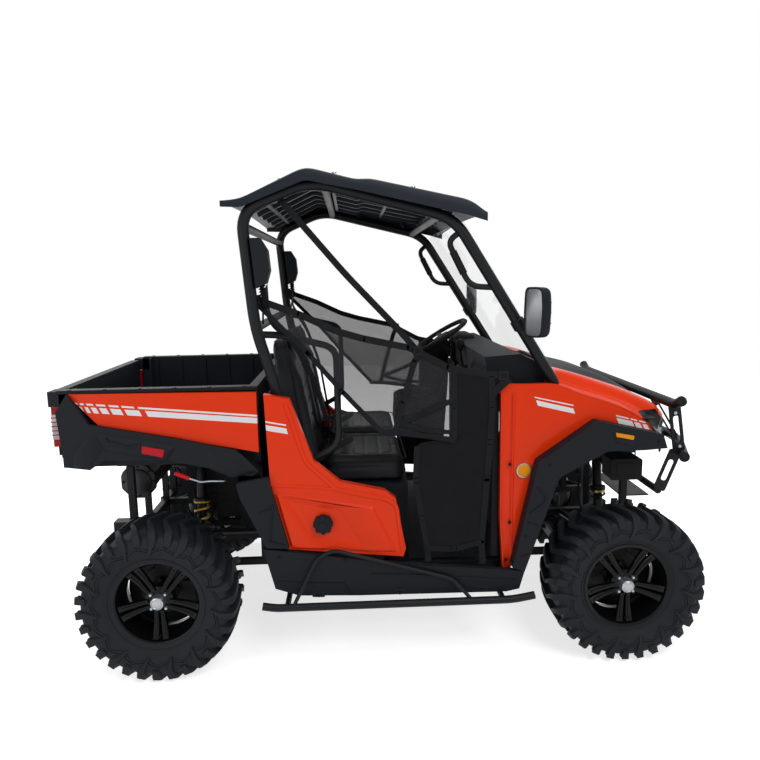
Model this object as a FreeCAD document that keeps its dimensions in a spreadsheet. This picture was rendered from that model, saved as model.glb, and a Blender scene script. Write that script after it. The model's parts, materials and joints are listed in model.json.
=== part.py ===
"""Side by side utility vehicle with a tipping cargo bed, as a parametric document of named pieces.

The frame is X forward, Y to the vehicle's left and Z up, in millimetres. The origin lies on the ground, half way
between the two axles and on the centre plane. Right-hand pieces are made first, and the left ones mirror them.
"""
import FreeCAD, Part
import math
import os
import Sketcher

Vector = FreeCAD.Vector

# Driving sizes, one aliased cell of the sheet each
SIZES = {
    # Stance
    "wheelbase": 1950,
    "half_track": 625,
    "front_overhang": 425,
    "rear_overhang": 425,
    "overrun": 60,
    "seat_gap": 0.3,
    "running_gap": 0.4,
    "facet_tolerance": 0.00001,
    # Tyres
    "tyre_radius": 330,
    "front_tyre_width": 240,
    "rear_tyre_width": 262,
    "tread_base_radius": 304,
    "tyre_wall": 12,
    "bead_radius": 173,
    "bead_half": 84,
    "lug_reach": 30,
    "lug_depth": 34,
    # Rims
    "flange_radius": 186,
    "flange_thickness": 6,
    "barrel_wall": 6,
    "drop_radius": 150,
    "spoke_offset": 38,
    "spoke_depth": 20,
    "spoke_width": 17,
    "spoke_gap": 13,
    "hub_pad_radius": 60,
    "hub_cap_radius": 27,
    "hub_cap_length": 34,
    "rotor_radius": 104,
    "rotor_thickness": 6,
    "rotor_offset": 46,
    "spindle_radius": 17,
    "spindle_length": 62,
    # Knuckles and steering
    "kingpin_y": 500,
    "upright_half": 27,
    "upright_depth": 30,
    "upright_half_height": 75,
    "bearing_radius": 42,
    "ball_radius": 13,
    "ball_length": 14,
    "arm_length": 100,
    "arm_depth": 18,
    "arm_half_width": 14,
    "arm_drop": 50,
    "caliper_half": 34,
    "caliper_height": 40,
    "caliper_width": 44,
    "rack_radius": 12,
    "rack_lift": 17,
    "rack_housing_radius": 22,
    "rack_housing_half": 88,
    "rack_half": 150,
    "tie_rod_radius": 8,
    "wheel_hub_x": 337,
    "wheel_hub_y": 375,
    "wheel_hub_z": 1303,
    "hand_wheel_radius": 152,
    "hand_rim_radius": 13,
    "hand_hub_radius": 42,
    "hand_hub_depth": 34,
    "hand_spoke_width": 26,
    "hand_spoke_depth": 12,
    "column_radius": 20,
    "column_length": 200,
    # Suspension arms and shocks
    "arm_tube_radius": 13,
    "lower_pivot_z": 265,
    "upper_pivot_z": 470,
    "lower_pivot_spread": 118,
    "upper_pivot_spread": 122,
    "eye_radius": 22,
    "eye_depth": 24,
    "shock_radius": 26,
    "shock_coil_radius": 38,
    "shock_rod_radius": 9,
    "shock_eye_radius": 14,
    "damper_cap_radius": 30,
    "shock_foot_y": 400,
    "shock_top_y": 318,
    "rear_shock_shift": 118,
    # Frame
    "rail_y": 170,
    "rail_section": 30,
    "side_rail_inset": 20,
    "side_rail_section": 40,
    "floor_z": 410,
    "frame_mid_half": 620,
    "frame_end": 1180,
    "tower_z": 840,
    "hinge_tower_y": 340,
    "hinge_x": -1200,
    "hinge_z": 832,
    "hinge_pin_radius": 11,
    "hinge_lug_thickness": 12,
    "receiver_size": 63.5,
    "receiver_wall": 6,
    "receiver_reach": 195,
    "receiver_root": 75,
    "receiver_pin_inset": 50,
    "receiver_z": 400,
    "hitch_pin_radius": 8,
    "winch_spacing_x": 76.2,
    "winch_spacing_y": 123.8,
    "winch_hole_radius": 4.5,
    "winch_plate_thickness": 6,
    "winch_plate_z": 540,
    "winch_plate_reach": 110,
    # Engine and drive
    "engine_length": 305,
    "engine_width": 300,
    "engine_height": 380,
    "engine_rear_x": -830,
    "mount_bar_z": 455,
    "exhaust_radius": 22,
    "exhaust_y": 60,
    "exhaust_z": 560,
    "gearcase_half": 80,
    "gearcase_radius": 78,
    "shaft_radius": 14,
    "propshaft_z": 355,
    "boot_radius": 34,
    "boot_length": 60,
    # Muffler
    "muffler_x": -1172,
    "muffler_z": 712,
    "muffler_half": 76,
    "muffler_right": 215,
    "muffler_left": 280,
    "muffler_post_right": 120,
    "muffler_post_left": 180,
    "muffler_post_width": 16,
    # Cage
    "cage_radius": 22.5,
    "cage_bend": 90,
    "a_foot_x": 500,
    "cage_aside": 33,
    "a_base_x": 693,
    "a_base_z": 1165,
    "a_top_x": 262,
    "top_lean": 15,
    "a_top_z": 1856,
    "peak_x": -305,
    "peak_lean": 55,
    "peak_z": 1999,
    "b_top_x": -566,
    "belt_flare": 84,
    "b_top_z": 1888,
    "b_mid_x": -530,
    "b_mid_z": 1440,
    "b_base_x": -464,
    "base_flare": 13,
    "b_base_z": 1178,
    "b_foot_x": -420,
    "harness_bar_z": 1440,
    "handle_radius": 12,
    "handle_bend": 45,
    "hip_radius": 14,
    "hip_aside": 65,
    # Roof
    "roof_x": -635,
    "roof_length": 1019,
    "roof_z": 1839,
    "roof_height": 211,
    "roof_aside": 40,
    "roof_taper": 62,
    "roof_shoulder": 22,
    "roof_drop": 18,
    "roof_crown": 10,
    "roof_boss_radius": 16,
    "roof_wall": 8,
    # Windshield
    "shield_thickness": 5,
    "shield_inset": 1,
    "shield_low_z": 1225,
    "shield_top_z": 1845,
    # Front bodywork
    "fender_x": 445,
    "fender_length": 715,
    "fender_z": 394,
    "fender_height": 831,
    "fender_aside": 55,
    "fender_wall": 6,
    "crest_y": 515,
    "hood_seam_y": 330,
    "lid_gap": 7,
    "hood_x": 700,
    "hood_length": 600,
    "hood_z": 870,
    "hood_height": 365,
    "ridge_inset": 78,
    "barrel_radius": 6,
    "barrel_y": 200,
    "barrel_length": 60,
    "flare_x": 490,
    "flare_length": 633,
    "flare_z": 406,
    "flare_height": 632,
    "flare_aside": 60,
    "liner_wall": 5,
    "hood_rear_x": 750,
    "hood_hinge_z": 1224,
    "cowl_x": 672,
    "cowl_front_x": 735,
    "cowl_low_z": 1160,
    "nose_low_z": 885,
    "nose_strip": 40,
    "nose_wall": 6,
    "nose_corner_y": 636,
    "mouth_half": 260,
    "mouth_low_z": 930,
    "mouth_high_z": 985,
    "lamp_inner_y": 345,
    "lamp_outer_y": 535,
    "lamp_depth": 30,
    # Bull bar
    "bar_radius": 21,
    "bar_bend": 60,
    "top_bar_x": 1222,
    "top_bar_z": 1068,
    "top_bar_half": 600,
    "top_bar_rise": 24,
    "low_bar_z": 850,
    "low_bar_end_x": 1262,
    "arm_y": 165,
    "arm_half": 15,
    "foot_bar_z": 665,
    "foot_bar_radius": 16,
    "foot_plate_y": 480,
    "guard_y": 535,
    "guard_width": 54,
    "guard_thickness": 8,
    "guard_slot": 24,
    "inner_guard_y": 285,
    # Cab
    "dash_x": 400,
    "dash_length": 255.7,
    "dash_z": 1000,
    "dash_height": 300,
    "dash_inset": 12,
    "tub_half": 552,
    "tub_wall": 6,
    "toe_x": 505,
    "toe_top_x": 622,
    "toe_top_z": 800,
    "seat_front_x": 78,
    "seat_rear_x": -310,
    "seat_z": 752,
    "seat_depth": 122,
    "seat_inset": 17,
    "seat_split": 18,
    "back_thickness": 92,
    "back_top_z": 1395,
    "back_lean": 110,
    "back_gap": 12,
    "base_wall": 8,
    "rear_panel_x": -512,
    "rear_panel_wall": 6,
    "rear_panel_top": 1150,
    "cage_cross_z": 1092,
    # Side panels
    "quarter_x": -514,
    "quarter_length": 563,
    "quarter_z": 474,
    "quarter_height": 701,
    "quarter_aside": 62,
    "panel_wall": 6,
    "cap_x": -292,
    "cap_z": 630,
    "cap_radius": 44,
    "cap_height": 22,
    "arch_x": -636,
    "arch_length": 203,
    "arch_z": 534,
    "arch_height": 304,
    "arch_aside": 24,
    "rocker_x": -539,
    "rocker_length": 1083,
    "rocker_z": 314,
    "rocker_height": 222,
    "rocker_aside": 26,
    # Side steps
    "step_radius": 16,
    "step_aside": 47,
    "step_z": 302,
    "step_front_x": 575,
    "step_rear_x": -545,
    "step_arm_radius": 12,
    "step_arm_x": 445,
    "hoop_radius": 8,
    # Nets
    "net_x": -491,
    "net_length": 962,
    "net_z": 493,
    "net_height": 1081,
    "net_clear": 1.5,
    "net_thickness": 4,
    # Bed
    "bed_front_x": -546,
    "bed_rear_x": -1350,
    "bed_half": 600,
    "bed_floor_z": 875,
    "bed_rail_z": 1200,
    "bed_wall": 18,
    "bed_rail_width": 46,
    "bed_rail_drop": 14,
    "bed_rib_width": 40,
    "bed_rib_depth": 7,
    "bed_side_x": -1298,
    "bed_side_length": 750,
    "bed_side_z": 929,
    "bed_side_height": 257,
    "bed_side_y": 622,
    "bed_trim_x": -1340,
    "bed_trim_length": 790,
    "bed_trim_z": 834,
    "bed_trim_height": 356,
    "bed_trim_y": 646,
    "tail_lamp_width": 62,
    "tail_lamp_depth": 40,
    "tail_lamp_low": 962,
    "tail_lamp_high": 1128,
    "gate_gap": 8,
    "gate_low": 898,
    "gate_high": 1188,
    "gate_half": 505,
    "gate_rib": 10,
    "gate_hinge_x": -1379,
    "gate_hinge_z": 918,
    "gate_chamfer": 12,
    "gate_lug_y": 430,
    "gate_pin_radius": 7,
    # Small pieces
    "mirror_x": 566,
    "mirror_z": 1486,
    "mirror_aside": 55,
    "mirror_width": 145,
    "mirror_height": 205,
    "mirror_depth": 50,
    "clamp_radius": 34,
    "clamp_length": 44,
    "clamp_z": 1408,
    "reel_width": 60,
    "reel_height": 190,
    "reel_depth": 62,
    "reel_z": 1690,
    "radiator_x": 1150,
    "radiator_low": 640,
    "radiator_high": 880,
    "radiator_depth": 45,
}

# Counts
LUGS = 14
SPOKES = 5
CIRCLE = 360
BED_RIBS = 6
GATE_RIBS = 5
TUBE_SIDES = 8
ROD_SIDES = 6
HUB_SIDES = 10
BEND_STEP = 36

document = FreeCAD.newDocument("side_by_side")
sheet = document.addObject("Spreadsheet::Sheet", "Sizes")
nodes = []


class Size:
    """A length worked out from the sheet: its number, and the expression that binds it to the cells."""

    def __init__(self, number, text):
        self.number = float(number)
        self.text = text

    def __float__(self):
        return self.number

    def __add__(self, other):
        other = sized(other)
        return Size(self.number + other.number, f"({self.text} + {other.text})")

    def __sub__(self, other):
        other = sized(other)
        return Size(self.number - other.number, f"({self.text} - {other.text})")

    def __rsub__(self, other):
        return sized(other) - self

    def __mul__(self, share):
        return Size(self.number * share, f"({self.text} * {share!r})")

    def __truediv__(self, share):
        return Size(self.number / share, f"({self.text} / {share!r})")

    def __neg__(self):
        return Size(-self.number, f"(-1 * {self.text})")

    __radd__ = __add__
    __rmul__ = __mul__


def sized(value):
    """A plain zero or a size, as a size."""
    return value if isinstance(value, Size) else Size(value, repr(value))


class Sheet:
    """Reads the aliased cells as sizes."""

    def __getattr__(self, alias):
        return Size(SIZES[alias], f"Sizes.{alias}")


def fill_sheet():
    for row, (alias, number) in enumerate(SIZES.items(), start=1):
        sheet.set(f"A{row}", alias)
        sheet.set(f"B{row}", str(number))
        sheet.setAlias(f"B{row}", alias)
    document.recompute()


fill_sheet()
s = Sheet()

# Distances from the centre plane, each from the piece inside it
a_foot_y = s.tub_half + s.cage_aside
a_top_y = a_foot_y + s.top_lean
peak_y = a_foot_y + s.peak_lean
b_base_y = a_foot_y + s.base_flare
b_top_y = b_base_y + s.belt_flare
seat_half = s.tub_half - s.seat_inset
hip_y = seat_half + s.hip_aside
side_rail_y = a_foot_y - s.side_rail_inset
fender_y = a_foot_y + s.fender_aside
ridge_y = fender_y - s.ridge_inset
flare_y = fender_y + s.flare_aside
quarter_y = b_base_y + s.quarter_aside
arch_y = quarter_y + s.arch_aside
rocker_y = quarter_y + s.rocker_aside
step_y = rocker_y + s.step_aside
net_y = b_top_y - s.cage_radius - s.net_clear
roof_half = b_top_y + s.roof_aside
dash_half = s.tub_half - s.dash_inset
shield_half = a_foot_y - s.shield_inset
mirror_y = a_top_y + s.mirror_aside

front_x = s.wheelbase / 2
rear_x = -front_x
nose_tip = front_x + s.front_overhang
tail_tip = rear_x - s.rear_overhang


def bind(piece, prop, size):
    piece.setExpression(prop, sized(size).text)


def place(piece, x=0, y=0, z=0):
    for letter, size in zip("xyz", (x, y, z)):
        bind(piece, f"Placement.Base.{letter}", size)
    return piece


def node(label, piece):
    """Gives a finished piece the name that its file takes."""
    piece.Label = label
    nodes.append(piece)
    return piece


def box(name, low, high):
    """A block between two corners."""
    piece = document.addObject("Part::Box", name)
    for prop, a, b in zip(("Length", "Width", "Height"), low, high):
        bind(piece, prop, sized(b) - a)
    return place(piece, *low)


def twin_boxes(name, low, high):
    """A block on the right and its like on the left, from corners given on the right."""
    right = box(name + "_right", low, high)
    left = box(name + "_left", (low[0], -sized(high[1]), low[2]), (high[0], -sized(low[1]), high[2]))
    return [right, left]


AXIS_TURNS = {"Z": (Vector(0, 0, 1), 0), "X": (Vector(0, 1, 0), 90), "Y": (Vector(1, 0, 0), -90)}


def cylinder(name, foot, radius, length, axis="Z"):
    """A round bar from its foot along a row axis."""
    piece = document.addObject("Part::Cylinder", name)
    bind(piece, "Radius", radius)
    bind(piece, "Height", length)
    piece.Placement.Rotation = FreeCAD.Rotation(*AXIS_TURNS[axis])
    return place(piece, *foot)


def prism(name, foot, radius, length, axis="Z"):
    """A flat-sided bar from its foot along a row axis, its corners at the radius."""
    piece = document.addObject("Part::Prism", name)
    piece.Polygon = TUBE_SIDES
    bind(piece, "Circumradius", radius)
    bind(piece, "Height", length)
    piece.Placement.Rotation = FreeCAD.Rotation(*AXIS_TURNS[axis])
    return place(piece, *foot)


def fuse(name, pieces):
    piece = document.addObject("Part::MultiFuse", name)
    piece.Shapes = pieces
    piece.Refine = True
    return piece


def cut(name, base, tool):
    piece = document.addObject("Part::Cut", name)
    piece.Base = base
    piece.Tool = tool
    piece.Refine = True
    return piece


def mirror(name, source):
    piece = document.addObject("Part::Mirroring", name)
    piece.Source = source
    piece.Normal = (0, 1, 0)
    return piece


def pair(label, right):
    """The right piece and its mirror image as one node of two solids."""
    piece = document.addObject("Part::Compound", label)
    piece.Links = [right, mirror(label + "_mirror", right)]
    return node(label, piece)


def feature(name, shape):
    piece = document.addObject("Part::Feature", name)
    piece.Shape = shape
    return piece


def vector(*sizes):
    return Vector(*(float(size) for size in sizes))


# Sketched pieces


def new_body(name):
    return document.addObject("PartDesign::Body", name)


def origin_plane(body, role):
    return next(each for each in body.Origin.OriginFeatures if each.Role == role)


def sketch_on(body, name, role, offset=0):
    """An empty sketch on a plane parallel to one of the body's own origin planes."""
    sketch = body.newObject("Sketcher::SketchObject", name)
    sketch.AttachmentSupport = [(origin_plane(body, role), "")]
    sketch.MapMode = "FlatFace"
    bind(sketch, "AttachmentOffset.Base.z", offset)
    return sketch


def draw(sketch, points):
    """A closed outline, each corner held at its distances from the sketch's origin."""
    first = sketch.GeometryCount
    count = len(points)
    for index, (a, b) in enumerate(points):
        c, d = points[(index + 1) % count]
        sketch.addGeometry(Part.LineSegment(vector(a, b, 0), vector(c, d, 0)), False)
    for index in range(count):
        follower = first + (index + 1) % count
        sketch.addConstraint(Sketcher.Constraint("Coincident", first + index, 2, follower, 1))
    for index, corner in enumerate(points):
        for kind, size in zip(("DistanceX", "DistanceY"), corner):
            size = sized(size)
            held = Sketcher.Constraint(kind, -1, 1, first + index, 1, size.number)
            number = sketch.addConstraint(held)
            sketch.setExpression(f"Constraints[{number}]", size.text)


def add_pad(body, name, sketch, length, reverse=False):
    pad = body.newObject("PartDesign::Pad", name)
    pad.Profile = sketch
    bind(pad, "Length", length)
    pad.Reversed = reverse
    return pad


def add_pocket(body, name, sketch, length, reverse=False):
    pocket = body.newObject("PartDesign::Pocket", name)
    pocket.Profile = sketch
    bind(pocket, "Length", length)
    pocket.Reversed = reverse
    return pocket


def add_turn(body, name, sketch, kind="PartDesign::Revolution"):
    """Turns a profile of radius and place about the body's Y axis."""
    turned = body.newObject(kind, name)
    turned.Profile = sketch
    turned.ReferenceAxis = (sketch, ["V_Axis"])
    turned.Angle = CIRCLE
    return turned


def add_ring(body, name, feature_, sketch, count):
    """Repeats a feature about the body's Y axis."""
    ring = body.newObject("PartDesign::PolarPattern", name)
    ring.Originals = [feature_]
    ring.Axis = (sketch, ["V_Axis"])
    ring.Angle = CIRCLE
    ring.Occurrences = count
    body.Tip = ring
    return ring


def side_plate(name, points, outer_y, thickness):
    """A plate seen from the side: an outline of X and Z, its outer face at outer_y on the right."""
    body = new_body(name)
    sketch = sketch_on(body, name + "_outline", "XZ_Plane", outer_y)
    draw(sketch, points)
    add_pad(body, name + "_pad", sketch, thickness, reverse=True)
    return body


def spread(start_x, length, start_z, height, shares):
    """Outline points from shares of a panel's length and height."""
    return [(start_x + length * across, start_z + height * up) for across, up in shares]


def inset(points, wall):
    """The outline moved inwards by the wall's thickness."""
    wire = Part.makePolygon([vector(a, 0, b) for a, b in points + points[:1]])
    inner = wire.makeOffset2D(-float(wall))
    if Part.Face(inner).Area > Part.Face(wire).Area:
        inner = wire.makeOffset2D(float(wall))
    return inner


def tray(name, points, outer_y, depth, wall):
    """A moulded panel, open on its inner side: an outer wall and an edge all round it."""
    outer = side_plate(name + "_block", points, outer_y, depth)
    inner = Part.Face(inset(points, wall)).extrude(vector(0, depth, 0))
    inner.translate(vector(0, -outer_y + wall, 0))
    return cut(name, outer, feature(name + "_hollow", inner))


# Bent tubes


def facet(corners):
    """Flat faces over a ring of places: one where they lie in a plane, or else two triangles."""
    least = float(s.facet_tolerance)
    before = corners[-1:] + corners[:-1]
    kept = [corner for corner, last in zip(corners, before) if corner.distanceToPoint(last) > least]
    if len(kept) < 3:
        return []
    if len(kept) == 4:
        normal = (kept[1] - kept[0]).cross(kept[2] - kept[0]).normalize()
        if abs((kept[3] - kept[0]).dot(normal)) > least:
            return [flat_face(kept[:3]), flat_face([kept[0], kept[2], kept[3]])]
    return [flat_face(kept)]


def flat_face(corners):
    return Part.Face(Part.makePolygon(corners + corners[:1]))


def band(ring, after):
    """The flat faces between one ring of places and the next."""
    faces = []
    for index in range(len(ring)):
        following = (index + 1) % len(ring)
        faces += facet([ring[index], ring[following], after[following], after[index]])
    return faces


def closed(faces):
    """The solid that the faces enclose."""
    solid = Part.makeSolid(Part.makeShell(faces))
    if solid.Volume < 0:
        solid.reverse()
    return solid


def skin(rings):
    """A solid with flat sides from ring to ring and a flat face at each end."""
    faces = [flat_face(rings[0]), flat_face(rings[-1])]
    for ring, after in zip(rings, rings[1:]):
        faces += band(ring, after)
    return closed(faces)


def moulding(outer, inner):
    """A shell between two grids of places, closed along their borders."""
    faces = []
    for grid in (outer, inner):
        for row, after in zip(grid, grid[1:]):
            for index in range(len(row) - 1):
                faces += facet([row[index], row[index + 1], after[index + 1], after[index]])
    edges = [(outer[0], inner[0]), (outer[-1], inner[-1])]
    for column in (0, -1):
        edges.append(([row[column] for row in outer], [row[column] for row in inner]))
    for line, follower in edges:
        for index in range(len(line) - 1):
            faces += facet([line[index], line[index + 1], follower[index + 1], follower[index]])
    return closed(faces)


def lowered(grid, drop):
    """The same grid further down."""
    shift = vector(0, 0, -drop)
    return [[place + shift for place in row] for row in grid]


def ring_at(centre, ahead, radius, sides):
    """Corners about a direction, with a flat on its upper side at the radius."""
    upright = Vector(0, 0, 1) if abs(ahead.z) < UPRIGHT_SHARE else Vector(1, 0, 0)
    across_it = ahead.cross(upright).normalize()
    rise = across_it.cross(ahead).normalize()
    reach = float(radius) / math.cos(math.pi / sides)
    turns = [math.tau * (k + 0.5) / sides for k in range(sides)]
    return [centre + rise * (reach * math.cos(turn)) + across_it * (reach * math.sin(turn)) for turn in turns]


def route(points, bend):
    """Places along straight runs joined by arcs that touch them, and the direction at each."""
    points = [vector(*point) for point in points]
    places = [points[0]]
    for before, corner, after in zip(points, points[1:], points[2:]):
        back = (before - corner).normalize()
        ahead = (after - corner).normalize()
        turn = math.pi - back.getAngle(ahead)
        reach = float(bend) * math.tan(turn / 2)
        inward = (back + ahead).normalize()
        centre = corner + inward * (float(bend) / math.cos(turn / 2))
        spoke = corner + back * reach - centre
        axis = back.cross(ahead).normalize()
        steps = max(1, math.ceil(math.degrees(turn) / BEND_STEP))
        for step in range(steps + 1):
            swing = FreeCAD.Rotation(axis, -math.degrees(turn) * step / steps)
            places.append(centre + swing.multVec(spoke))
    places.append(points[-1])
    return places


UPRIGHT_SHARE = 0.9


def tube_shape(points, radius, bend, sides=TUBE_SIDES):
    """A bar of even section along a route, mitred at each change of direction."""
    places = route(points, bend)
    runs = [(after - before).normalize() for before, after in zip(places, places[1:])]
    ring = ring_at(places[0], runs[0], radius, sides)
    rings = [ring]
    for index, centre in enumerate(places[1:]):
        run = runs[index]
        facing = run + runs[index + 1] if index + 1 < len(runs) else run
        ring = [corner + run * ((centre - corner).dot(facing) / run.dot(facing)) for corner in ring]
        rings.append(ring)
    return skin(rings)


def bar_shape(start, end, radius, sides=TUBE_SIDES):
    """A straight bar between two places."""
    start = vector(*start)
    end = vector(*end)
    ahead = (end - start).normalize()
    return skin([ring_at(start, ahead, radius, sides), ring_at(end, ahead, radius, sides)])


def taper_shape(places, radii, sides=TUBE_SIDES):
    """A straight bar whose radius changes from place to place."""
    places = [vector(*place) for place in places]
    ahead = (places[-1] - places[0]).normalize()
    return skin([ring_at(place, ahead, radius, sides) for place, radius in zip(places, radii)])


def joined(shapes):
    return shapes[0].multiFuse(shapes[1:]).removeSplitter()


def flipped(shape):
    return shape.mirror(Vector(0, 0, 0), Vector(0, 1, 0))


# Wheels


def wheel_place(radius, along, turn):
    """A place about a wheel's axle, its turn measured from the lowest point."""
    return Vector(float(radius) * math.sin(turn), float(along), -float(radius) * math.cos(turn))


def turned(profile, sides):
    """A closed profile of radius and place along the axle, turned in flat-sided steps."""
    step = math.tau / sides
    grow = 1 / math.cos(step / 2)
    rings = []
    for count in range(sides):
        rings.append([wheel_place(radius * grow, along, (count + 0.5) * step) for radius, along in profile])
    faces = []
    for ring, after in zip(rings, rings[1:] + rings[:1]):
        faces += band(ring, after)
    return closed(faces)


CARCASS_SHARES = [(0.29, 0.82), (0.54, 1.0), (0.89, 0.97), (1.0, 0.83)]
LUG_SHARES = [(-1.0, 0.04), (0.05, 0.04), (1.0, 0.95), (-0.25, 0.95)]
LUG_FOOT_SHARE = 1.12


def tyre(name, width):
    """A tyre about its own Y axis, its outer side towards negative Y, with angled bars in two rows."""
    half = width / 2
    rise = s.tread_base_radius - s.bead_radius
    near = [(s.bead_radius, -s.bead_half), (s.flange_radius + s.tyre_wall / 2, -s.bead_half)]
    near += [(s.bead_radius + rise * up, -half * wide) for up, wide in CARCASS_SHARES]
    far = [(radius, -along) for radius, along in near[::-1]]
    inner_radius = s.tread_base_radius - s.tyre_wall * 1.5
    inside = [(s.bead_radius, s.bead_half * 0.7), (inner_radius, half * 0.8)]
    inside += [(inner_radius, -half * 0.8), (s.bead_radius, -s.bead_half * 0.7)]
    carcass = turned(near + far + inside, LUGS)
    step = math.tau / LUGS
    bars = []
    for count in range(LUGS):
        bars.append(lug(half, 1, count * step))
        bars.append(lug(half, -1, (count + 0.5) * step))
    return feature(name, joined([carcass] + bars))


def lug(half, side, turn):
    """One bar of the tread, wider at its foot inside the carcass than at its top."""
    rings = []
    for radius, grow in ((s.tyre_radius - s.lug_depth, LUG_FOOT_SHARE), (s.tyre_radius, 1.0)):
        ring = []
        for ahead, wide in LUG_SHARES:
            spot = wheel_place(radius, half * wide * side * grow, turn)
            along = wheel_place(s.lug_reach * ahead * grow, 0, turn + math.pi / 2)
            ring.append(spot + along)
        rings.append(ring)
    return skin(rings)


def rim(name):
    """A rim about its own Y axis with paired spokes, hub, rotor and spindle, its face towards negative Y."""
    face = -(s.spoke_offset + s.spoke_depth)
    cap_end = face - s.hub_cap_length
    rotor = s.rotor_offset
    hub = turned([
        (0, cap_end), (s.hub_cap_radius * 0.9, cap_end), (s.hub_cap_radius, face),
        (s.hub_pad_radius, face), (s.hub_pad_radius, -s.spoke_offset),
        (s.bearing_radius, rotor + s.rotor_thickness), (0, rotor + s.rotor_thickness),
    ], HUB_SIDES)
    spindle = Part.makeCylinder(float(s.spindle_radius), float(s.spindle_length), vector(0, rotor, 0), Vector(0, 1, 0))
    disc = turned([(s.spindle_radius, rotor), (s.rotor_radius, rotor), (s.rotor_radius, rotor + s.rotor_thickness),
                   (s.spindle_radius, rotor + s.rotor_thickness)], LUGS)
    edge = s.bead_half + s.flange_thickness
    seat = s.bead_radius - s.seat_gap
    flank = s.bead_half + s.seat_gap
    wall = s.barrel_wall
    outside = [(s.flange_radius, -edge), (s.flange_radius, -flank), (seat, -flank)]
    outside += [(s.drop_radius + wall, 0), (seat, flank), (s.flange_radius, flank), (s.flange_radius, edge)]
    inside = [(seat - wall, edge), (s.drop_radius, 0), (seat - wall, -edge)]
    barrel = turned(outside + inside, LUGS)
    shapes = [hub, disc, barrel, spindle]
    for count in range(SPOKES):
        for side in (-1, 1):
            shapes.append(spoke(side, math.tau * count / SPOKES + math.pi))
    return feature(name, joined(shapes))


GROWN_SHARE = 1 / math.cos(math.pi / TUBE_SIDES)


def spoke(side, turn):
    """One bar of a pair, leaning away from its twin towards the barrel."""
    inner = s.hub_pad_radius * 0.9
    outer = s.drop_radius + s.barrel_wall * 1.6
    near = s.spoke_gap / 2
    far = near + s.spoke_width
    lean = s.spoke_width * 0.8
    corners = [(near, inner), (far, inner), (far + lean, outer), (near + lean, outer)]
    rings = []
    for along in (-s.spoke_offset, -s.spoke_offset - s.spoke_depth):
        ring = []
        for sideways, radius in corners:
            spot = wheel_place(radius, along, turn)
            ring.append(spot + wheel_place(sideways * side, 0, turn + math.pi / 2))
        rings.append(ring)
    return skin(rings)


def wheels():
    """Four tyres and four rims; the left ones are mirror images."""
    for end, x, width in (("front", front_x, s.front_tyre_width), ("rear", rear_x, s.rear_tyre_width)):
        for name, right in ((f"tyre_{end}", tyre(f"tyre_{end}_right", width)), (f"rim_{end}", rim(f"rim_{end}_right"))):
            place(right, x, -s.half_track, s.tyre_radius)
            node(f"{name}_right", right)
            node(f"{name}_left", mirror(f"{name}_left", right))


# Knuckles and steering

ball_high = s.tyre_radius + s.upright_half_height + s.ball_length
ball_low = s.tyre_radius - s.upright_half_height - s.ball_length
spindle_end_y = s.half_track - s.rotor_offset - s.spindle_length


def knuckle(name, x, steered):
    """The upright that carries a wheel: plate, bearing housing, ball bosses, caliper and steering arm."""
    axle = s.tyre_radius
    king = s.kingpin_y
    back = king - s.upright_depth / 2
    housing_face = s.half_track - s.rotor_offset - s.rotor_thickness - s.seat_gap - s.ball_length
    pieces = [
        box(name + "_plate", (x - s.upright_half, -king - s.upright_depth / 2, axle - s.upright_half_height),
            (x + s.upright_half, -back, axle + s.upright_half_height)),
        prism(name + "_housing", (x, -housing_face, axle), s.bearing_radius, housing_face - back, "Y"),
        cylinder(name + "_high_ball", (x, -king, axle + s.upright_half_height), s.ball_radius, s.ball_length),
        cylinder(name + "_low_ball", (x, -king, ball_low), s.ball_radius, s.ball_length),
    ]
    rotor_far = s.half_track - s.rotor_offset + s.caliper_width / 3
    caliper_z = axle + s.rotor_radius * 0.62
    caliper_y = -king - s.eye_radius - s.ball_length / 2
    pieces.append(box(name + "_caliper", (x - s.caliper_half, -rotor_far, caliper_z),
                      (x + s.caliper_half, caliper_y, caliper_z + s.caliper_height * 1.3)))
    pieces.append(box(name + "_bracket", (x - s.upright_half * 0.8, caliper_y, caliper_z - s.ball_length),
                      (x + s.upright_half * 0.8, -king, axle + s.upright_half_height)))
    if steered:
        arm_top = axle - s.arm_drop
        arm_end = x - s.arm_length
        pieces.append(box(name + "_arm", (arm_end, -king, arm_top - s.arm_depth),
                          (x, -king + s.arm_half_width * 2, arm_top)))
        pieces.append(prism(name + "_arm_eye", (arm_end, -king + s.arm_half_width, arm_top - s.arm_depth),
                            s.arm_half_width, s.arm_depth))
    whole = fuse(name + "_casting", pieces)
    bore = cylinder(name + "_bore", (x, -housing_face - s.overrun, axle), s.spindle_radius + s.running_gap,
                    s.overrun * 4, "Y")
    slot_y = s.half_track - s.rotor_offset
    slot = prism(name + "_slot", (x, -slot_y - s.seat_gap * 4, axle),
                 (s.rotor_radius + s.seat_gap * 6) * GROWN_SHARE * GROWN_SHARE, s.rotor_thickness + s.seat_gap * 8, "Y")
    return cut(name, whole, fuse(name + "_cuts", [bore, slot]))


def knuckles():
    right = node("knuckle_right", knuckle("knuckle_right", front_x, True))
    node("knuckle_left", mirror("knuckle_left", right))
    pair("rear_knuckles", knuckle("rear_knuckle", rear_x, False))


tie_x = front_x - s.arm_length
tie_z = s.tyre_radius - s.arm_drop + s.seat_gap + s.arm_depth / 2
rack_z = tie_z + s.rack_lift


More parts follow.
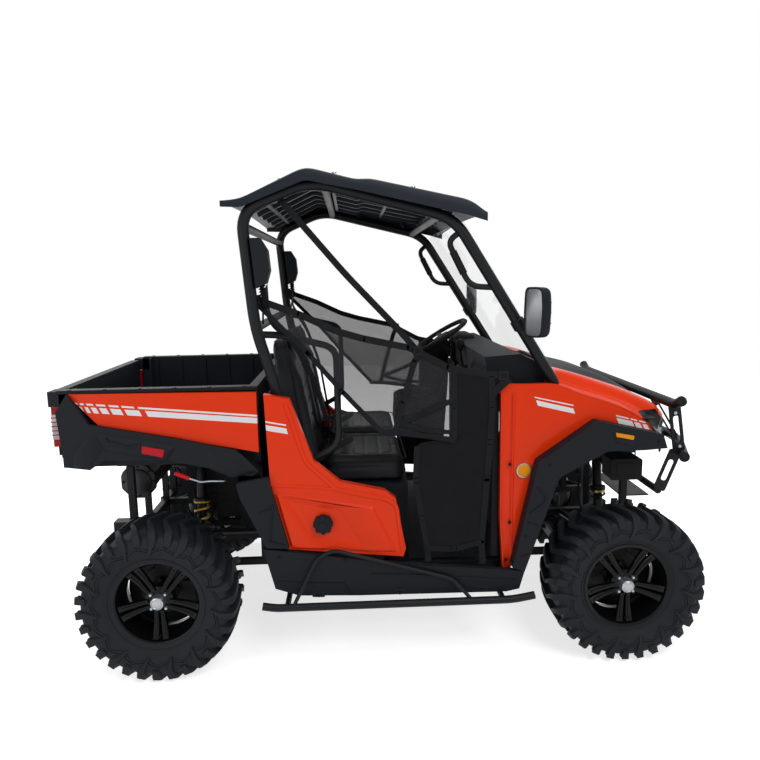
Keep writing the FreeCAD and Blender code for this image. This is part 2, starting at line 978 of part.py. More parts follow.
def steering_rack():
    """The sliding rack bar with a tie rod and rod end at each side."""
    king = s.kingpin_y - s.arm_half_width
    shapes = [bar_shape((tie_x, -s.rack_half, rack_z), (tie_x, s.rack_half, rack_z), s.rack_radius)]
    for side in (-1, 1):
        shapes.append(bar_shape((tie_x, s.rack_half * side, rack_z), (tie_x, king * side, tie_z),
                                s.tie_rod_radius, ROD_SIDES))
        low = tie_z - s.arm_depth / 2
        shapes.append(bar_shape((tie_x, king * side, low), (tie_x, king * side, low + s.arm_depth), s.arm_half_width,
                                ROD_SIDES))
    node("steering_rack", feature("steering_rack", joined(shapes)))


COLUMN_TILT = 31.0


def column_placement():
    """Stands the hand wheel's own Z axis along the steering column."""
    turn = FreeCAD.Rotation(Vector(0, 1, 0), -COLUMN_TILT)
    return FreeCAD.Placement(vector(s.wheel_hub_x, s.wheel_hub_y, s.wheel_hub_z), turn)


def hand_wheel():
    """The steering wheel: a grip of faceted section, a hub and three spokes."""
    ring = s.hand_wheel_radius
    thick = s.hand_rim_radius
    sixths = [(math.cos(math.tau * k / 6), math.sin(math.tau * k / 6)) for k in range(6)]
    grip = turned([(ring + thick * across, thick * up) for across, up in sixths], GRIP_SIDES)
    low = -s.hand_hub_depth
    hub = Part.makeCylinder(float(s.hand_hub_radius), float(s.hand_hub_depth), vector(0, low, 0), Vector(0, 1, 0))
    shapes = [grip, hub]
    wide = s.hand_spoke_width / 2
    deep = s.hand_spoke_depth
    for count in range(3):
        turn = math.tau * count / 3
        rings = []
        for along in (-deep, 0):
            corners = [(0, -wide), (ring, -wide * 0.7), (ring, wide * 0.7), (0, wide)]
            rings.append([wheel_place(out, along, turn) + wheel_place(sideways, 0, turn + math.pi / 2)
                          for out, sideways in corners])
        shapes.append(skin(rings))
    whole = joined(shapes)
    whole.rotate(Vector(0, 0, 0), Vector(1, 0, 0), CIRCLE / 4)
    piece = feature("steering_wheel", whole)
    piece.Placement = column_placement().multiply(piece.Placement)
    node("steering_wheel", piece)


GRIP_SIDES = 16


def steering_column():
    """The fixed column housing from below the hand wheel to the dashboard."""
    across = column_placement()
    start = across.multVec(vector(0, 0, -s.hand_hub_depth - s.running_gap))
    end = across.multVec(vector(0, 0, -s.hand_hub_depth - s.column_length))
    return bar_shape(start, end, s.column_radius)


# Suspension and drive


shock_seat_z = s.lower_pivot_z - s.ball_length * 0.6


def wishbone(x, high):
    """Two tubes that meet at the ball joint's eye."""
    pivot_z = s.upper_pivot_z if high else s.lower_pivot_z
    reach = s.upper_pivot_spread if high else s.lower_pivot_spread
    eye_z = ball_high + s.running_gap if high else ball_low - s.running_gap - s.eye_depth
    shapes = [bar_shape((x, -s.kingpin_y, eye_z), (x, -s.kingpin_y, eye_z + s.eye_depth), s.eye_radius)]
    centre = eye_z + s.eye_depth / 2
    inner_y = -(s.rail_y + s.rail_section / 2)
    for side in (-1, 1):
        foot = (x + reach * side, inner_y, pivot_z)
        neck = (x + s.eye_radius * 0.55 * side, -s.kingpin_y + s.eye_radius * 0.6, centre)
        shapes.append(bar_shape(foot, neck, s.arm_tube_radius, ROD_SIDES))
    if not high:
        ahead = s.rear_shock_shift + s.eye_radius if float(x) < 0 else s.eye_radius * 3
        corner = vector(x - s.eye_radius * 3, -s.shock_foot_y - s.eye_radius * 0.8, shock_seat_z - s.eye_depth * 0.7)
        shapes.append(Part.makeBox(float(s.eye_radius * 3 + ahead), float(s.eye_radius * 1.6),
                                   float(s.eye_depth * 0.7), corner))
    return joined(shapes)


def suspension_arms():
    shapes = []
    for x in (front_x, rear_x):
        for high in (False, True):
            arm = trimmed_at_rail(wishbone(x, high))
            shapes += [arm, flipped(arm)]
    node("suspension_arms", feature("suspension_arms", Part.makeCompound(shapes)))


def trimmed_at_rail(shape):
    """Cuts a right-hand piece back to the frame rail's outer face."""
    limit = s.rail_y + s.rail_section / 2 + s.seat_gap
    big = s.wheelbase * 2
    keep = Part.makeBox(float(big), float(big), float(big), vector(-front_x * 2, -big - limit, -s.wheelbase))
    return shape.common(keep)


def shock(x, shift):
    """A coil-over: damper body, coil as a sleeve between two collars, rod and eyes."""
    eye = s.shock_eye_radius
    foot = vector(x + shift, -s.shock_foot_y, shock_seat_z + eye + s.seat_gap)
    top = vector(x + shift, -s.shock_top_y + eye, s.tower_z - s.rail_section - eye - s.seat_gap)
    run = top - foot
    spots = [foot + run * share for share in (0.20, 0.23, 0.23, 0.69, 0.69, 0.72, 0.72)]
    radii = [s.shock_coil_radius, s.shock_coil_radius, s.damper_cap_radius, s.damper_cap_radius,
             s.shock_coil_radius, s.shock_coil_radius, s.shock_radius]
    shapes = [stub(top, eye), taper_shape(spots + [top], radii + [s.shock_radius], ROD_SIDES)]
    if shift:
        shapes.append(stub(foot, eye))
        shapes.append(bar_shape(foot, spots[0], s.shock_rod_radius, ROD_SIDES))
    else:
        shapes += shock_fork(foot, spots[0])
    return joined(shapes)


def stub(centre, half, radius=None):
    """A short bar across a place, along X."""
    reach = vector(half, 0, 0)
    return bar_shape(centre - reach, centre + reach, radius or half, ROD_SIDES)


def shock_fork(foot, neck):
    """Two prongs that straddle the half shaft, and the yoke that joins them under the coil."""
    eye = s.shock_eye_radius
    apart = s.shaft_radius + eye + s.seat_gap * 6
    shapes = []
    for side in (-1, 1):
        aside = vector(apart * side, 0, 0)
        shapes.append(bar_shape(foot + aside, neck + aside, eye / 2, ROD_SIDES))
    for middle in (foot, neck):
        shapes.append(stub(middle, apart + eye, eye))
    return shapes


def shock_absorbers():
    shapes = []
    rear_shift = s.rear_shock_shift
    for x, shift in ((front_x, 0), (rear_x, rear_shift)):
        right = shock(x, shift)
        shapes += [right, flipped(right)]
    node("shock_absorbers", feature("shock_absorbers", Part.makeCompound(shapes)))


def drive_line():
    """Front and rear gearcases with their half shafts, joined by the propeller shaft."""
    shapes = []
    wide = s.gearcase_half
    axle = s.tyre_radius
    for x in (front_x, rear_x):
        spots = [(x, wide * share, axle) for share in (-1.0, -0.55, 0.55, 1.0)]
        small = s.gearcase_radius * 0.62
        shapes.append(taper_shape(spots, [small, s.gearcase_radius, s.gearcase_radius, small]))
        reach = s.kingpin_y - s.upright_depth / 2 - s.ball_length * 2
        shapes.append(bar_shape((x, -reach, axle), (x, reach, axle), s.shaft_radius, ROD_SIDES))
        for side in (-1, 1):
            spots = [(x, (reach - s.boot_length) * side, axle), (x, reach * side, axle)]
            shapes.append(taper_shape(spots, [s.shaft_radius, s.boot_radius], ROD_SIDES))
    shapes.append(bar_shape((rear_x, 0, s.propshaft_z), (front_x, 0, s.propshaft_z), s.shaft_radius, ROD_SIDES))
    node("drive_line", feature("drive_line", joined(shapes)))


# Frame


def main_frame():
    """Ladder of rails with raised ends, cross members, towers, hinge lugs, receiver and winch plate."""
    half = s.rail_section / 2
    low, high = s.lower_pivot_z, s.upper_pivot_z
    mid_low, mid_high = s.floor_z - s.side_rail_section, s.floor_z
    end = s.frame_mid_half
    tip = s.frame_end
    inner, outer = s.rail_y - half, s.rail_y + half
    pieces = twin_boxes("mid_rail", (-end, -outer, mid_low), (end, -inner, mid_high))
    side_half = s.side_rail_section / 2
    side_low = side_rail_y - side_half
    side_high = side_rail_y + side_half
    sill = s.rocker_length / 2 - s.overrun
    pieces += twin_boxes("side_rail", (-sill, -side_high, mid_low), (sill, -side_low, mid_high))
    for index, x in enumerate((-sill, -sill * 0.33, sill * 0.33, sill - s.side_rail_section)):
        pieces.append(box(f"cross_{index}", (x, -side_low, mid_low), (x + s.side_rail_section, side_low, mid_high)))
    for end_name, sign in (("front", 1), ("rear", -1)):
        near, far = (end, tip) if sign > 0 else (-tip, -end)
        stem = (end - s.rail_section, end) if sign > 0 else (-end, -end + s.rail_section)
        for level, z in (("low", low), ("high", high)):
            pieces += twin_boxes(f"{end_name}_{level}", (near, -outer, z - half), (far, -inner, z + half))
        pieces += twin_boxes(f"{end_name}_stem", (stem[0], -outer, low - half), (stem[1], -inner, high + half))
        post = tip - s.rail_section if sign > 0 else -tip
        post_top = s.nose_low_z - s.seat_gap if sign > 0 else high + half
        pieces += twin_boxes(f"{end_name}_post", (post, -outer, low - half), (post + s.rail_section, -inner, post_top))
        axle = front_x if sign > 0 else rear_x + s.rear_shock_shift
        pieces += twin_boxes(f"{end_name}_tower", (axle - half, -outer, high), (axle + half, -inner, s.tower_z))
        pieces.append(box(f"{end_name}_bridge", (axle - half, -s.shock_top_y, s.tower_z - s.rail_section),
                          (axle + half, s.shock_top_y, s.tower_z)))
    for index, x in enumerate((s.engine_rear_x + s.rail_section, -end)):
        pieces.append(box(f"engine_bar_{index}", (x, -outer, s.mount_bar_z), (x + s.rail_section, outer, s.mount_bar_z + s.rail_section)))
    out = rocker_y - s.panel_wall - s.seat_gap
    for index, x in enumerate((-sill, 0, sill - s.side_rail_section)):
        pieces += twin_boxes(f"outrigger_{index}", (x, -out, mid_low), (x + s.side_rail_section, -side_low, mid_low + s.rail_section / 2))
    return pieces


def frame_fittings():
    """Hinge towers and lugs, tow receiver, winch plate and the rear cross beam."""
    half = s.rail_section / 2
    tip = s.frame_end
    pin = s.hinge_pin_radius
    tower = s.hinge_tower_y
    pieces = []
    back = s.hinge_x
    pieces.append(box("rear_beam", (-tip, -tower - half, s.upper_pivot_z - half),
                      (-tip + s.rail_section, tower + half, s.upper_pivot_z + half)))
    pieces += twin_boxes("hinge_tower", (-tip, -tower - half, s.upper_pivot_z),
                         (-tip + s.rail_section, -tower + half, s.hinge_z - pin * 2))
    pieces += twin_boxes("hinge_lug", (back - pin * 2, -tower - s.hinge_lug_thickness / 2, s.hinge_z - pin * 2),
                         (-tip + s.rail_section, -tower + s.hinge_lug_thickness / 2, s.hinge_z + pin * 2))
    for name, y in (("right", -s.muffler_post_right), ("left", s.muffler_post_left)):
        wide = s.muffler_post_width / 2
        pieces.append(box(f"muffler_post_{name}", (-tip, y - wide, s.upper_pivot_z),
                          (-tip + s.rail_section, y + wide, s.muffler_z - s.muffler_half - s.seat_gap)))
    size = s.receiver_size
    block = box("receiver_block", (-tip - s.receiver_reach, -size / 2, s.receiver_z - size / 2),
                (-tip + s.receiver_root, size / 2, s.receiver_z + size / 2))
    rack_beam = box("rack_beam", (tie_x - s.rack_radius, -s.rail_y, s.lower_pivot_z - half),
                    (tie_x + s.rack_radius, s.rail_y, s.lower_pivot_z + half))
    rack_foot = box("rack_foot", (tie_x - s.rack_radius, -s.rack_housing_half, s.lower_pivot_z),
                    (tie_x + s.rack_radius, s.rack_housing_half, rack_z - s.rack_radius))
    housing = prism("rack_housing", (tie_x, -s.rack_housing_half, rack_z), s.rack_housing_radius,
                    s.rack_housing_half * 2, "Y")
    web = box("receiver_web", (-tip, -s.rail_y, s.receiver_z - half), (-tip + s.rail_section, s.rail_y, s.receiver_z + half))
    plate_z = s.winch_plate_z
    plate = box("winch_plate", (tip - s.rail_section, -s.rail_y - half, plate_z),
                (tip + s.winch_plate_reach, s.rail_y + half, plate_z + s.winch_plate_thickness))
    return pieces + [block, web, plate, rack_beam, rack_foot, housing]


def frame_holes():
    """Bores for the hinge pins, the receiver's socket and pin, and the winch bolts."""
    tower = s.hinge_tower_y
    tip = s.frame_end
    pieces = []
    for side in (-1, 1):
        start = tower * side - s.overrun / 2
        pieces.append(cylinder(f"hinge_bore_{side + 1}", (s.hinge_x, start, s.hinge_z),
                               s.hinge_pin_radius + s.running_gap, s.overrun, "Y"))
    pieces.append(prism("rack_bore", (tie_x, -s.rack_housing_half - s.overrun, rack_z),
                        (s.rack_radius * GROWN_SHARE + s.seat_gap) * GROWN_SHARE,
                        (s.rack_housing_half + s.overrun) * 2, "Y"))
    inner = s.receiver_size / 2 - s.receiver_wall
    pieces.append(box("receiver_socket", (-tip - s.receiver_reach - s.overrun, -inner, s.receiver_z - inner),
                      (-tip + s.receiver_root + s.overrun, inner, s.receiver_z + inner)))
    pin_x = -tip - s.receiver_reach + s.receiver_pin_inset
    pieces.append(cylinder("receiver_pin", (pin_x, -s.receiver_size, s.receiver_z),
                           s.hitch_pin_radius, s.receiver_size * 2, "Y"))
    centre = winch_centre_x
    for along in (-1, 1):
        for across in (-1, 1):
            spot = (centre + s.winch_spacing_x / 2 * along, s.winch_spacing_y / 2 * across,
                    s.winch_plate_z - s.overrun)
            pieces.append(cylinder(f"winch_hole_{along + 1}_{across + 1}", spot, s.winch_hole_radius, s.overrun * 2))
    return pieces


winch_centre_x = s.frame_end + s.winch_plate_reach - s.winch_spacing_x * 0.75


def frame():
    whole = fuse("frame_whole", [fuse("frame_rails", main_frame()), fuse("frame_fittings", frame_fittings())])
    node("main_frame", cut("main_frame", whole, fuse("frame_cuts", frame_holes())))


def engine():
    """The engine and gearbox as one block on the two mount bars."""
    low = s.mount_bar_z + s.rail_section + s.seat_gap
    rear = s.engine_rear_x
    node("engine_block", box("engine_block", (rear, -s.engine_width / 2, low),
                             (rear + s.engine_length, s.engine_width / 2, s.floor_z + s.engine_height)))


def muffler():
    """An eight-sided can lying across the tail, with the pipe that comes to it from the engine."""
    body = new_body("muffler_body")
    ends = sketch_on(body, "muffler_outline", "XZ_Plane", s.muffler_right)
    reach = s.muffler_half
    flat = reach * 0.42
    corners = [(reach, flat), (flat, reach), (-flat, reach), (-reach, flat),
               (-reach, -flat), (-flat, -reach), (flat, -reach), (reach, -flat)]
    draw(ends, [(s.muffler_x + a, s.muffler_z + b) for a, b in corners])
    add_pad(body, "muffler_can", ends, s.muffler_right + s.muffler_left, reverse=True)
    y = s.exhaust_y
    start = s.engine_rear_x - s.seat_gap
    pipe = tube_shape([(start, y, s.exhaust_z), (start - s.muffler_half, y, s.exhaust_z),
                       (s.muffler_x + reach * 2, y, s.muffler_z), (s.muffler_x + reach / 2, y, s.muffler_z)],
                      s.exhaust_radius, s.muffler_half)
    tail = tube_shape([(s.muffler_x, -s.muffler_right + s.muffler_half, s.muffler_z), (s.muffler_x, -s.muffler_right - s.overrun, s.muffler_z),
                       (s.muffler_x - s.muffler_half * 1.5, -s.muffler_right - s.overrun, s.muffler_z - s.muffler_half / 2)],
                      s.exhaust_radius, s.exhaust_radius * 1.5)
    pipes = feature("exhaust_pipes", Part.makeCompound([pipe, tail]))
    node("muffler", fuse("muffler", [body, pipes]))


# Cage and roof


def on_line(start, end, share):
    """The place at a share of the way between two others."""
    return tuple(a + (b - a) * share for a, b in zip(start, end))


foot_z = s.floor_z + s.cage_radius
a_foot = (s.a_foot_x, -a_foot_y, foot_z)
a_base = (s.a_base_x, -a_foot_y, s.a_base_z)
a_top = (s.a_top_x, -a_top_y, s.a_top_z)
peak = (s.peak_x, -peak_y, s.peak_z)
b_top = (s.b_top_x, -b_top_y, s.b_top_z)
b_mid = (s.b_mid_x, -b_top_y, s.b_mid_z)
b_base = (s.b_base_x, -b_base_y, s.b_base_z)
b_foot = (s.b_foot_x, -b_base_y, foot_z)
b_base_low = on_line(b_base, b_foot, 0.45)


def across(point, radius):
    """A cross tube between a right-hand place and its mirror image."""
    x, y, z = point
    return bar_shape((x, y, z), (x, -y, z), radius)


neck_x, _, neck_z = on_line(a_base, a_top, 0.12)
a_neck = (neck_x, -a_foot_y, neck_z)
dash_bar_share = (float(s.cage_cross_z) - float(s.a_base_z)) / (float(foot_z) - float(s.a_base_z))
dash_bar = on_line(a_base, a_foot, dash_bar_share)


def roll_cage():
    """Two side hoops with cross tubes, grab handles and the bar behind the seats."""
    side = tube_shape([a_foot, a_base, a_neck, a_top, peak, b_top, b_mid, b_base, b_foot], s.cage_radius, s.cage_bend)
    handle_y = -a_top_y + s.cage_radius
    handle = tube_shape([
        on_line(a_base, a_top, 0.93),
        (s.a_top_x - s.cage_radius, handle_y, s.a_top_z - s.cage_bend),
        (s.a_top_x + s.cage_radius * 3, handle_y, s.a_top_z - s.cage_bend * 3),
        on_line(a_base, a_top, 0.60),
    ], s.handle_radius, s.handle_bend, ROD_SIDES)
    hip = hip_bar()
    shapes = [side, flipped(side), handle, flipped(handle), hip, flipped(hip)]
    for x, y, z in (a_foot, b_foot):
        wide = s.cage_radius
        low = s.floor_z + s.seat_gap
        for middle in (y, -y):
            shapes.append(Part.makeBox(float(wide * 2), float(wide * 2), float(s.cage_radius * 1.4),
                                       vector(x - wide, middle - wide, low)))
    cross = s.cage_radius * 0.8
    shapes.append(across(on_line(a_top, peak, 0.10), cross))
    shapes.append(across(on_line(peak, a_top, 0.10), cross))
    shapes.append(across(on_line(b_top, b_mid, 0.13), cross))
    shapes.append(across((s.b_mid_x, -b_top_y, s.harness_bar_z), cross))
    shapes.append(across(dash_bar, cross))
    node("roll_cage", feature("roll_cage", joined(shapes)))


def hip_bar():
    """The low side restraint hoop beside the right seat."""
    y = -hip_y
    start = (s.b_mid_x, -b_top_y, s.b_mid_z - s.cage_radius)
    points = [start, (s.b_mid_x + s.cage_bend, y, s.b_mid_z - s.cage_radius * 1.5),
              (s.seat_rear_x + s.cage_bend, y, s.b_mid_z - s.cage_bend),
              (s.seat_rear_x + s.cage_bend, y, s.seat_z + s.seat_depth * 1.6),
              (b_base_low[0], -b_base_y, s.seat_z + s.seat_depth * 0.6)]
    return tube_shape(points, s.hip_radius, s.cage_bend * 0.5, ROD_SIDES)


ROOF_SHARES = [(0.0, 0.42, 0.29), (0.07, 0.46, 0.275), (0.30, 0.99, 0.725), (0.323, 1.0, 0.735), (0.511, 0.773, 0.56),
               (0.538, 0.82, 0.53), (0.931, 0.427, 0.10), (0.97, 0.318, 0.043), (1.0, 0.15, 0.0)]


def roof_row(x, top, low, half, wall):
    """One section across the roof: the side skirts, their rounded shoulders and the crowned top."""
    near = [(half - wall, low), (half - wall, top - s.roof_drop - wall / 2),
            (half - s.roof_shoulder - wall / 2, top - wall)]
    row = [vector(x, -y, z) for y, z in near] + [vector(x, 0, top + s.roof_crown - wall)]
    return row + [vector(x, y, z) for y, z in near[::-1]]


def roof_panel():
    """A moulded roof with a raised ridge across it, skirts that hide the tubes and bosses that rest on them."""
    grids = []
    for wall in (s.roof_wall * 0.0, s.roof_wall):
        grid = []
        for along, top, low in ROOF_SHARES:
            x = s.roof_x + s.roof_length * along
            half = roof_half - s.roof_taper * along
            grid.append(roof_row(x, s.roof_z + s.roof_height * top, s.roof_z + s.roof_height * low, half, wall))
        grids.append(grid)
    shapes = [moulding(*grids)]
    for start, end, share in ((peak, a_top, 0.35), (peak, a_top, 0.80), (peak, b_top, 0.55)):
        boss = roof_boss(start, end, share)
        shapes += [boss, flipped(boss)]
    node("roof_panel", feature("roof_panel", joined(shapes)))


def roof_boss(start, end, share):
    """A post from the roof's underside to the tube's upper flat."""
    run = (vector(*end) - vector(*start)).normalize()
    sideways = run.cross(Vector(0, 0, 1)).normalize()
    rise = sideways.cross(run).normalize()
    seat = vector(*on_line(start, end, share)) + rise * float(s.cage_radius + s.seat_gap * 3)
    top = float(roof_under(seat.x)) - seat.z
    return bar_shape(seat, seat + rise * (top / rise.z), s.roof_boss_radius, 4)


def roof_under(x):
    """Half way into the roof's wall at a place along it."""
    along = (x - float(s.roof_x)) / float(s.roof_length)
    for (a, top, _), (b, following, _) in zip(ROOF_SHARES, ROOF_SHARES[1:]):
        if a <= along <= b:
            level = top + (following - top) * (along - a) / (b - a)
            return s.roof_z + s.roof_height * level - s.roof_wall / 2
    return s.roof_z


def windshield():
    """A clear sheet on the front faces of the front pillars."""
    body = new_body("windshield")
    rise = s.a_top_z - s.a_base_z
    back = s.a_base_x - s.a_top_x
    slope = float(back) / float(rise)
    lean = math.sqrt(1 + slope * slope)
    offset = (s.cage_radius + s.seat_gap) * lean
    low_x = s.a_base_x + offset - (s.shield_low_z - s.a_base_z) * slope
    top_x = s.a_base_x + offset - (s.shield_top_z - s.a_base_z) * slope
    profile = sketch_on(body, "shield_profile", "XZ_Plane", shield_half)
    thick = s.shield_thickness * lean
    draw(profile, [(low_x, s.shield_low_z), (low_x + thick, s.shield_low_z),
                   (top_x + thick, s.shield_top_z), (top_x, s.shield_top_z)])
    add_pad(body, "shield_pad", profile, shield_half * 2, reverse=True)
    node("windshield", body)


# Front bodywork

FENDER_SHARES = [(0.046, 0.951), (0.103, 0.957), (0.306, 0.947), (0.436, 0.929), (0.558, 0.876), (0.778, 0.807),
                 (0.876, 0.763), (0.933, 0.711), (0.979, 0.671), (0.951, 0.66), (0.57, 0.76), (0.23, 0.56),
                 (0.08, 0.0), (0.0, 0.07), (0.02, 0.49)]
FENDER_TOP_SHARES = [
    [(0.06, 0.956), (0.06, 0.967), (0.06, 0.838), (0.06, 0.803)],
    [(0.128, 0.921), (0.128, 0.932), (0.128, 0.797), (0.128, 0.767)],
    [(0.392, 0.786), (0.392, 0.784), (0.392, 0.658), (0.392, 0.597)],
    [(0.627, 0.649), (0.627, 0.630), (0.627, 0.482), (0.627, 0.416)],
    [(0.767, 0.532), (0.733, 0.537), (0.687, 0.397), (0.667, 0.301)],
    [(0.882, 0.433), (0.802, 0.411), (0.733, 0.268), (0.713, 0.225)],
]
FLARE_OUTER_SHARES = [(0.97, 0.90), (0.54, 1.0), (0.16, 0.74), (0.0, 0.03)]
FLARE_INNER_SHARES = [(0.08, 0.0), (0.29, 0.61), (0.31, 0.64), (0.61, 0.80), (0.85, 0.80), (1.0, 0.81)]


def front_fenders():
    """Each fender is a side panel with turned edges and a folded top that runs in to the hood's seam."""
    points = spread(s.fender_x, s.fender_length, s.fender_z, s.fender_height, FENDER_SHARES)
    depth = fender_y - a_foot_y - s.cage_radius - s.seat_gap
    side = tray("fender_side", points, fender_y, depth, s.fender_wall)
    columns = (s.hood_seam_y, s.crest_y, ridge_y, fender_y - s.fender_wall / 2)
    top = [hood_row(row, columns) for row in FENDER_TOP_SHARES]
    shell = feature("fender_top", moulding(top, lowered(top, s.fender_wall)))
    pair("front_fenders", fuse("fender", [side, shell]))


def hood_row(row, columns):
    """Places across the front end, from shares of its length and height at distances from the centre plane."""
    return [vector(s.hood_x + s.hood_length * along, -y, s.hood_z + s.hood_height * up)
            for (along, up), y in zip(row, columns)]


def front_flares():
    """The dark lips over the front arches, seated on the fenders' faces."""
    shares = FLARE_OUTER_SHARES + FLARE_INNER_SHARES
    points = spread(s.flare_x, s.flare_length, s.flare_z, s.flare_height, shares)
    lip = tray("flare", points, flare_y, flare_y - fender_y - s.seat_gap, s.liner_wall)
    pair("front_flares", lip)


LID_SHARES = [(0.083, 0.967, 0.945), (0.25, 0.904, 0.858), (0.50, 0.795, 0.723), (0.667, 0.658, 0.622),
              (0.767, 0.534, 0.532)]


def hood_lid():
    """The lid over the front service bay, with the barrels that it turns on at its rear edge."""
    grid = []
    wide = s.hood_seam_y - s.lid_gap
    for along, middle, seam in LID_SHARES:
        row = [(along, seam), (along, middle), (along, middle), (along, seam)]
        grid.append(hood_row(row, (wide, wide * 0.46, -wide * 0.46, -wide)))
    shapes = [moulding(grid, lowered(grid, s.fender_wall))]
    shapes += barrels(0, 1)
    node("hood_lid", feature("hood_lid", joined(shapes)))


def barrels(first, ahead):
    """Hinge barrels on the hood's axis, every other one, each with the lug that carries it."""
    axis_x = s.hood_rear_x - s.barrel_radius - s.seat_gap * 6
    shapes = []
    for side in (-1, 1):
        for index in range(first, 3, 2):
            low = s.barrel_y * side - s.barrel_length / 2 + s.barrel_length / 3 * index + s.seat_gap
            high = low + s.barrel_length / 3 - s.seat_gap * 2
            shapes.append(Part.makeCylinder(float(s.barrel_radius), float(high - low),
                                            vector(axis_x, low, s.hood_hinge_z), Vector(0, 1, 0)))
            near = axis_x if ahead > 0 else s.cowl_front_x - s.barrel_radius * 3
            reach = s.barrel_radius * 4 if ahead > 0 else axis_x - near
            shapes.append(Part.makeBox(float(reach), float(high - low), float(s.barrel_radius),
                                       vector(near, low, s.hood_hinge_z - s.barrel_radius)))
    return shapes


def cowl_panel():
    """The cowl between the front pillars, which the clear sheet stands on and the lid is hinged to."""
    half = a_foot_y - s.cage_radius - s.seat_gap * 2
    top = s.shield_low_z - s.seat_gap
    body = new_body("cowl_body")
    profile = sketch_on(body, "cowl_profile", "XZ_Plane", half)
    front = s.cowl_front_x
    drop = s.barrel_radius * 2
    draw(profile, [(s.cowl_x, s.cowl_low_z), (front, s.cowl_low_z), (front, top - drop), (front - drop, top),
                   (s.cowl_x, top)])
    add_pad(body, "cowl_pad", profile, half * 2, reverse=True)
    hinge = feature("cowl_hinge", Part.makeCompound(barrels(1, -1)))
    node("cowl_panel", fuse("cowl_panel", [body, hinge]))


NOSE_SIDE_SHARES = [(0.777, 0.523), (0.87, 0.438), (0.927, 0.329), (0.953, 0.096), (0.937, 0.041)]
NOSE_MIDDLE_SHARES = [(0.777, 0.526), (0.85, 0.438), (0.947, 0.26), (0.993, 0.09), (0.977, 0.041)]
STRIP_SHARES = [(0.708, 1.0), (0.767, 0.88), (0.943, 0.51), (0.983, 0.236)]


def nose_panel():
    """The dark front centre with its mouth and bars, and the strip below the lamps that the frame carries."""
    wide = s.hood_seam_y - s.lid_gap
    columns = (wide, wide * 0.46, -wide * 0.46, -wide)
    grid = [hood_row((side, middle, middle, side), columns)
            for side, middle in zip(NOSE_SIDE_SHARES, NOSE_MIDDLE_SHARES)]
    wall = s.nose_wall
    inner = [[place + vector(-wall, 0, -wall / 2) for place in row] for row in grid]
    face = moulding(grid, inner)
    deep = s.nose_wall * 20
    mouth_x = s.hood_x + s.hood_length - deep
    mouth = Part.makeBox(float(deep * 2), float(s.mouth_half * 2), float(s.mouth_high_z - s.mouth_low_z),
                         vector(mouth_x, -s.mouth_half, s.mouth_low_z))
    shapes = [face.cut(mouth)]
    for share in (0.28, 0.72):
        z = s.mouth_low_z + (s.mouth_high_z - s.mouth_low_z) * share
        x = s.hood_x + s.hood_length * 0.955
        shapes.append(bar_shape((x, -s.mouth_half - wall * 2, z), (x, s.mouth_half + wall * 2, z), wall, 4))
    front = [vector(s.hood_x + s.hood_length * along, -s.nose_corner_y * aside, s.nose_low_z)
             for along, aside in STRIP_SHARES]
    front += [vector(place.x, -place.y, place.z) for place in front[::-1]]
    back = s.frame_end - s.rail_section
    rear = [vector(back, front[-2].y, s.nose_low_z), vector(back, front[1].y, s.nose_low_z)]
    shapes.append(flat_face(front[1:-1] + rear).extrude(vector(0, 0, s.nose_wall)))
    rise = vector(0, 0, s.nose_strip)
    setback = vector(-wall, 0, 0)
    strip = [[place for place in front], [place + rise for place in front]]
    shapes.append(moulding(strip, [[place + setback for place in row] for row in strip]))
    node("nose_panel", feature("nose_panel", joined(shapes)))


LAMP_SHARES = [[(0.877, 0.389), (0.82, 0.373), (0.743, 0.279)], [(0.937, 0.268), (0.853, 0.26), (0.767, 0.214)],
               [(0.943, 0.1515), (0.87, 0.1515), (0.78, 0.1515)]]


def head_lamps():
    """Swept head lamps that stand on the strip, below the fenders' front edges."""
    middle = (s.lamp_inner_y + s.lamp_outer_y) / 2
    grid = [hood_row(row, (s.lamp_inner_y, middle, s.lamp_outer_y)) for row in LAMP_SHARES]
    back = [[place - vector(s.lamp_depth, 0, 0) for place in row] for row in grid]
    pair("head_lamps", feature("head_lamp", moulding(grid, back)))


def bull_bar():
    """Top and lower hoops joined by slotted guards, with arms and a foot bar that meet the frame's posts."""
    rise = s.top_bar_rise
    half = s.top_bar_half
    bend = s.bar_bend
    top = tube_shape([
        (s.top_bar_x, -half, s.top_bar_z + rise), (s.top_bar_x, -half + bend, s.top_bar_z),
        (s.top_bar_x, half - bend, s.top_bar_z), (s.top_bar_x, half, s.top_bar_z + rise),
    ], s.bar_radius, bend)
    front = nose_tip - s.bar_radius
    low = tube_shape([
        (s.low_bar_end_x, -half, s.low_bar_z), (front, -half * 0.45, s.low_bar_z),
        (front, half * 0.45, s.low_bar_z), (s.low_bar_end_x, half, s.low_bar_z),
    ], s.bar_radius, bend)
    seat = s.frame_end + s.seat_gap
    foot_x = seat + s.foot_bar_radius
    foot = bar_shape((foot_x, -s.foot_plate_y, s.foot_bar_z), (foot_x, s.foot_plate_y, s.foot_bar_z),
                     s.foot_bar_radius)
    shapes = [top, low, foot]
    for side in (-1, 1):
        corner = vector(seat, s.arm_y * side - s.arm_half, s.low_bar_z - s.arm_half)
        shapes.append(Part.makeBox(float(front - seat), float(s.arm_half * 2), float(s.arm_half * 2), corner))
    for guard in guards():
        shapes += [guard, flipped(guard)]
    node("bull_bar", feature("bull_bar", joined(shapes)))


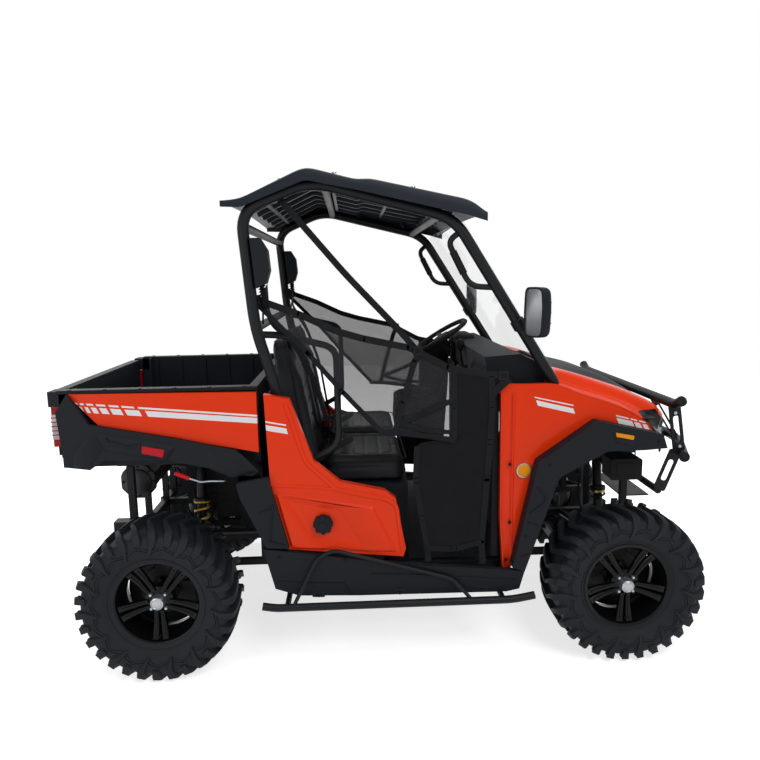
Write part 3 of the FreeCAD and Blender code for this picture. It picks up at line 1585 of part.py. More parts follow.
def guards():
    """Right-hand plates: two slotted ones between the hoops and one from the lower hoop to the foot bar."""
    low = s.low_bar_z - s.bar_radius / 2
    wide = s.guard_width / 2
    shapes = []
    shapes.append(slotted_plate([(s.top_bar_x, s.top_bar_z), (s.low_bar_end_x + wide / 2, low)], s.guard_y, wide))
    ahead = s.bar_radius / 2
    shapes.append(slotted_plate([(s.top_bar_x + ahead, s.top_bar_z), (nose_tip - s.bar_radius - ahead, low)],
                                s.inner_guard_y, wide / 2))
    foot_x = s.frame_end + s.foot_bar_radius
    shapes.append(slotted_plate([(s.low_bar_end_x + wide, s.low_bar_z), (foot_x, s.foot_bar_z)], s.foot_plate_y, wide))
    return shapes


def slotted_plate(ends, y, wide):
    """A plate seen from the side along a line, with a long hole between its ends."""
    (top_x, top_z), (low_x, low_z) = ends
    outline = [(top_x - wide, top_z), (top_x + wide, top_z), (low_x + wide, low_z), (low_x - wide, low_z)]
    slot = wide * float(s.guard_slot) / float(s.guard_width)
    hole = []
    for share, aside in ((0.25, -1), (0.25, 1), (0.75, 1), (0.75, -1)):
        hole.append((top_x + (low_x - top_x) * share + slot * aside, top_z + (low_z - top_z) * share))
    thick = vector(0, s.guard_thickness, 0)
    plate, gap = [flat_face([vector(a, -y, b) for a, b in line]).extrude(thick) for line in (outline, hole)]
    return plate.cut(gap)


# Cab

DASH_SHARES = [(0.0, 0.97), (0.59, 1.0), (0.89, 0.87), (1.0, 0.71), (1.0, 0.17), (0.47, 0.0), (0.08, 0.40)]


def dashboard():
    """The moulded dashboard, hung on the cage's cross tube, with the column housing that comes out of it."""
    points = spread(s.dash_x, s.dash_length, s.dash_z, s.dash_height, DASH_SHARES)
    block = flat_face([vector(a, -dash_half, b) for a, b in points]).extrude(vector(0, dash_half * 2, 0))
    node("dashboard", feature("dashboard", joined([block, steering_column()])))


def floor_tub():
    """The moulded floor with its toe board."""
    wall = s.tub_wall
    low = s.floor_z + s.seat_gap
    body = new_body("floor_tub")
    profile = sketch_on(body, "floor_profile", "XZ_Plane", s.tub_half)
    draw(profile, [(s.seat_rear_x, low), (s.toe_x, low), (s.toe_top_x, s.toe_top_z),
                   (s.toe_top_x - wall, s.toe_top_z), (s.toe_x - wall, low + wall), (s.seat_rear_x, low + wall)])
    add_pad(body, "floor_pad", profile, s.tub_half * 2, reverse=True)
    node("floor_tub", body)


def seats():
    """Seat box, two cushions and two backs."""
    wall = s.base_wall
    base_low = s.floor_z + s.tub_wall + s.seat_gap * 2
    shell = box("base_block", (s.seat_rear_x, -seat_half, base_low), (s.seat_front_x - wall, seat_half, s.seat_z))
    hollow = box("base_hollow", (s.seat_rear_x - s.overrun, -seat_half + wall, base_low - s.overrun),
                 (s.seat_front_x - wall * 2, seat_half - wall, s.seat_z - wall))
    node("seat_base", cut("seat_base", shell, hollow))
    low = s.seat_z + s.seat_gap
    cushion = box("cushion", (s.seat_rear_x + s.back_gap, -seat_half, low),
                  (s.seat_front_x, -s.seat_split, low + s.seat_depth))
    pair("seat_cushions", cushion)
    body = new_body("seat_back")
    profile = sketch_on(body, "back_profile", "XZ_Plane", seat_half)
    foot = s.seat_rear_x
    lean = s.back_lean
    draw(profile, [(foot, low), (foot - lean, s.back_top_z), (foot - lean - s.back_thickness, s.back_top_z),
                   (foot - s.back_thickness, low)])
    add_pad(body, "back_pad", profile, seat_half - s.seat_split, reverse=True)
    pair("seat_backs", body)


def rear_panel():
    """The wall between the cab and the bed."""
    node("cab_rear_panel", box("cab_rear_panel",
                               (s.rear_panel_x - s.rear_panel_wall, -s.tub_half, s.floor_z + s.seat_gap),
                               (s.rear_panel_x, s.tub_half, s.rear_panel_top)))


# Side panels

QUARTER_SHARES = [(0.0, 1.0), (0.18, 0.97), (0.34, 0.60), (0.53, 0.47), (0.85, 0.41), (0.93, 0.36),
                  (1.0, 0.05), (0.98, 0.0), (0.13, 0.07), (0.02, 0.49)]
ARCH_SHARES = [(0.0, 0.93), (0.63, 1.0), (1.0, 0.0), (0.54, 0.02), (0.05, 0.74)]
ROCKER_SHARES = [(0.0, 1.0), (0.54, 0.61), (0.94, 0.43), (1.0, 0.39), (0.98, 0.05), (0.93, 0.0), (0.36, 0.03),
                 (0.13, 0.07), (0.04, 0.22)]
NET_SHARES = [(-0.056, 0.99), (0.14, 0.92), (0.28, 0.86), (0.39, 0.83), (0.59, 0.79), (0.76, 0.71), (1.0, 0.68),
              (0.94, 0.61), (0.90, 0.05), (0.88, 0.02), (0.68, 0.0), (0.65, 0.0), (0.60, 0.38), (0.46, 0.48)]
BED_SIDE_SHARES = [(0.0, 1.0), (1.0, 0.97), (1.0, 0.0), (0.15, 0.51)]
BED_TRIM_SHARES = [(0.16, 0.65), (0.58, 0.47), (0.89, 0.31), (1.0, 0.05), (0.97, 0.0), (0.54, 0.22), (0.36, 0.23),
                   (0.22, 0.24), (0.15, 0.13), (0.02, 0.17), (0.02, 0.27), (0.0, 0.80), (0.06, 1.0)]


def side_panels():
    quarter = spread(s.quarter_x, s.quarter_length, s.quarter_z, s.quarter_height, QUARTER_SHARES)
    depth = quarter_y - b_base_y - s.cage_radius * GROWN_SHARE - s.seat_gap
    pair("quarter_panels", tray("quarter", quarter, quarter_y, depth, s.panel_wall))
    arch = spread(s.arch_x, s.arch_length, s.arch_z, s.arch_height, ARCH_SHARES)
    pair("arch_trims", side_plate("arch_trim", arch, arch_y, arch_y - quarter_y - s.seat_gap))
    rocker = spread(s.rocker_x, s.rocker_length, s.rocker_z, s.rocker_height, ROCKER_SHARES)
    pair("rocker_panels", tray("rocker", rocker, rocker_y, rocker_y - quarter_y - s.seat_gap, s.panel_wall))


def fuel_cap():
    """The filler cap on the right quarter panel, with a stepped grip."""
    far = -s.cap_height
    cap = turned([(0, 0), (s.cap_radius, 0), (s.cap_radius, far * 0.6), (s.cap_radius * 0.8, far), (0, far)], LUGS)
    cap.translate(vector(s.cap_x, -quarter_y - s.seat_gap, s.cap_z))
    node("fuel_cap", feature("fuel_cap", cap))


def side_steps():
    """Side step tubes with a thin hoop over each and two arms to the side rails."""
    y = -step_y
    z = s.step_z
    bar = tube_shape([
        (s.step_rear_x, y, z + s.step_radius * 0.6), (s.step_rear_x + s.cage_bend * 0.6, y, z),
        (s.step_front_x - s.cage_bend, y, z), (s.step_front_x, y, z + s.step_radius),
    ], s.step_radius, s.cage_bend)
    shapes = [bar]
    rail_low = s.floor_z - s.side_rail_section
    for x in (-s.step_arm_x, s.step_arm_x):
        shapes.append(tube_shape([(x, y, z), (x, -side_rail_y, z), (x, -side_rail_y, rail_low - s.seat_gap)],
                                 s.step_arm_radius, s.step_arm_radius * 1.6, ROD_SIDES))
    hoop_y = -rocker_y - s.hoop_radius * 1.5
    hoop = [(s.step_rear_x + (s.step_front_x - s.step_rear_x) * share, hoop_y, z + s.rocker_height * up) for share, up in HOOP_SHARES]
    hoop = [(hoop[0][0], y, z)] + hoop[1:-1] + [(hoop[-1][0], y, z)]
    shapes.append(tube_shape(hoop, s.hoop_radius, s.hoop_radius * 4, ROD_SIDES))
    pair("side_steps", feature("side_step", joined(shapes)))


HOOP_SHARES = [(0.11, 0.0), (0.20, 0.86), (0.26, 1.02), (0.70, 0.38), (0.77, 0.0)]


def side_nets():
    """The flat nets that close the doorways, each hung from the rear pillar's face."""
    points = spread(s.net_x, s.net_length, s.net_z, s.net_height, NET_SHARES)
    pair("side_nets", side_plate("side_net", points, net_y, s.net_thickness))


# Bed


def bed_tub():
    """The open cargo tub with a flat rail round its top."""
    wall = s.bed_wall
    half = s.bed_half
    low, high = s.bed_floor_z, s.bed_rail_z
    front, rear = s.bed_front_x, s.bed_rear_x
    outer = box("tub_block", (rear, -half + s.bed_rail_width - wall, low), (front, half - s.bed_rail_width + wall, high))
    rail = box("tub_rail", (rear, -half, high - s.bed_rail_drop), (front, half, high))
    hollow = box("tub_hollow", (rear - s.overrun, -half + s.bed_rail_width, low + wall),
                 (front - wall * 2, half - s.bed_rail_width, high + s.overrun))
    tower = s.hinge_tower_y
    pin = s.hinge_pin_radius
    ears = []
    for side, name in ((-1, "right"), (1, "left")):
        for index, offset in enumerate((-s.hinge_lug_thickness * 1.5 - s.seat_gap * 2,
                                        s.hinge_lug_thickness / 2 + s.seat_gap * 2)):
            start = tower * side + offset
            ears.append(box(f"ear_{name}_{index}", (s.hinge_x - pin * 1.8, start, s.hinge_z - pin * 1.4),
                            (s.hinge_x + pin * 1.8, start + s.hinge_lug_thickness, low + wall / 2)))
        ears.append(cylinder(f"pin_{name}", (s.hinge_x, tower * side - s.hinge_lug_thickness, s.hinge_z), pin,
                          s.hinge_lug_thickness * 2, "Y"))
    ribs = []
    inner_y = half - s.bed_rail_width
    for index in range(BED_RIBS):
        x = rear + (front - rear) * (index + 0.5) / BED_RIBS
        ribs += twin_boxes(f"bed_rib_{index}", (x - s.bed_rib_width / 2, -inner_y, low + wall),
                           (x + s.bed_rib_width / 2, -inner_y + s.bed_rib_depth, high - s.bed_rail_drop))
    for side in (-1, 1):
        y = s.gate_lug_y * side
        thick = s.hinge_lug_thickness / 2
        reach = s.gate_pin_radius
        ears.append(box(f"gate_lug_{side + 1}", (s.gate_hinge_x - reach, y - thick, s.gate_hinge_z - reach),
                        (rear + reach, y + thick, s.gate_hinge_z + reach)))
        ears.append(box(f"gate_foot_{side + 1}", (rear, y - thick, low + wall / 2),
                        (rear + reach * 2, y + thick, s.gate_hinge_z + reach)))
        ears.append(cylinder(f"gate_pin_{side + 1}", (s.gate_hinge_x, y - thick * 3, s.gate_hinge_z), reach,
                             thick * 6, "Y"))
    whole = fuse("tub_whole", [cut("tub_shell", fuse("tub_solid", [outer, rail]), hollow)] + ears + ribs)
    node("bed_tub", whole)


def bed_panels():
    side = spread(s.bed_side_x, s.bed_side_length, s.bed_side_z, s.bed_side_height, BED_SIDE_SHARES)
    inner = s.bed_half + s.seat_gap
    pair("bed_sides", side_plate("bed_side", side, s.bed_side_y, s.bed_side_y - inner))
    trim = spread(s.bed_trim_x, s.bed_trim_length, s.bed_trim_z, s.bed_trim_height, BED_TRIM_SHARES)
    pair("bed_trims", side_plate("bed_trim", trim, s.bed_trim_y, s.bed_trim_y - s.bed_side_y - s.seat_gap))


def tail_lamps():
    outer = s.gate_half + s.tail_lamp_width + s.seat_gap * 3
    lamp = box("tail_lamp", (s.bed_rear_x - s.tail_lamp_depth, -outer, s.tail_lamp_low),
               (s.bed_rear_x - s.seat_gap, -outer + s.tail_lamp_width, s.tail_lamp_high))
    pair("tail_lamps", lamp)


def tailgate():
    """The drop gate: a plate with ribs, its chamfered foot bored and notched for the bed's hinge pins."""
    rear = tail_tip
    front = s.bed_rear_x - s.gate_gap
    cham = s.gate_chamfer
    body = new_body("gate_body")
    profile = sketch_on(body, "gate_profile", "XZ_Plane", s.gate_half)
    skin_x = rear + s.gate_rib
    draw(profile, [(skin_x, s.gate_low), (front - cham, s.gate_low), (front, s.gate_low + cham), (front, s.gate_high),
                   (skin_x, s.gate_high)])
    add_pad(body, "gate_pad", profile, s.gate_half * 2, reverse=True)
    ribs = [box("gate_frame_low", (rear, -s.gate_half, s.gate_low + cham), (skin_x, s.gate_half, s.gate_low + cham * 4)),
            box("gate_frame_high", (rear, -s.gate_half, s.gate_high - cham * 3), (skin_x, s.gate_half, s.gate_high))]
    for index in range(GATE_RIBS):
        y = s.gate_half * (2 * index / (GATE_RIBS - 1) - 1) * 0.96
        ribs.append(box(f"gate_rib_{index}", (rear, y - cham, s.gate_low + cham), (skin_x, y + cham, s.gate_high)))
    cuts = []
    for side in (-1, 1):
        y = s.gate_lug_y * side
        thick = s.hinge_lug_thickness / 2
        clear = s.gate_pin_radius * 2
        cuts.append(box(f"gate_notch_{side + 1}", (rear, y - thick - s.seat_gap * 2, s.gate_low),
                        (front, y + thick + s.seat_gap * 2, s.gate_hinge_z + clear)))
        cuts.append(cylinder(f"gate_bore_{side + 1}", (s.gate_hinge_x, y - thick * 4, s.gate_hinge_z),
                             s.gate_pin_radius + s.running_gap, thick * 8, "Y"))
    node("tailgate", cut("tailgate", fuse("gate_whole", [body] + ribs), fuse("gate_cuts", cuts)))


# Small pieces


def mirrors():
    """Rear-view mirrors, each on a clamp round the front pillar that leaves the clear sheet free."""
    share = (float(s.clamp_z) - float(neck_z)) / (float(s.a_top_z) - float(neck_z))
    centre = vector(*on_line(a_neck, a_top, share))
    run = (vector(*a_top) - vector(*a_neck)).normalize()
    rise = run.cross(Vector(0, 0, 1)).cross(run).normalize()
    half = run * float(s.clamp_length / 2)
    far = run * float(s.clamp_length * 2)
    ring = bar_shape(centre - half, centre + half, s.clamp_radius)
    ring = ring.cut(bar_shape(centre - far, centre + far, s.cage_radius + s.seat_gap))
    ahead = centre + rise * float(s.clamp_radius * 1.5)
    ring = ring.cut(bar_shape(ahead - far, ahead + far, s.clamp_radius * 0.9, 4))
    arm = bar_shape(centre - vector(0, s.cage_radius * 1.25, 0), (s.mirror_x, -mirror_y - s.mirror_width * 0.3, s.mirror_z),
                    s.handle_radius, ROD_SIDES)
    arm = arm.cut(bar_shape(centre - far * 3, centre + far * 3, s.cage_radius + s.seat_gap))
    pair("mirrors", feature("mirror", joined([ring, arm, mirror_head()])))


HEAD_SHARES = [(0.0, 0.10), (0.12, 0.0), (0.88, 0.06), (1.0, 0.20), (0.96, 0.86), (0.80, 1.0), (0.10, 0.96), (0.0, 0.80)]


def mirror_head():
    """The mirror's housing: an eight-cornered face whose back draws in."""
    rings = []
    for back, shrink in ((-0.5, 0.0), (0.05, 0.0), (0.5, 0.16)):
        ring = []
        for aside, up in HEAD_SHARES:
            out = 0.5 + (aside - 0.5) * (1 - shrink)
            high = 0.5 + (up - 0.5) * (1 - shrink)
            ring.append(vector(s.mirror_x + s.mirror_depth * back, -mirror_y - s.mirror_width * out,
                               s.mirror_z + s.mirror_height * (high - 0.5)))
        rings.append(ring)
    return skin(rings)


def belt_reels():
    """Belt reels on the front faces of the rear pillars."""
    share = (float(s.reel_z) - float(s.b_mid_z)) / (float(s.b_top_z) - float(s.b_mid_z))
    x = on_line(b_mid, b_top, share)[0] + s.cage_radius * 1.06 + s.seat_gap
    run = (s.b_top_x - s.b_mid_x) / (float(s.b_top_z) - float(s.b_mid_z))
    reel = skin(reel_rings(x, run))
    pair("belt_reels", feature("belt_reel", reel))


def reel_rings(x, slope):
    """The reel's two end outlines, sheared to stand along the pillar."""
    rings = []
    half = s.reel_height / 2
    for y in (-b_top_y - s.reel_width / 2, -b_top_y + s.reel_width / 2):
        ring = []
        for out, up in ((0.0, -1.0), (0.7, -0.8), (1.0, -0.3), (1.0, 0.5), (0.6, 1.0), (0.0, 1.0)):
            ring.append(vector(x + s.reel_depth * out + slope * up * float(half), y, s.reel_z + half * up))
        rings.append(ring)
    return rings


def radiator():
    """The cooler between the front posts."""
    half = s.rail_y - s.rail_section / 2 - s.seat_gap
    node("radiator", box("radiator", (s.radiator_x - s.radiator_depth / 2, -half, s.radiator_low),
                         (s.radiator_x + s.radiator_depth / 2, half, s.radiator_high)))


def checked_export():
    """Stops on any failed object or bad shape, and then writes one file for each node."""
    document.recompute()
    for each in document.Objects:
        if "Invalid" in each.State or "Error" in each.State:
            raise RuntimeError(f"{each.Name} failed: {each.State}")
    os.makedirs("parts", exist_ok=True)
    for piece in nodes:
        shape = piece.Shape
        if shape.isNull() or not shape.isValid() or not shape.Solids:
            raise RuntimeError(f"{piece.Label} has no valid shape")
    for piece in nodes:
        piece.Shape.exportStep(f"parts/{piece.Label}.step")
        print(f"{piece.Label}: {len(piece.Shape.Solids)} solids")


wheels()
knuckles()
steering_rack()
hand_wheel()
suspension_arms()
shock_absorbers()
drive_line()
frame()
engine()
muffler()
roll_cage()
roof_panel()
windshield()
front_fenders()
front_flares()
hood_lid()
cowl_panel()
nose_panel()
head_lamps()
bull_bar()
dashboard()
floor_tub()
seats()
rear_panel()
side_panels()
fuel_cap()
side_steps()
side_nets()
bed_tub()
bed_panels()
tail_lamps()
tailgate()
mirrors()
belt_reels()
radiator()
checked_export()
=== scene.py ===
# %% [markdown]
# # A side by side utility vehicle, dressed for its picture
# The solids of the vehicle come ready made and fixed in one frame: X points to the nose, Y to the
# vehicle's left side and Z up, in metres. Everything below gives that frame its looks. Each new piece
# rides on the body that carries it, so a wheel that steers takes its tread with it.

# %% Load the vehicle
import json
import math
import bmesh
import bpy
import numpy as np
from mathutils import Matrix, Vector


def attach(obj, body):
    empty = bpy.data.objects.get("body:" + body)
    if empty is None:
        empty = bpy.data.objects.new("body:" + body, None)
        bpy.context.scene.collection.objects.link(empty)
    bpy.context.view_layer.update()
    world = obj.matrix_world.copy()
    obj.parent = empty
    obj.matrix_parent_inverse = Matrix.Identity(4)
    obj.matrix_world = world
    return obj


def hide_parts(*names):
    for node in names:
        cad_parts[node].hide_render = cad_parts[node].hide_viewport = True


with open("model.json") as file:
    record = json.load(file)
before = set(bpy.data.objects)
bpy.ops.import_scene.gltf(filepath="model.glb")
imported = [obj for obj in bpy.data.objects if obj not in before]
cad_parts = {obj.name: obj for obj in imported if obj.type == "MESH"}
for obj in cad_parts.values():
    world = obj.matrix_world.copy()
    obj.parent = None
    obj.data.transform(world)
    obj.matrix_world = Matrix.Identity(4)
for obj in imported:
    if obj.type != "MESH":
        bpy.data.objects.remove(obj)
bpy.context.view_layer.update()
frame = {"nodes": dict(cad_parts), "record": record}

nodes = frame["nodes"]
print("solids loaded:", len(nodes))

# %% [markdown]
# ## Where the photographer stood
# A product photograph like this is taken from chest height, a few steps from the door. The camera's
# place, its three small angles and its focal length were fitted to the wheels and the panels, and are set
# as a rotation matrix, because the roll of one degree would otherwise be lost.

# %% The camera
def camera_axes(yaw, pitch, roll):
    """Right, down and forward of the camera, from a heading off +Y, a dip and a roll, in radians."""
    forward = np.array([math.sin(yaw) * math.cos(pitch), math.cos(yaw) * math.cos(pitch), -math.sin(pitch)])
    right = np.array([math.cos(yaw), -math.sin(yaw), 0.0])
    down = np.cross(forward, right)
    turned = right * math.cos(roll) + down * math.sin(roll)
    lowered = -right * math.sin(roll) + down * math.cos(roll)
    return turned, lowered, forward


EYE = (-0.1566, -3.3115, 1.6355)
HEADING, DIP, ROLL = (math.radians(turn) for turn in (2.3667, 8.8466, 1.0238))
FOCAL_SHARE = 670.76 / 760  # focal length in widths of the picture
SENSOR = 36.0

right, down, forward = camera_axes(HEADING, DIP, ROLL)
lens = bpy.data.cameras.new("photographer")
lens.sensor_fit = "HORIZONTAL"
lens.sensor_width = SENSOR
lens.lens = SENSOR * FOCAL_SHARE
camera = bpy.data.objects.new("photographer", lens)
bpy.context.scene.collection.objects.link(camera)
columns = Matrix((right, -down, -forward)).transposed()
camera.matrix_world = Matrix.Translation(EYE) @ columns.to_4x4()
bpy.context.scene.camera = camera
bpy.context.scene.view_settings.view_transform = "Standard"
print("lens", round(lens.lens, 2), "mm")

# %% [markdown]
# ## Writing shaders as sums
# A finish is a small calculation: noise times a share, plus a height, mixed by a mask. Nodes hide such
# sums in wires. The class below wraps a node's socket, so that the sum can be written as it is thought,
# and every operator adds the Math node that does it.

# %% Sockets that can be added up
class Wire:
    """A value in a material: adding, scaling or comparing it makes the Math node that does so."""

    def __init__(self, net, socket):
        self.net = net
        self.socket = socket

    def _math(self, operation, first, second=None):
        values = {i: v for i, v in enumerate((first, second)) if v is not None}
        return self.net.add("ShaderNodeMath", {"operation": operation}, values)

    def __add__(self, other):
        return self._math("ADD", self, other)

    def __sub__(self, other):
        return self._math("SUBTRACT", self, other)

    def __mul__(self, other):
        return self._math("MULTIPLY", self, other)

    def __gt__(self, other):
        return self._math("GREATER_THAN", self, other)

    def __lt__(self, other):
        return self._math("LESS_THAN", self, other)

    def size(self):
        return self._math("ABSOLUTE", self)

    def least(self, other):
        return self._math("MINIMUM", self, other)

    def most(self, other):
        return self._math("MAXIMUM", self, other)

    def sine(self):
        return self._math("SINE", self)


class Net:
    """The node tree of one material."""

    def __init__(self, name):
        self.material = bpy.data.materials.new(name)
        self.material.use_nodes = True
        self.tree = self.material.node_tree
        self.shader = self.tree.nodes["Principled BSDF"]

    def add(self, kind, settings=None, values=None, output=0):
        """Adds one node: its settings first, and then the values or links of its sockets."""
        made = self.tree.nodes.new(kind)
        for key, value in (settings or {}).items():
            setattr(made, key, value)
        for key, value in (values or {}).items():
            self.put(made.inputs[key], value)
        return Wire(self, made.outputs[output])

    def put(self, socket, value):
        if isinstance(value, Wire):
            self.tree.links.new(value.socket, socket)
        elif hasattr(value, "__len__") and socket.type == "RGBA" and len(value) == 3:
            socket.default_value = (*value, 1.0)
        else:
            socket.default_value = value

    def place(self):
        """The point on the object, in metres."""
        return self.add("ShaderNodeTexCoord", output=3)

    def parts(self, wire):
        split = self.add("ShaderNodeSeparateXYZ", values={0: wire})
        return [Wire(self, split.socket.node.outputs[axis]) for axis in range(3)]

    def noise(self, scale, detail=3.0, rough=0.5):
        return self.add("ShaderNodeTexNoise", values={"Vector": self.place(), "Scale": scale,
                                                      "Detail": detail, "Roughness": rough})

    def mix(self, share, first, second):
        """From one colour to another by a share."""
        return self.add("ShaderNodeMix", {"data_type": "RGBA"}, {0: share, 6: first, 7: second}, output=2)

    def finish(self, **sockets):
        """Sets the shader's sockets by name, underscores for spaces."""
        for key, value in sockets.items():
            self.put(self.shader.inputs[key.replace("_", " ")], value)
        return self.material

    def bump(self, height, strength, depth):
        """A relief that the shader's Normal takes."""
        made = self.add("ShaderNodeBump", values={"Height": height, "Strength": strength,
                                                  "Distance": depth})
        self.put(self.shader.inputs["Normal"], made)


def linear(red, green, blue):
    """A colour as a screen shows it, in the linear values that light adds up in."""
    return tuple(part / 12.92 if part <= 0.04045 else ((part + 0.055) / 1.055) ** 2.4
                 for part in (red / 255, green / 255, blue / 255))


ORANGE = linear(234, 56, 8)
print("orange in linear light", [round(part, 3) for part in ORANGE])

# %% [markdown]
# ## A studio without walls
# The picture has a white ground and no horizon. White comes from what the camera, a mirror or a pane
# would see, never from stronger light, so that the vehicle keeps its own colours. The floor takes a
# shadow and is otherwise lifted to the same white.

# %% The studio
SEEN = ("Is Camera Ray", "Is Glossy Ray", "Is Transmission Ray")
AROUND, AROUND_STRENGTH = (0.93, 0.95, 1.0, 1.0), 0.16
FLOOR_REACH, FLOOR_SIDES = 9.0, 64


def studio_world():
    world = bpy.data.worlds.new("studio")
    bpy.context.scene.world = world
    world.use_nodes = True
    tree = world.node_tree
    path = tree.nodes.new("ShaderNodeLightPath")
    seen = path.outputs[SEEN[0]]
    for name in SEEN[1:]:
        either = tree.nodes.new("ShaderNodeMath")
        either.operation = "MAXIMUM"
        tree.links.new(seen, either.inputs[0])
        tree.links.new(path.outputs[name], either.inputs[1])
        seen = either.outputs[0]
    around = tree.nodes["Background"]
    around.inputs["Color"].default_value = AROUND
    around.inputs["Strength"].default_value = AROUND_STRENGTH
    white = tree.nodes.new("ShaderNodeBackground")
    white.inputs["Color"].default_value = (1.0, 1.0, 1.0, 1.0)
    blend = tree.nodes.new("ShaderNodeMixShader")
    tree.links.new(seen, blend.inputs[0])
    tree.links.new(around.outputs[0], blend.inputs[1])
    tree.links.new(white.outputs[0], blend.inputs[2])
    tree.links.new(blend.outputs[0], tree.nodes["World Output"].inputs["Surface"])


def softbox(name, place, aim, across, strength):
    """A square lamp at a place, facing a point."""
    lamp = bpy.data.lights.new(name, "AREA")
    lamp.size = across
    lamp.energy = strength
    stand = bpy.data.objects.new(name, lamp)
    bpy.context.scene.collection.objects.link(stand)
    turn = (Vector(aim) - Vector(place)).to_track_quat("-Z", "Y")
    stand.matrix_world = Matrix.Translation(place) @ turn.to_matrix().to_4x4()


studio_world()
softbox("key_lamp", (1.8, -4.2, 4.6), (0, 0, 0.8), 2.4, 128)
softbox("top_lamp", (-0.6, 0.2, 5.6), (0, 0, 0.8), 3.4, 124)
softbox("left_lamp", (-3.0, 3.4, 3.6), (0, 0, 0.8), 3.0, 60)
softbox("low_lamp", (-3.2, -3.6, 1.6), (0, 0, 0.7), 2.2, 34)


def studio_floor():
    """A disc of pale floor that glows more with the distance, until it is the white of the ground."""
    turns = np.linspace(0, math.tau, FLOOR_SIDES, endpoint=False)
    rim = np.stack([FLOOR_REACH * np.cos(turns), FLOOR_REACH * np.sin(turns), np.zeros_like(turns)], axis=1)
    mesh = bpy.data.meshes.new("studio_floor")
    mesh.from_pydata(rim.tolist(), [], [list(range(FLOOR_SIDES))])
    floor = bpy.data.objects.new("studio_floor", mesh)
    bpy.context.scene.collection.objects.link(floor)
    net = Net("floor_white")
    x, y, _ = net.parts(net.place())
    away = ((x * x + y * y) * 0.22 - 0.35).most(0.0).least(1.0)
    net.finish(Base_Color=(0.86, 0.86, 0.86), Roughness=0.9, Specular_IOR_Level=0.0)
    seen = net.add("ShaderNodeLightPath", {}, {}, SEEN[0])
    for name in SEEN[1:]:
        seen = seen.most(net.add("ShaderNodeLightPath", {}, {}, name))
    net.finish(Emission_Color=net.mix(away, (0.72, 0.72, 0.72), (1.0, 1.0, 1.0)), Emission_Strength=seen)
    mesh.materials.append(net.material)


studio_floor()

# %% [markdown]
# ## Shapes from formulas
# Every shape below is a table of places worked out at once with numpy. A tube is a ring carried along a
# path. A turned piece is a profile carried round an axle. A slab is an outline whose rim is rolled over.
# Each returns its places and its faces, so that many of them can be gathered in one object.

# %% Making places and faces
def grid_faces(rows, columns, wrap_rows=False, wrap_columns=False):
    """Four-cornered faces over a table of rows and columns, wrapping round where asked."""
    row, column = np.meshgrid(np.arange(rows - (not wrap_rows)), np.arange(columns - (not wrap_columns)),
                              indexing="ij")
    below, beside = (row + 1) % rows, (column + 1) % columns
    corners = [(row, column), (row, beside), (below, beside), (below, column)]
    return np.stack([(one * columns + two).ravel() for one, two in corners], axis=1).tolist()


def end_caps(count, total):
    """The first and the last ring of a tube as faces."""
    return [list(range(count))[::-1], list(range(total - count, total))]


def gathered(shapes):
    """Several sets of places and faces as one."""
    places, faces, start = [], [], 0
    for spots, own in shapes:
        places.append(np.asarray(spots, float).reshape(-1, 3))
        faces += [[corner + start for corner in face] for face in own]
        start += len(places[-1])
    return np.concatenate(places), faces


def flipped(shape):
    """The mirror image across the centre plane."""
    places, faces = shape
    return places * (1, -1, 1), [face[::-1] for face in faces]


def both(shapes):
    """Shapes and their mirror images."""
    return list(shapes) + [flipped(gathered([shape])) for shape in shapes]


def rounded(points, radius, steps=7, closed=False):
    """A line whose corners are arcs: each is a quadratic curve between two places beside the corner."""
    points = np.asarray(points, float)
    before = np.roll(points, 1, axis=0)
    after = np.roll(points, -1, axis=0)
    near = before - points
    far = after - points
    near_run = np.linalg.norm(near, axis=1, keepdims=True)
    far_run = np.linalg.norm(far, axis=1, keepdims=True)
    reach = np.minimum(radius, 0.45 * np.minimum(near_run, far_run))
    start = points + near / np.maximum(near_run, 1e-9) * reach
    end = points + far / np.maximum(far_run, 1e-9) * reach
    t = np.linspace(0, 1, steps)[None, :, None]
    arcs = (1 - t) ** 2 * start[:, None] + 2 * t * (1 - t) * points[:, None] + t ** 2 * end[:, None]
    if closed:
        return arcs.reshape(-1, points.shape[1])
    return np.concatenate([points[:1], arcs[1:-1].reshape(-1, points.shape[1]), points[-1:]])


def along_path(path):
    """Unit directions along a line."""
    step = np.gradient(path, axis=0)
    return step / np.linalg.norm(step, axis=1, keepdims=True)


def tube(path, radius, sides=14, aside=(0, 1, 0)):
    """A ring of the radius carried along a path; the radius may change on the way."""
    path = np.asarray(path, float)
    ahead = along_path(path)
    first = np.cross(ahead, np.asarray(aside, float))
    first /= np.linalg.norm(first, axis=1, keepdims=True)
    second = np.cross(ahead, first)
    turn = np.linspace(0, math.tau, sides, endpoint=False)
    radius = np.broadcast_to(np.asarray(radius, float), (len(path),))[:, None, None]
    ring = first[:, None] * np.cos(turn)[None, :, None] + second[:, None] * np.sin(turn)[None, :, None]
    places = (path[:, None] + ring * radius).reshape(-1, 3)
    return places, grid_faces(len(path), sides, wrap_columns=True) + end_caps(sides, len(places))


def turned(profile, sides=48, centre=(0, 0, 0), axis="Y"):
    """A closed profile of radius and place along an axis, carried round it."""
    profile = np.asarray(profile, float)
    turn = np.linspace(0, math.tau, sides, endpoint=False)
    radius = profile[None, :, 0]
    along = np.broadcast_to(profile[None, :, 1], (sides, len(profile)))
    one, two = radius * np.cos(turn)[:, None], radius * np.sin(turn)[:, None]
    order = {"Y": (one, along, two), "X": (along, two, one), "Z": (two, one, along)}[axis]
    places = np.stack(order, axis=-1).reshape(-1, 3) + np.asarray(centre, float)
    return places, grid_faces(sides, len(profile), wrap_rows=True, wrap_columns=True)


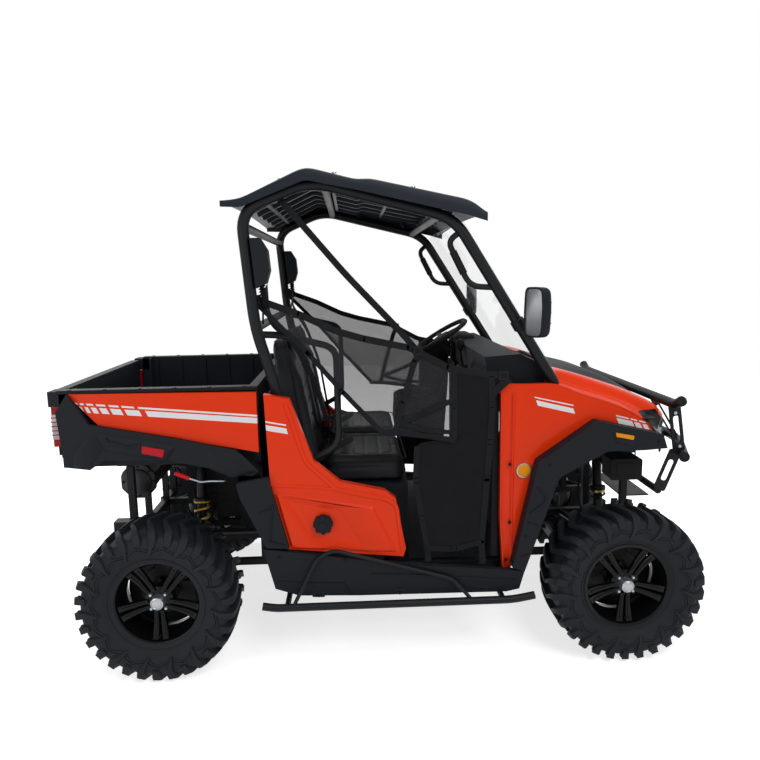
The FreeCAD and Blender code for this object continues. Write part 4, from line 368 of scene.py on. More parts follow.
def inset(outline, amount):
    """A closed outline moved inwards along its own bisectors."""
    run = np.roll(outline, -1, axis=0) - outline
    run /= np.maximum(np.linalg.norm(run, axis=1, keepdims=True), 1e-9)
    side = np.stack([-run[:, 1], run[:, 0]], axis=1)
    both_sides = side + np.roll(side, 1, axis=0)
    length = np.maximum((both_sides ** 2).sum(axis=1, keepdims=True), 0.5)
    x, y = outline.T
    area = 0.5 * np.sum(x * np.roll(y, -1) - np.roll(x, -1) * y)
    return outline + both_sides * (2 / length) * amount * (1 if area > 0 else -1)


def slab(outline, start, end, roll=0.003, corner=0.008, plane="Y", steps=4):
    """An outline in a plane, given depth, with its far rim rolled over by a quarter circle."""
    outline = rounded(outline, corner, 5, closed=True)
    quarter = np.linspace(0, math.pi / 2, steps)
    sign = 1 if end > start else -1
    rings = [(outline, start)]
    for angle in quarter:
        rings.append((inset(outline, roll * (1 - math.cos(angle))),
                      end - sign * roll * (1 - math.sin(angle))))
    order = {"Y": [0, 2, 1], "X": [2, 0, 1], "Z": [0, 1, 2]}[plane]
    count = len(outline)
    places = [np.column_stack([ring, np.full(count, at)])[:, order] for ring, at in rings]
    faces = grid_faces(len(rings), count, wrap_columns=True) + end_caps(count, count * len(rings))
    return np.concatenate(places), faces


def block(low, high, roll=0.004, corner=0.006, plane="Z"):
    """A box with rounded edges, between two corners."""
    low, high = np.minimum(low, high), np.maximum(low, high)
    a, b, c = {"X": (1, 2, 0), "Y": (0, 2, 1), "Z": (0, 1, 2)}[plane]
    outline = [(low[a], low[b]), (high[a], low[b]), (high[a], high[b]), (low[a], high[b])]
    return slab(outline, low[c], high[c], roll, corner, plane)


def oblong(x, z, wide, high):
    """The four corners of a rectangle round a middle, from half its width and height."""
    return [(x - wide, z - high), (x + wide, z - high), (x + wide, z + high), (x - wide, z + high)]


def framed(outer, inner, start, end, count, corner, hole):
    """A plate with one hole: both outlines are read at the same shares of their length."""
    rings = []
    for outline, soft in ((outer, corner), (inner, hole)):
        line = rounded(outline, soft, 6, closed=True)
        line = np.concatenate([line, line[:1]])
        run = np.concatenate([[0], np.cumsum(np.linalg.norm(np.diff(line, axis=0), axis=1))])
        at = np.linspace(0, run[-1], count, endpoint=False)
        rings.append(np.stack([np.interp(at, run, line[:, k]) for k in range(2)], axis=1))
    order = [(rings[0], start), (rings[0], end), (rings[1], end), (rings[1], start)]
    places = np.concatenate([np.stack([ring[:, 0], np.full(count, y), ring[:, 1]], axis=1)
                             for ring, y in order])
    return places, grid_faces(4, count, wrap_rows=True, wrap_columns=True)


def curve_through(grid, steps, axis=0):
    """A smooth curve through every place of a table along one axis, by the Catmull-Rom formula."""
    grid = np.moveaxis(np.asarray(grid, float), axis, 0)
    padded = np.concatenate([2 * grid[:1] - grid[1:2], grid, 2 * grid[-1:] - grid[-2:-1]])
    t = np.linspace(0, 1, steps, endpoint=False).reshape((steps,) + (1,) * (grid.ndim - 1))
    spans = []
    for index in range(len(grid) - 1):
        a, b, c, d = padded[index:index + 4]
        spans.append(0.5 * (2 * b + (c - a) * t + (2 * a - 5 * b + 4 * c - d) * t ** 2
                            + (3 * b - a - 3 * c + d) * t ** 3))
    return np.moveaxis(np.concatenate(spans + [grid[-1:]]), 0, axis)


def build(name, shapes, finish, body="chassis", hides=(), soft=38.0):
    """One object from shapes: edges that fold by more than the angle stay crisp, and it rides its body.

    The finish is a material, or the name of one of the shared finishes.
    """
    finish = finishes[finish] if isinstance(finish, str) else finish
    places, faces = gathered(shapes)
    mesh = bpy.data.meshes.new(name)
    mesh.from_pydata(places.tolist(), [], faces)
    work = bmesh.new()
    work.from_mesh(mesh)
    bmesh.ops.remove_doubles(work, verts=work.verts, dist=0.00002)
    bmesh.ops.recalc_face_normals(work, faces=work.faces)
    work.to_mesh(mesh)
    work.free()
    mesh.polygons.foreach_set("use_smooth", [True] * len(mesh.polygons))
    mesh.set_sharp_from_angle(angle=math.radians(soft))
    mesh.materials.append(finish)
    thing = bpy.data.objects.new(name, mesh)
    bpy.context.scene.collection.objects.link(thing)
    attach(thing, body)
    if hides:
        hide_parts(*hides)
    made_pieces[name] = len(mesh.polygons)
    return thing


made_pieces = {}
print("makers: tube, turned, slab, block, framed")

# %% [markdown]
# ## Paint, plastic, tube and rubber
# Most of what the eye takes in is four finishes. The orange is a moulded and painted plastic with a clear
# gloss over it. The dark panels are bare plastic with a fine pebble grain. The tubes carry a satin powder
# coat with a slight orange peel. The rubber is matt, and dust makes it paler in patches. The white
# stripes are bands of the paint's own places: a height that sinks along the panel, cut off by slanted
# ends.

# %% Finishes
STRIPE_ROWS = [
    # low z, high z, fall along x, x where the heights count, slant of the ends; then each band's ends in x
    ((1.0495, 1.0725, 0.092, -0.545, 0.5), (-0.995, -0.540), (-1.077, -1.019), (-1.134, -1.092),
     (-1.176, -1.147), (-1.209, -1.188), (-1.234, -1.220), (-1.254, -1.245)),
    ((1.0775, 1.0850, 0.0955, -0.545, 0.5), (-1.023, -0.540), (-1.088, -1.039), (-1.139, -1.100),
     (-1.188, -1.152), (-1.226, -1.200), (-1.252, -1.237), (-1.269, -1.260)),
    ((1.0285, 1.0510, 0.20, -0.512, 0.2), (-0.513, -0.427)),
    ((1.0610, 1.0670, 0.20, -0.512, 0.2), (-0.513, -0.429)),
    ((1.0985, 1.1190, 0.245, 0.593, 0.4), (0.593, 0.748)),
    ((1.1275, 1.1325, 0.235, 0.593, 0.4), (0.586, 0.748)),
    ((1.0135, 1.0370, 0.26, 0.930, 0.5), (0.930, 0.997)),
    ((1.0135, 1.0370, 0.26, 0.930, 0.6), (1.004, 1.031), (1.040, 1.061)),
    ((1.0430, 1.0485, 0.26, 0.930, 0.5), (0.928, 0.982)),
    ((1.0430, 1.0485, 0.26, 0.930, 0.6), (0.989, 1.017), (1.026, 1.053)),
]
STRIPES = [ends + level for level, *spans in STRIPE_ROWS for ends in spans]


def gloss_paint(name, colour, bands=(), lamp_corner=False):
    """Clear-coated paint, with pale bands on upright panels and, on the fenders, a dark lamp corner."""
    net = Net(name)
    cloud = net.noise(3.0, 2.0)
    tone = net.mix(cloud, tuple(0.94 * part for part in colour),
                   tuple(min(1.0, 1.05 * part) for part in colour))
    if bands:
        x, y, z = net.parts(net.place())
        mask = None
        for start, end, low, high, fall, origin, slant in bands:
            level = z + (x - origin) * fall
            ends = x + (level - high) * slant
            band = (level > low) * (level < high) * (ends > start) * (ends < end)
            mask = band if mask is None else mask.most(band)
        tone = net.mix(mask * (y.size() > 0.595), tone, (0.86, 0.86, 0.87))
        if lamp_corner:
            corner = (x - 1.036 > (z * -1.0 + 1.062) * 0.60) * (y.size() > 0.537) * (z < 1.050)
            tone = net.mix(corner, tone, linear(22, 24, 28))
    net.finish(Base_Color=tone, Roughness=net.noise(9.0, 4.0) * 0.10 + 0.28, Coat_Weight=0.1,
               Coat_Roughness=0.1, Specular_IOR_Level=0.12)
    net.bump(net.noise(240.0, 1.0), 0.04, 0.001)
    return net.material


def grained_plastic(name, colour, rough=0.56, grain=520.0):
    """A pebble grain: small round cells, with patches that hands and boots have polished."""
    net = Net(name)
    wear = net.noise(5.0, 5.0, 0.6)
    tone = net.mix(wear, tuple(0.80 * part for part in colour), tuple(1.25 * part for part in colour))
    cells = net.add("ShaderNodeTexVoronoi", {"feature": "SMOOTH_F1"},
                    {"Vector": net.place(), "Scale": grain})
    net.finish(Base_Color=tone, Roughness=wear * 0.16 + (rough - 0.08), Specular_IOR_Level=0.13)
    net.bump(cells + net.noise(grain * 0.4, 2.0) * 0.5, 0.35, 0.0006)
    return net.material


def powder_coat(name, colour, rough=0.34, metal=0.0, shine=0.16):
    net = Net(name)
    net.finish(Base_Color=net.mix(net.noise(6.0, 3.0), tuple(0.85 * part for part in colour), colour),
               Roughness=net.noise(14.0, 4.0) * 0.12 + rough - 0.06, Specular_IOR_Level=shine,
               Metallic=metal)
    net.bump(net.noise(420.0, 1.0), 0.12, 0.0005)
    return net.material


def tread_rubber(name):
    net = Net(name)
    dust = net.noise(7.0, 6.0, 0.65)
    net.finish(Base_Color=net.mix(dust, (0.006, 0.007, 0.009), (0.022, 0.025, 0.030)),
               Roughness=dust * 0.2 + 0.52, Specular_IOR_Level=0.15)
    net.bump(net.noise(300.0, 3.0), 0.2, 0.0006)
    return net.material


def clear_sheet(name, tint, share):
    """A clear pane: mostly see-through, with a faint tint and a gloss."""
    net = Net(name)
    net.finish(Base_Color=tint, Roughness=0.05, Alpha=net.noise(2.0, 2.0) * 0.04 + share,
               Specular_IOR_Level=0.6)
    return net.material


def woven(name, colour, pitch=0.0022, open_share=0.0):
    """Threads in two directions; where open, the cells between them let light through."""
    net = Net(name)
    x, _, z = net.parts(net.place())
    threads = [(run * (math.tau / pitch)).sine() for run in (x + z, x - z)]
    tone = net.mix(net.noise(8.0, 4.0), tuple(0.8 * part for part in colour),
                   tuple(1.3 * part for part in colour))
    net.finish(Base_Color=tone, Roughness=net.noise(30.0, 2.0) * 0.1 + 0.75, Specular_IOR_Level=0.12)
    net.bump(threads[0] * threads[1], 0.3, 0.0005)
    if open_share:
        net.finish(Alpha=(threads[0].most(threads[1]) * 0.32 + open_share).most(0.05).least(1.0))
    return net.material


finishes = {
    "orange": gloss_paint("orange_paint", ORANGE, STRIPES, lamp_corner=True),
    "charcoal": grained_plastic("charcoal_plastic", linear(22, 25, 30)),
    "roof_black": grained_plastic("roof_plastic", linear(30, 36, 43), rough=0.42, grain=300.0),
    "frame_black": powder_coat("tube_black", linear(20, 22, 25), rough=0.44),
    "tyre": tread_rubber("tyre_rubber"),
    "rim": powder_coat("rim_black", linear(10, 11, 13), rough=0.24, shine=0.14),
    "cast": powder_coat("cast_iron", linear(48, 48, 50), rough=0.5),
    "alloy": powder_coat("alloy_grey", linear(165, 168, 172), rough=0.32, metal=0.8),
    "grip": grained_plastic("grip_rubber", linear(26, 26, 28), rough=0.7),
    "vinyl": grained_plastic("seat_vinyl", linear(36, 37, 40), rough=0.5, grain=260.0),
    "net": woven("net_black", linear(20, 20, 22)),
    "lamp": gloss_paint("lamp_red", linear(170, 18, 22)),
    "exhaust": powder_coat("exhaust_steel", linear(60, 60, 62), rough=0.45, metal=0.4),
    "shock": powder_coat("spring_gold", linear(196, 158, 78), rough=0.35, metal=0.5),
    "headlamp": gloss_paint("lamp_dark", linear(26, 29, 34)),
    "clear": clear_sheet("clear_pane", (0.75, 0.82, 0.85), 0.10),
}
amber = gloss_paint("amber_lens", linear(238, 150, 12))
red_lens = gloss_paint("red_lens", linear(190, 20, 30))
red_grip = gloss_paint("red_grip", linear(214, 26, 38))
mesh_cloth = woven("net_mesh", linear(52, 52, 54), pitch=0.0056, open_share=0.42)
web = woven("webbing", linear(26, 27, 29), pitch=0.003)
slots = {part["node"]: part["material_slot"] for part in frame["record"]["subparts"]}
for name, solid in nodes.items():
    solid.data.materials.clear()
    solid.data.materials.append(finishes[slots[name]])
print("finishes:", len(finishes))

# %% [markdown]
# ## Rounded edges on the ready solids
# A moulded panel never ends in a knife edge. The solids that already have the right shape keep it, and
# only their edges are rounded by a few millimetres, so that each catches a thin line of light.

# %% Edges that catch the light
ROUNDED = {"front_flares": 5, "quarter_panels": 4, "arch_trims": 4, "rocker_panels": 6, "bed_sides": 3,
           "bed_trims": 5, "bed_tub": 1.5, "tailgate": 3, "dashboard": 8, "floor_tub": 2, "seat_base": 6,
           "cab_rear_panel": 2, "main_frame": 1.5, "engine_block": 6, "radiator": 2, "mirrors": 3,
           "belt_reels": 3, "cowl_panel": 2, "muffler": 3, "drive_line": 2, "suspension_arms": 1,
           "knuckle_left": 1.5, "knuckle_right": 1.5, "rear_knuckles": 1.5, "tail_lamps": 4}
for name, width in ROUNDED.items():
    edge = nodes[name].modifiers.new("edge", "BEVEL")
    edge.width = width / 1000
    edge.segments = 2
    edge.limit_method = "ANGLE"
    edge.angle_limit = math.radians(32)
print("solids with rounded edges:", len(ROUNDED))

# %% [markdown]
# ## Wheels
# The tyre is a turned casing with two rows of bars. A bar runs from the middle of the tread over the
# shoulder and down the side wall. Its line is a short table: how far round it has swept, how far across
# it is and how high it stands. All bars come from that one table by turning it, every other one shorter
# than its neighbour.

# %% Tyres and rims
AXLE_X, TRACK_Y, TYRE_R = 0.975, 0.625, 0.330
CASING_SHARES = [(0.0, 0.70), (0.07, 0.72), (0.30, 0.84), (0.55, 0.985), (0.74, 1.0), (0.88, 0.965),
                 (0.96, 0.86), (1.0, 0.60), (1.012, 0.30), (1.015, 0.0)]
BAR_STEPS = np.array([
    # across as a share of the half width, ahead round the tread, half width and depth of the bar
    (0.03, 0.036, 0.0065, 0.030), (0.22, 0.026, 0.0085, 0.030), (0.45, 0.013, 0.0105, 0.030),
    (0.70, 0.0, 0.0120, 0.030), (0.90, -0.007, 0.0140, 0.030), (1.00, -0.010, 0.0155, 0.030),
    (1.045, -0.013, 0.0160, 0.028), (1.065, -0.012, 0.0140, 0.024), (1.06, -0.004, 0.0095, 0.020),
    (1.03, 0.004, 0.0070, 0.018), (0.98, 0.008, 0.0050, 0.016)])
BAR_SECTION = np.array([(-1.35, 0.0), (-1.0, 0.55), (-0.92, 1.0), (0.92, 1.0), (1.0, 0.55), (1.35, 0.0)])
SIDE_WALL = (0.313, 0.294, 0.272, 0.252, 0.236, 0.226)  # radii of a bar's last steps
TREAD_RADIUS = 0.31  # turns metres round the tread into an angle


def bars(half, count, side, offset, reach, top):
    """The bars of one row, each as many steps long as its reach; steps stand lower towards the side wall."""
    high = np.array([top, top, top - 0.0005, top - 0.003, top - 0.009, *SIDE_WALL])[None, :reach, None]
    across, ahead, wide, deep = BAR_STEPS[:reach].T[:, None, :, None]
    shoulder = np.clip((across - 0.86) / 0.14, 0, 1)
    turn = (np.arange(count) + offset) * math.tau / count
    up = deep * (BAR_SECTION[None, None, :, 1] - 1)
    radius = high + up * (1 - 0.75 * shoulder)
    y = side * (half * across) + side * up * 0.55 * shoulder
    angle = turn[:, None, None] + (ahead + wide * BAR_SECTION[None, None, :, 0]) / TREAD_RADIUS
    radius, angle, y = np.broadcast_arrays(radius, angle, y)
    spots = np.stack([radius * np.sin(angle), y, -radius * np.cos(angle)], axis=-1)
    own = grid_faces(reach, 6) + end_caps(6, reach * 6)
    faces = [[corner + index * reach * 6 for corner in face] for index in range(count) for face in own]
    return spots.reshape(-1, 3), faces


def chevrons(line, row, middle, swing, count, start, wide=0.0030, proud=0.0040):
    """A zigzag rib round the side wall: its radius swings by a folded sine, and it follows the casing."""
    turn = np.linspace(0, math.tau, 480, endpoint=False)
    fold = np.arcsin(np.sin(turn * count + start)) / (math.pi / 2)
    radius = middle + swing * fold[:, None] + wide * np.array([-1.5, -0.9, 0.9, 1.5, 0.0])[None, :]
    outside = line[:40]
    outside = outside[np.argsort(outside[:, 0])]
    face = np.interp(radius, outside[:, 0], outside[:, 1])
    y = row * (face + proud * np.array([-0.6, 1.0, 1.0, -0.6, -2.0])[None, :])
    spots = np.stack([radius * np.sin(turn)[:, None], y, -radius * np.cos(turn)[:, None]], axis=-1)
    return spots.reshape(-1, 3), grid_faces(480, 5, wrap_rows=True, wrap_columns=True)


def tyre(name, body, x, side, width):
    """A mud tyre: casing, four rows of bars, and zigzag ribs on the side walls."""
    half = width / 2
    bead, crown = 0.1735, 0.302
    line = np.array([(bead + (crown - bead) * up, half * wide) for up, wide in CASING_SHARES])
    line = curve_through(line, 5)
    ribs = 0.0
    for height, radius, wide in ((0.0025, 0.215, 0.004), (0.002, 0.243, 0.003)):
        ribs = ribs + height * np.exp(-((line[:, 0] - radius) / wide) ** 2)
    line[:, 1] += ribs
    outer = np.concatenate([line, line[::-1] * (1, -1)])
    profile = np.concatenate([outer, [(bead, -0.06), (0.26, -half * 0.8), (0.26, half * 0.8),
                                      (bead, 0.06)]])
    shapes = [turned(profile, 96)]
    for row in (-1, 1):
        shapes.append(bars(half * 1.005, 15, row, 0.25 + 0.25 * row, 11, TYRE_R))
        shapes.append(bars(half * 1.0, 15, row, 0.75 + 0.25 * row, 8, TYRE_R - 0.001))
        for middle in (0.250, 0.2405):
            shapes.append(chevrons(line, row, middle, 0.010, 15, 1.57 * row))
        shapes.append(chevrons(line, row, 0.196, 0.0, 15, 0.0, 0.002, 0.0025))
    dressed = on_axle(shapes, x, side, (1, side, 1))
    dressed[0][0][:, 2] = np.maximum(dressed[0][0][:, 2], 0.0)
    build(name, dressed, "tyre", body, [f"tyre_{body[6:]}"], soft=30)


def bar_section(path, wide, deep, aside):
    """A four-sided bar with small chamfers, carried along a path."""
    path = np.asarray(path, float)
    ahead = along_path(path)
    across = np.cross(ahead, aside)
    across /= np.linalg.norm(across, axis=1, keepdims=True)
    out = np.cross(across, ahead)
    ring = np.array([(-1, -0.6), (-0.75, -1), (0.75, -1), (1, -0.6), (1, 0.8), (0.8, 1), (-0.8, 1),
                     (-1, 0.8)])
    wide = np.broadcast_to(wide, (len(path),))[:, None, None]
    deep = np.broadcast_to(deep, (len(path),))[:, None, None]
    places = (path[:, None] + across[:, None] * ring[None, :, :1] * wide / 2
              + out[:, None] * ring[None, :, 1:] * deep / 2)
    return places.reshape(-1, 3), grid_faces(len(path), 8, wrap_columns=True) + end_caps(8, len(path) * 8)


def spun(shape, count, start=0.0):
    """Copies of a shape turned round the axle."""
    places, faces = shape
    turns = np.arange(count) * math.tau / count + start
    x, y, z = places.T
    cosine, sine = np.cos(turns)[:, None], np.sin(turns)[:, None]
    spots = np.stack([cosine * x - sine * z, np.broadcast_to(y, (count, len(x))), sine * x + cosine * z],
                     axis=-1)
    copies = [[corner + k * len(places) for corner in face] for k in range(count) for face in faces]
    return spots.reshape(-1, 3), copies


def on_axle(shapes, x, side, scale):
    """Shapes made round the origin, set at a wheel's middle."""
    places, faces = gathered(shapes)
    return [(places * scale + (x, side * TRACK_Y, TYRE_R), faces)]


def wheel(body, x, side):
    """Rim, spokes, hub, nuts, cap and rotor; the outer face looks to negative Y before it is turned."""
    edge = 0.0895
    barrel = [(0.1858, -edge), (0.1858, -edge + 0.004), (0.1735, -edge + 0.0075), (0.1722, -0.060),
              (0.160, -0.046), (0.157, 0.010), (0.1722, 0.060), (0.1735, edge - 0.0075),
              (0.1858, edge - 0.004), (0.1858, edge), (0.181, edge), (0.168, edge - 0.010),
              (0.167, 0.062), (0.152, 0.008), (0.1535, -0.050), (0.166, -0.070), (0.170, -edge + 0.006),
              (0.181, -edge)]
    dark = [turned(barrel, 72)]
    t = np.linspace(0, 1, 9)
    radial = 0.040 + (0.166 - 0.040) * t
    half_turn = math.pi * (side < 0)
    for lean in (-1, 1):
        path = np.stack([lean * (0.0125 + 0.0085 * t ** 1.5),
                         -0.056 + 0.004 * np.sin(t * math.pi) - 0.010 * t ** 3, radial], axis=1)
        spoke = bar_section(path, 0.019 + 0.010 * t, 0.020 - 0.003 * t, (0, 1, 0))
        rib = bar_section((path + (0.0, -0.0085, 0.0))[1:8], 0.006 + 0.003 * t[1:8], 0.007, (0, 1, 0))
        dark += [spun(spoke, 5, half_turn), spun(rib, 5, half_turn)]
    dark.append(turned([(0.0, -0.060), (0.046, -0.060), (0.058, -0.054), (0.062, -0.040), (0.058, -0.034),
                        (0.0, -0.034)], 40))
    dark.append(turned([(0.030, -0.036), (0.044, -0.036), (0.040, 0.046), (0.030, 0.046)], 32))
    nuts = spun(turned([(0.0, -0.075), (0.0055, -0.0745), (0.0085, -0.071), (0.0085, -0.060),
                        (0.0, -0.060)], 6, centre=(0.042, 0, 0)), 4, math.pi / 4)
    cap = [(0.0, -0.0960), (0.022, -0.0955), (0.0262, -0.0925), (0.0272, -0.084), (0.0295, -0.076),
           (0.0305, -0.059), (0.0, -0.059)]
    bright = [nuts, turned(cap, 40), turned([(0.017, -0.0945), (0.0195, -0.0968), (0.0225, -0.0945),
                                             (0.02, -0.092)], 40)]
    rotor = [turned([(0.060, 0.0462), (0.104, 0.0462), (0.104, 0.0518), (0.060, 0.0518)], 60),
             spun(block((0.028, 0.0462, -0.009), (0.066, 0.0505, 0.009), 0.001, 0.003, "Y"), 6)]
    valve = tube([(0.0, -0.060, -0.152), (0.0, -0.088, -0.146)], [0.0035, 0.0028], 10, aside=(1, 0, 0))
    for name, shapes, finish in (("rim", dark, "rim"), ("rim_bright", bright, "alloy"),
                                 ("brake_disc", rotor, "cast"), ("valve", [valve], "grip")):
        hides = [f"rim_{body[6:]}"] if name == "rim" else []
        build(f"{name}_{body[6:]}", on_axle(shapes, x, side, (1, -side, 1)), finish, body, hides)


for end, x, width in (("front", AXLE_X, 0.236), ("rear", -AXLE_X, 0.258)):
    for hand, side in (("right", -1), ("left", 1)):
        tyre(f"tyre_dressed_{end}_{hand}", f"wheel_{end}_{hand}", x, side, width)
        wheel(f"wheel_{end}_{hand}", x, side)
for end, x in (("front", AXLE_X), ("rear", -AXLE_X)):
    for hand, side in (("right", -1), ("left", 1)):
        # The dust shield is widened into a dark disc that reaches almost to the rim and closes the back of
        # the wheel: painted shade, a dark sheet where pale floor would otherwise show between the spokes.
        cover = [(0.036, 0.0620), (0.155, 0.0620), (0.1565, 0.0575), (0.158, 0.0575), (0.157, 0.0645),
                 (0.036, 0.0645)]
        shade_shield_shapes = [turned(cover, 64),
                       spun(block((0.060, 0.0600, -0.004), (0.135, 0.0622, 0.004), 0.0008, 0.002, "Y"), 8)]
        caliper = [block((0.076, 0.0300, -0.040), (0.128, 0.0452, 0.040), 0.005, 0.010, "Y"),
                   block((0.078, 0.0528, -0.038), (0.126, 0.0590, 0.038), 0.002, 0.010, "Y"),
                   block((0.108, 0.0440, -0.034), (0.124, 0.0540, 0.034), 0.001, 0.004, "Y")]
        for kind, shapes, finish in (("shade_shield", shade_shield_shapes, "frame_black"),
                                     ("caliper", caliper, "cast")):
            ahead = -1 if kind == "caliper" and end == "front" else 1
            body = f"knuckle_{hand}" if end == "front" else "chassis"
            build(f"{kind}_{end}_{hand}", on_axle(shapes, x, side, (ahead, -side, 1)), finish, body)
print("wheel faces:", sum(made_pieces.values()))

# %% [markdown]
# ## Cage and bars
# The cage is bent from one size of tube. Each line below is the tube's centre, corner by corner, and
# every corner is bent to the same radius. A weld is a short swelling where one tube meets another.

# %% Tubes
A_FOOT, A_BASE, A_TOP = (0.500, -0.585, 0.434), (0.693, -0.585, 1.165), (0.262, -0.600, 1.856)
PEAK, B_TOP, B_MID = (-0.305, -0.640, 1.999), (-0.566, -0.682, 1.888), (-0.530, -0.682, 1.440)
B_BASE, B_FOOT = (-0.464, -0.598, 1.178), (-0.420, -0.598, 0.434)
CAGE_R, BAR_R, BAR_Y = 0.0225, 0.021, 0.535


def lerp(a, b, share):
    return tuple(p + (q - p) * share for p, q in zip(a, b))


NECK = (lerp(A_BASE, A_TOP, 0.12)[0], -0.585, lerp(A_BASE, A_TOP, 0.12)[2])


def cross_tube(at, radius):
    """A tube from a right-hand place to its mirror image, with a weld bead at each end."""
    x, y, z = at
    line = np.array([(x, y, z), (x, y + 0.024, z), (x, y + 0.028, z), (x, y + 0.031, z),
                     (x, y + 0.036, z), (x, 0, z)])
    line = np.concatenate([line, line[-2::-1] * (1, -1, 1)])
    swell = np.array([0, 0, 0.0035, 0.0035, 0, 0, 0, 0.0035, 0.0035, 0, 0])
    return tube(line, radius + swell, 18, aside=(1, 0, 0))


def cage():
    hoop = rounded([A_FOOT, A_BASE, NECK, A_TOP, PEAK, B_TOP, B_MID, B_BASE, B_FOOT], 0.085, 9)
    side = [tube(hoop, CAGE_R, 20)]
    grab = rounded([lerp(A_BASE, A_TOP, 0.93), (0.2395, -0.5775, 1.766), (0.3295, -0.5775, 1.586),
                    lerp(A_BASE, A_TOP, 0.60)], 0.045, 8)
    side.append(tube(grab, 0.012, 14))
    hip = rounded([(-0.530, -0.682, 1.4175), (-0.440, -0.600, 1.406), (-0.220, -0.600, 1.350),
                   (-0.220, -0.600, 0.947), (-0.444, -0.598, 0.825)], 0.055, 8)
    side.append(tube(hip, 0.014, 14))
    for at in (A_FOOT, B_FOOT):
        side.append(block((at[0] - CAGE_R, at[1] - CAGE_R, 0.4105),
                          (at[0] + CAGE_R, at[1] + CAGE_R, 0.416), 0.001))
    shapes = both(side)
    for at in (lerp(A_TOP, PEAK, 0.10), lerp(PEAK, A_TOP, 0.10), lerp(B_TOP, B_MID, 0.13), B_MID,
               lerp(A_BASE, A_FOOT, 0.0997)):
        shapes.append(cross_tube(at, 0.018))
    build("cage", shapes, "frame_black", hides=["roll_cage"])
    grips = [tube(rounded([lerp(grab[8], grab[9], s) for s in (0.1, 0.9)], 0.01), 0.0155, 14)]
    build("grab_grips", both(grips), "grip")


def guard(top, low, y, wide, slot_wide):
    """A flat plate between two bars with one long hole."""
    a, b = np.array(top), np.array(low)
    run = (b - a) / np.linalg.norm(b - a)
    side = np.array([run[1], -run[0]])
    outer = [a - side * wide, b - side * wide, b + side * wide, a + side * wide]
    length = np.linalg.norm(b - a)
    near, far = a + run * length * 0.24, a + run * length * 0.76
    hole = [near - side * slot_wide, far - side * slot_wide, far + side * slot_wide,
            near + side * slot_wide]
    return framed(outer, hole, y - 0.004, y + 0.004, 72, 0.012, 0.014)


def front_bars():
    top = rounded([(1.222, -0.600, 1.092), (1.222, -0.545, 1.068), (1.222, 0.545, 1.068),
                   (1.222, 0.600, 1.092)], 0.04, 8)
    low = rounded([(1.246, -0.600, 0.850), (1.379, -0.270, 0.850), (1.379, 0.270, 0.850),
                   (1.246, 0.600, 0.850)], 0.10, 9)
    shapes = [tube(top, BAR_R, 20, aside=(1, 0, 0)), tube(low, BAR_R, 20, aside=(0, 0, 1)),
              tube([(1.1963, -0.480, 0.665), (1.1963, 0.480, 0.665)], 0.016, 16, aside=(0, 0, 1))]
    caps = []
    for line in (top, low):
        for end, after in ((0, 1), (-1, -2)):
            out = (line[end] - line[after]) / np.linalg.norm(line[end] - line[after])
            spots = [line[end] - out * 0.006, line[end] + out * 0.002, line[end] + out * 0.006]
            caps.append(tube(spots, [BAR_R + 0.0012, BAR_R + 0.0012, BAR_R * 0.72], 20,
                             aside=(0, 0, 1) if abs(out[2]) < 0.8 else (1, 0, 0)))
    plates, bolts = [], []
    for side in (-1, 1):
        plates.append(guard((1.222, 1.070), (1.256, 0.846), side * BAR_Y, 0.026, 0.013))
        plates.append(guard((1.268, 0.848), (1.198, 0.668), side * 0.48, 0.027, 0.014))
        plates.append(guard((1.232, 1.068), (1.368, 0.846), side * 0.285, 0.0135, 0.0065))
        plates.append(block((1.1803, side * 0.150, 0.835), (1.36, side * 0.180, 0.865), 0.003, 0.003, "X"))
        for x, z in ((1.226, 1.030), (1.252, 0.882)):
            bolts.append(turned([(0, -0.0045), (0.0075, -0.0045), (0.0085, -0.001), (0.0085, 0.001),
                                 (0, 0.001)], 6, (x, side * 0.541, z)))
    build("front_bars", shapes + plates, "frame_black", hides=["bull_bar"], soft=30)
    build("bar_caps", caps, "grip")
    build("bar_bolts", bolts, "alloy")


def side_steps():
    y = -0.733
    line = rounded([(-0.545, y, 0.3116), (-0.490, y, 0.302), (0.485, y, 0.302), (0.575, y, 0.318)], 0.05, 7)
    shapes = [tube(line, 0.016, 16)]
    hoop = rounded([(-0.4218, y, 0.302), (-0.321, -0.698, 0.4929), (-0.2538, -0.698, 0.5284),
                    (0.239, -0.698, 0.3864), (0.3174, y, 0.302)], 0.032, 7)
    shapes.append(tube(hoop, 0.008, 12))
    for x in (-0.445, 0.445):
        shapes.append(tube(rounded([(x, y, 0.302), (x, -0.565, 0.302), (x, -0.565, 0.3697)], 0.025, 6),
                           0.012, 12, aside=(1, 0, 0)))
    build("step_bars", both(shapes), "frame_black", hides=["side_steps"])


cage()
front_bars()
side_steps()

# %% [markdown]
# ## Roof, fenders, hood and nose
# The front end is a sheet folded along a crest. A few measured sections across it are joined by smooth
# curves, first along the vehicle and then across it, and the sheet is given its thickness.

# %% Body sheets
ROOF_LINE = np.array([(-0.635, 1.928, 1.900), (-0.564, 1.936, 1.897), (-0.329, 2.048, 1.992),
                      (-0.306, 2.050, 1.994), (-0.114, 2.002, 1.957), (-0.087, 2.012, 1.951),
                      (0.314, 1.929, 1.860), (0.353, 1.906, 1.848), (0.384, 1.871, 1.839)])


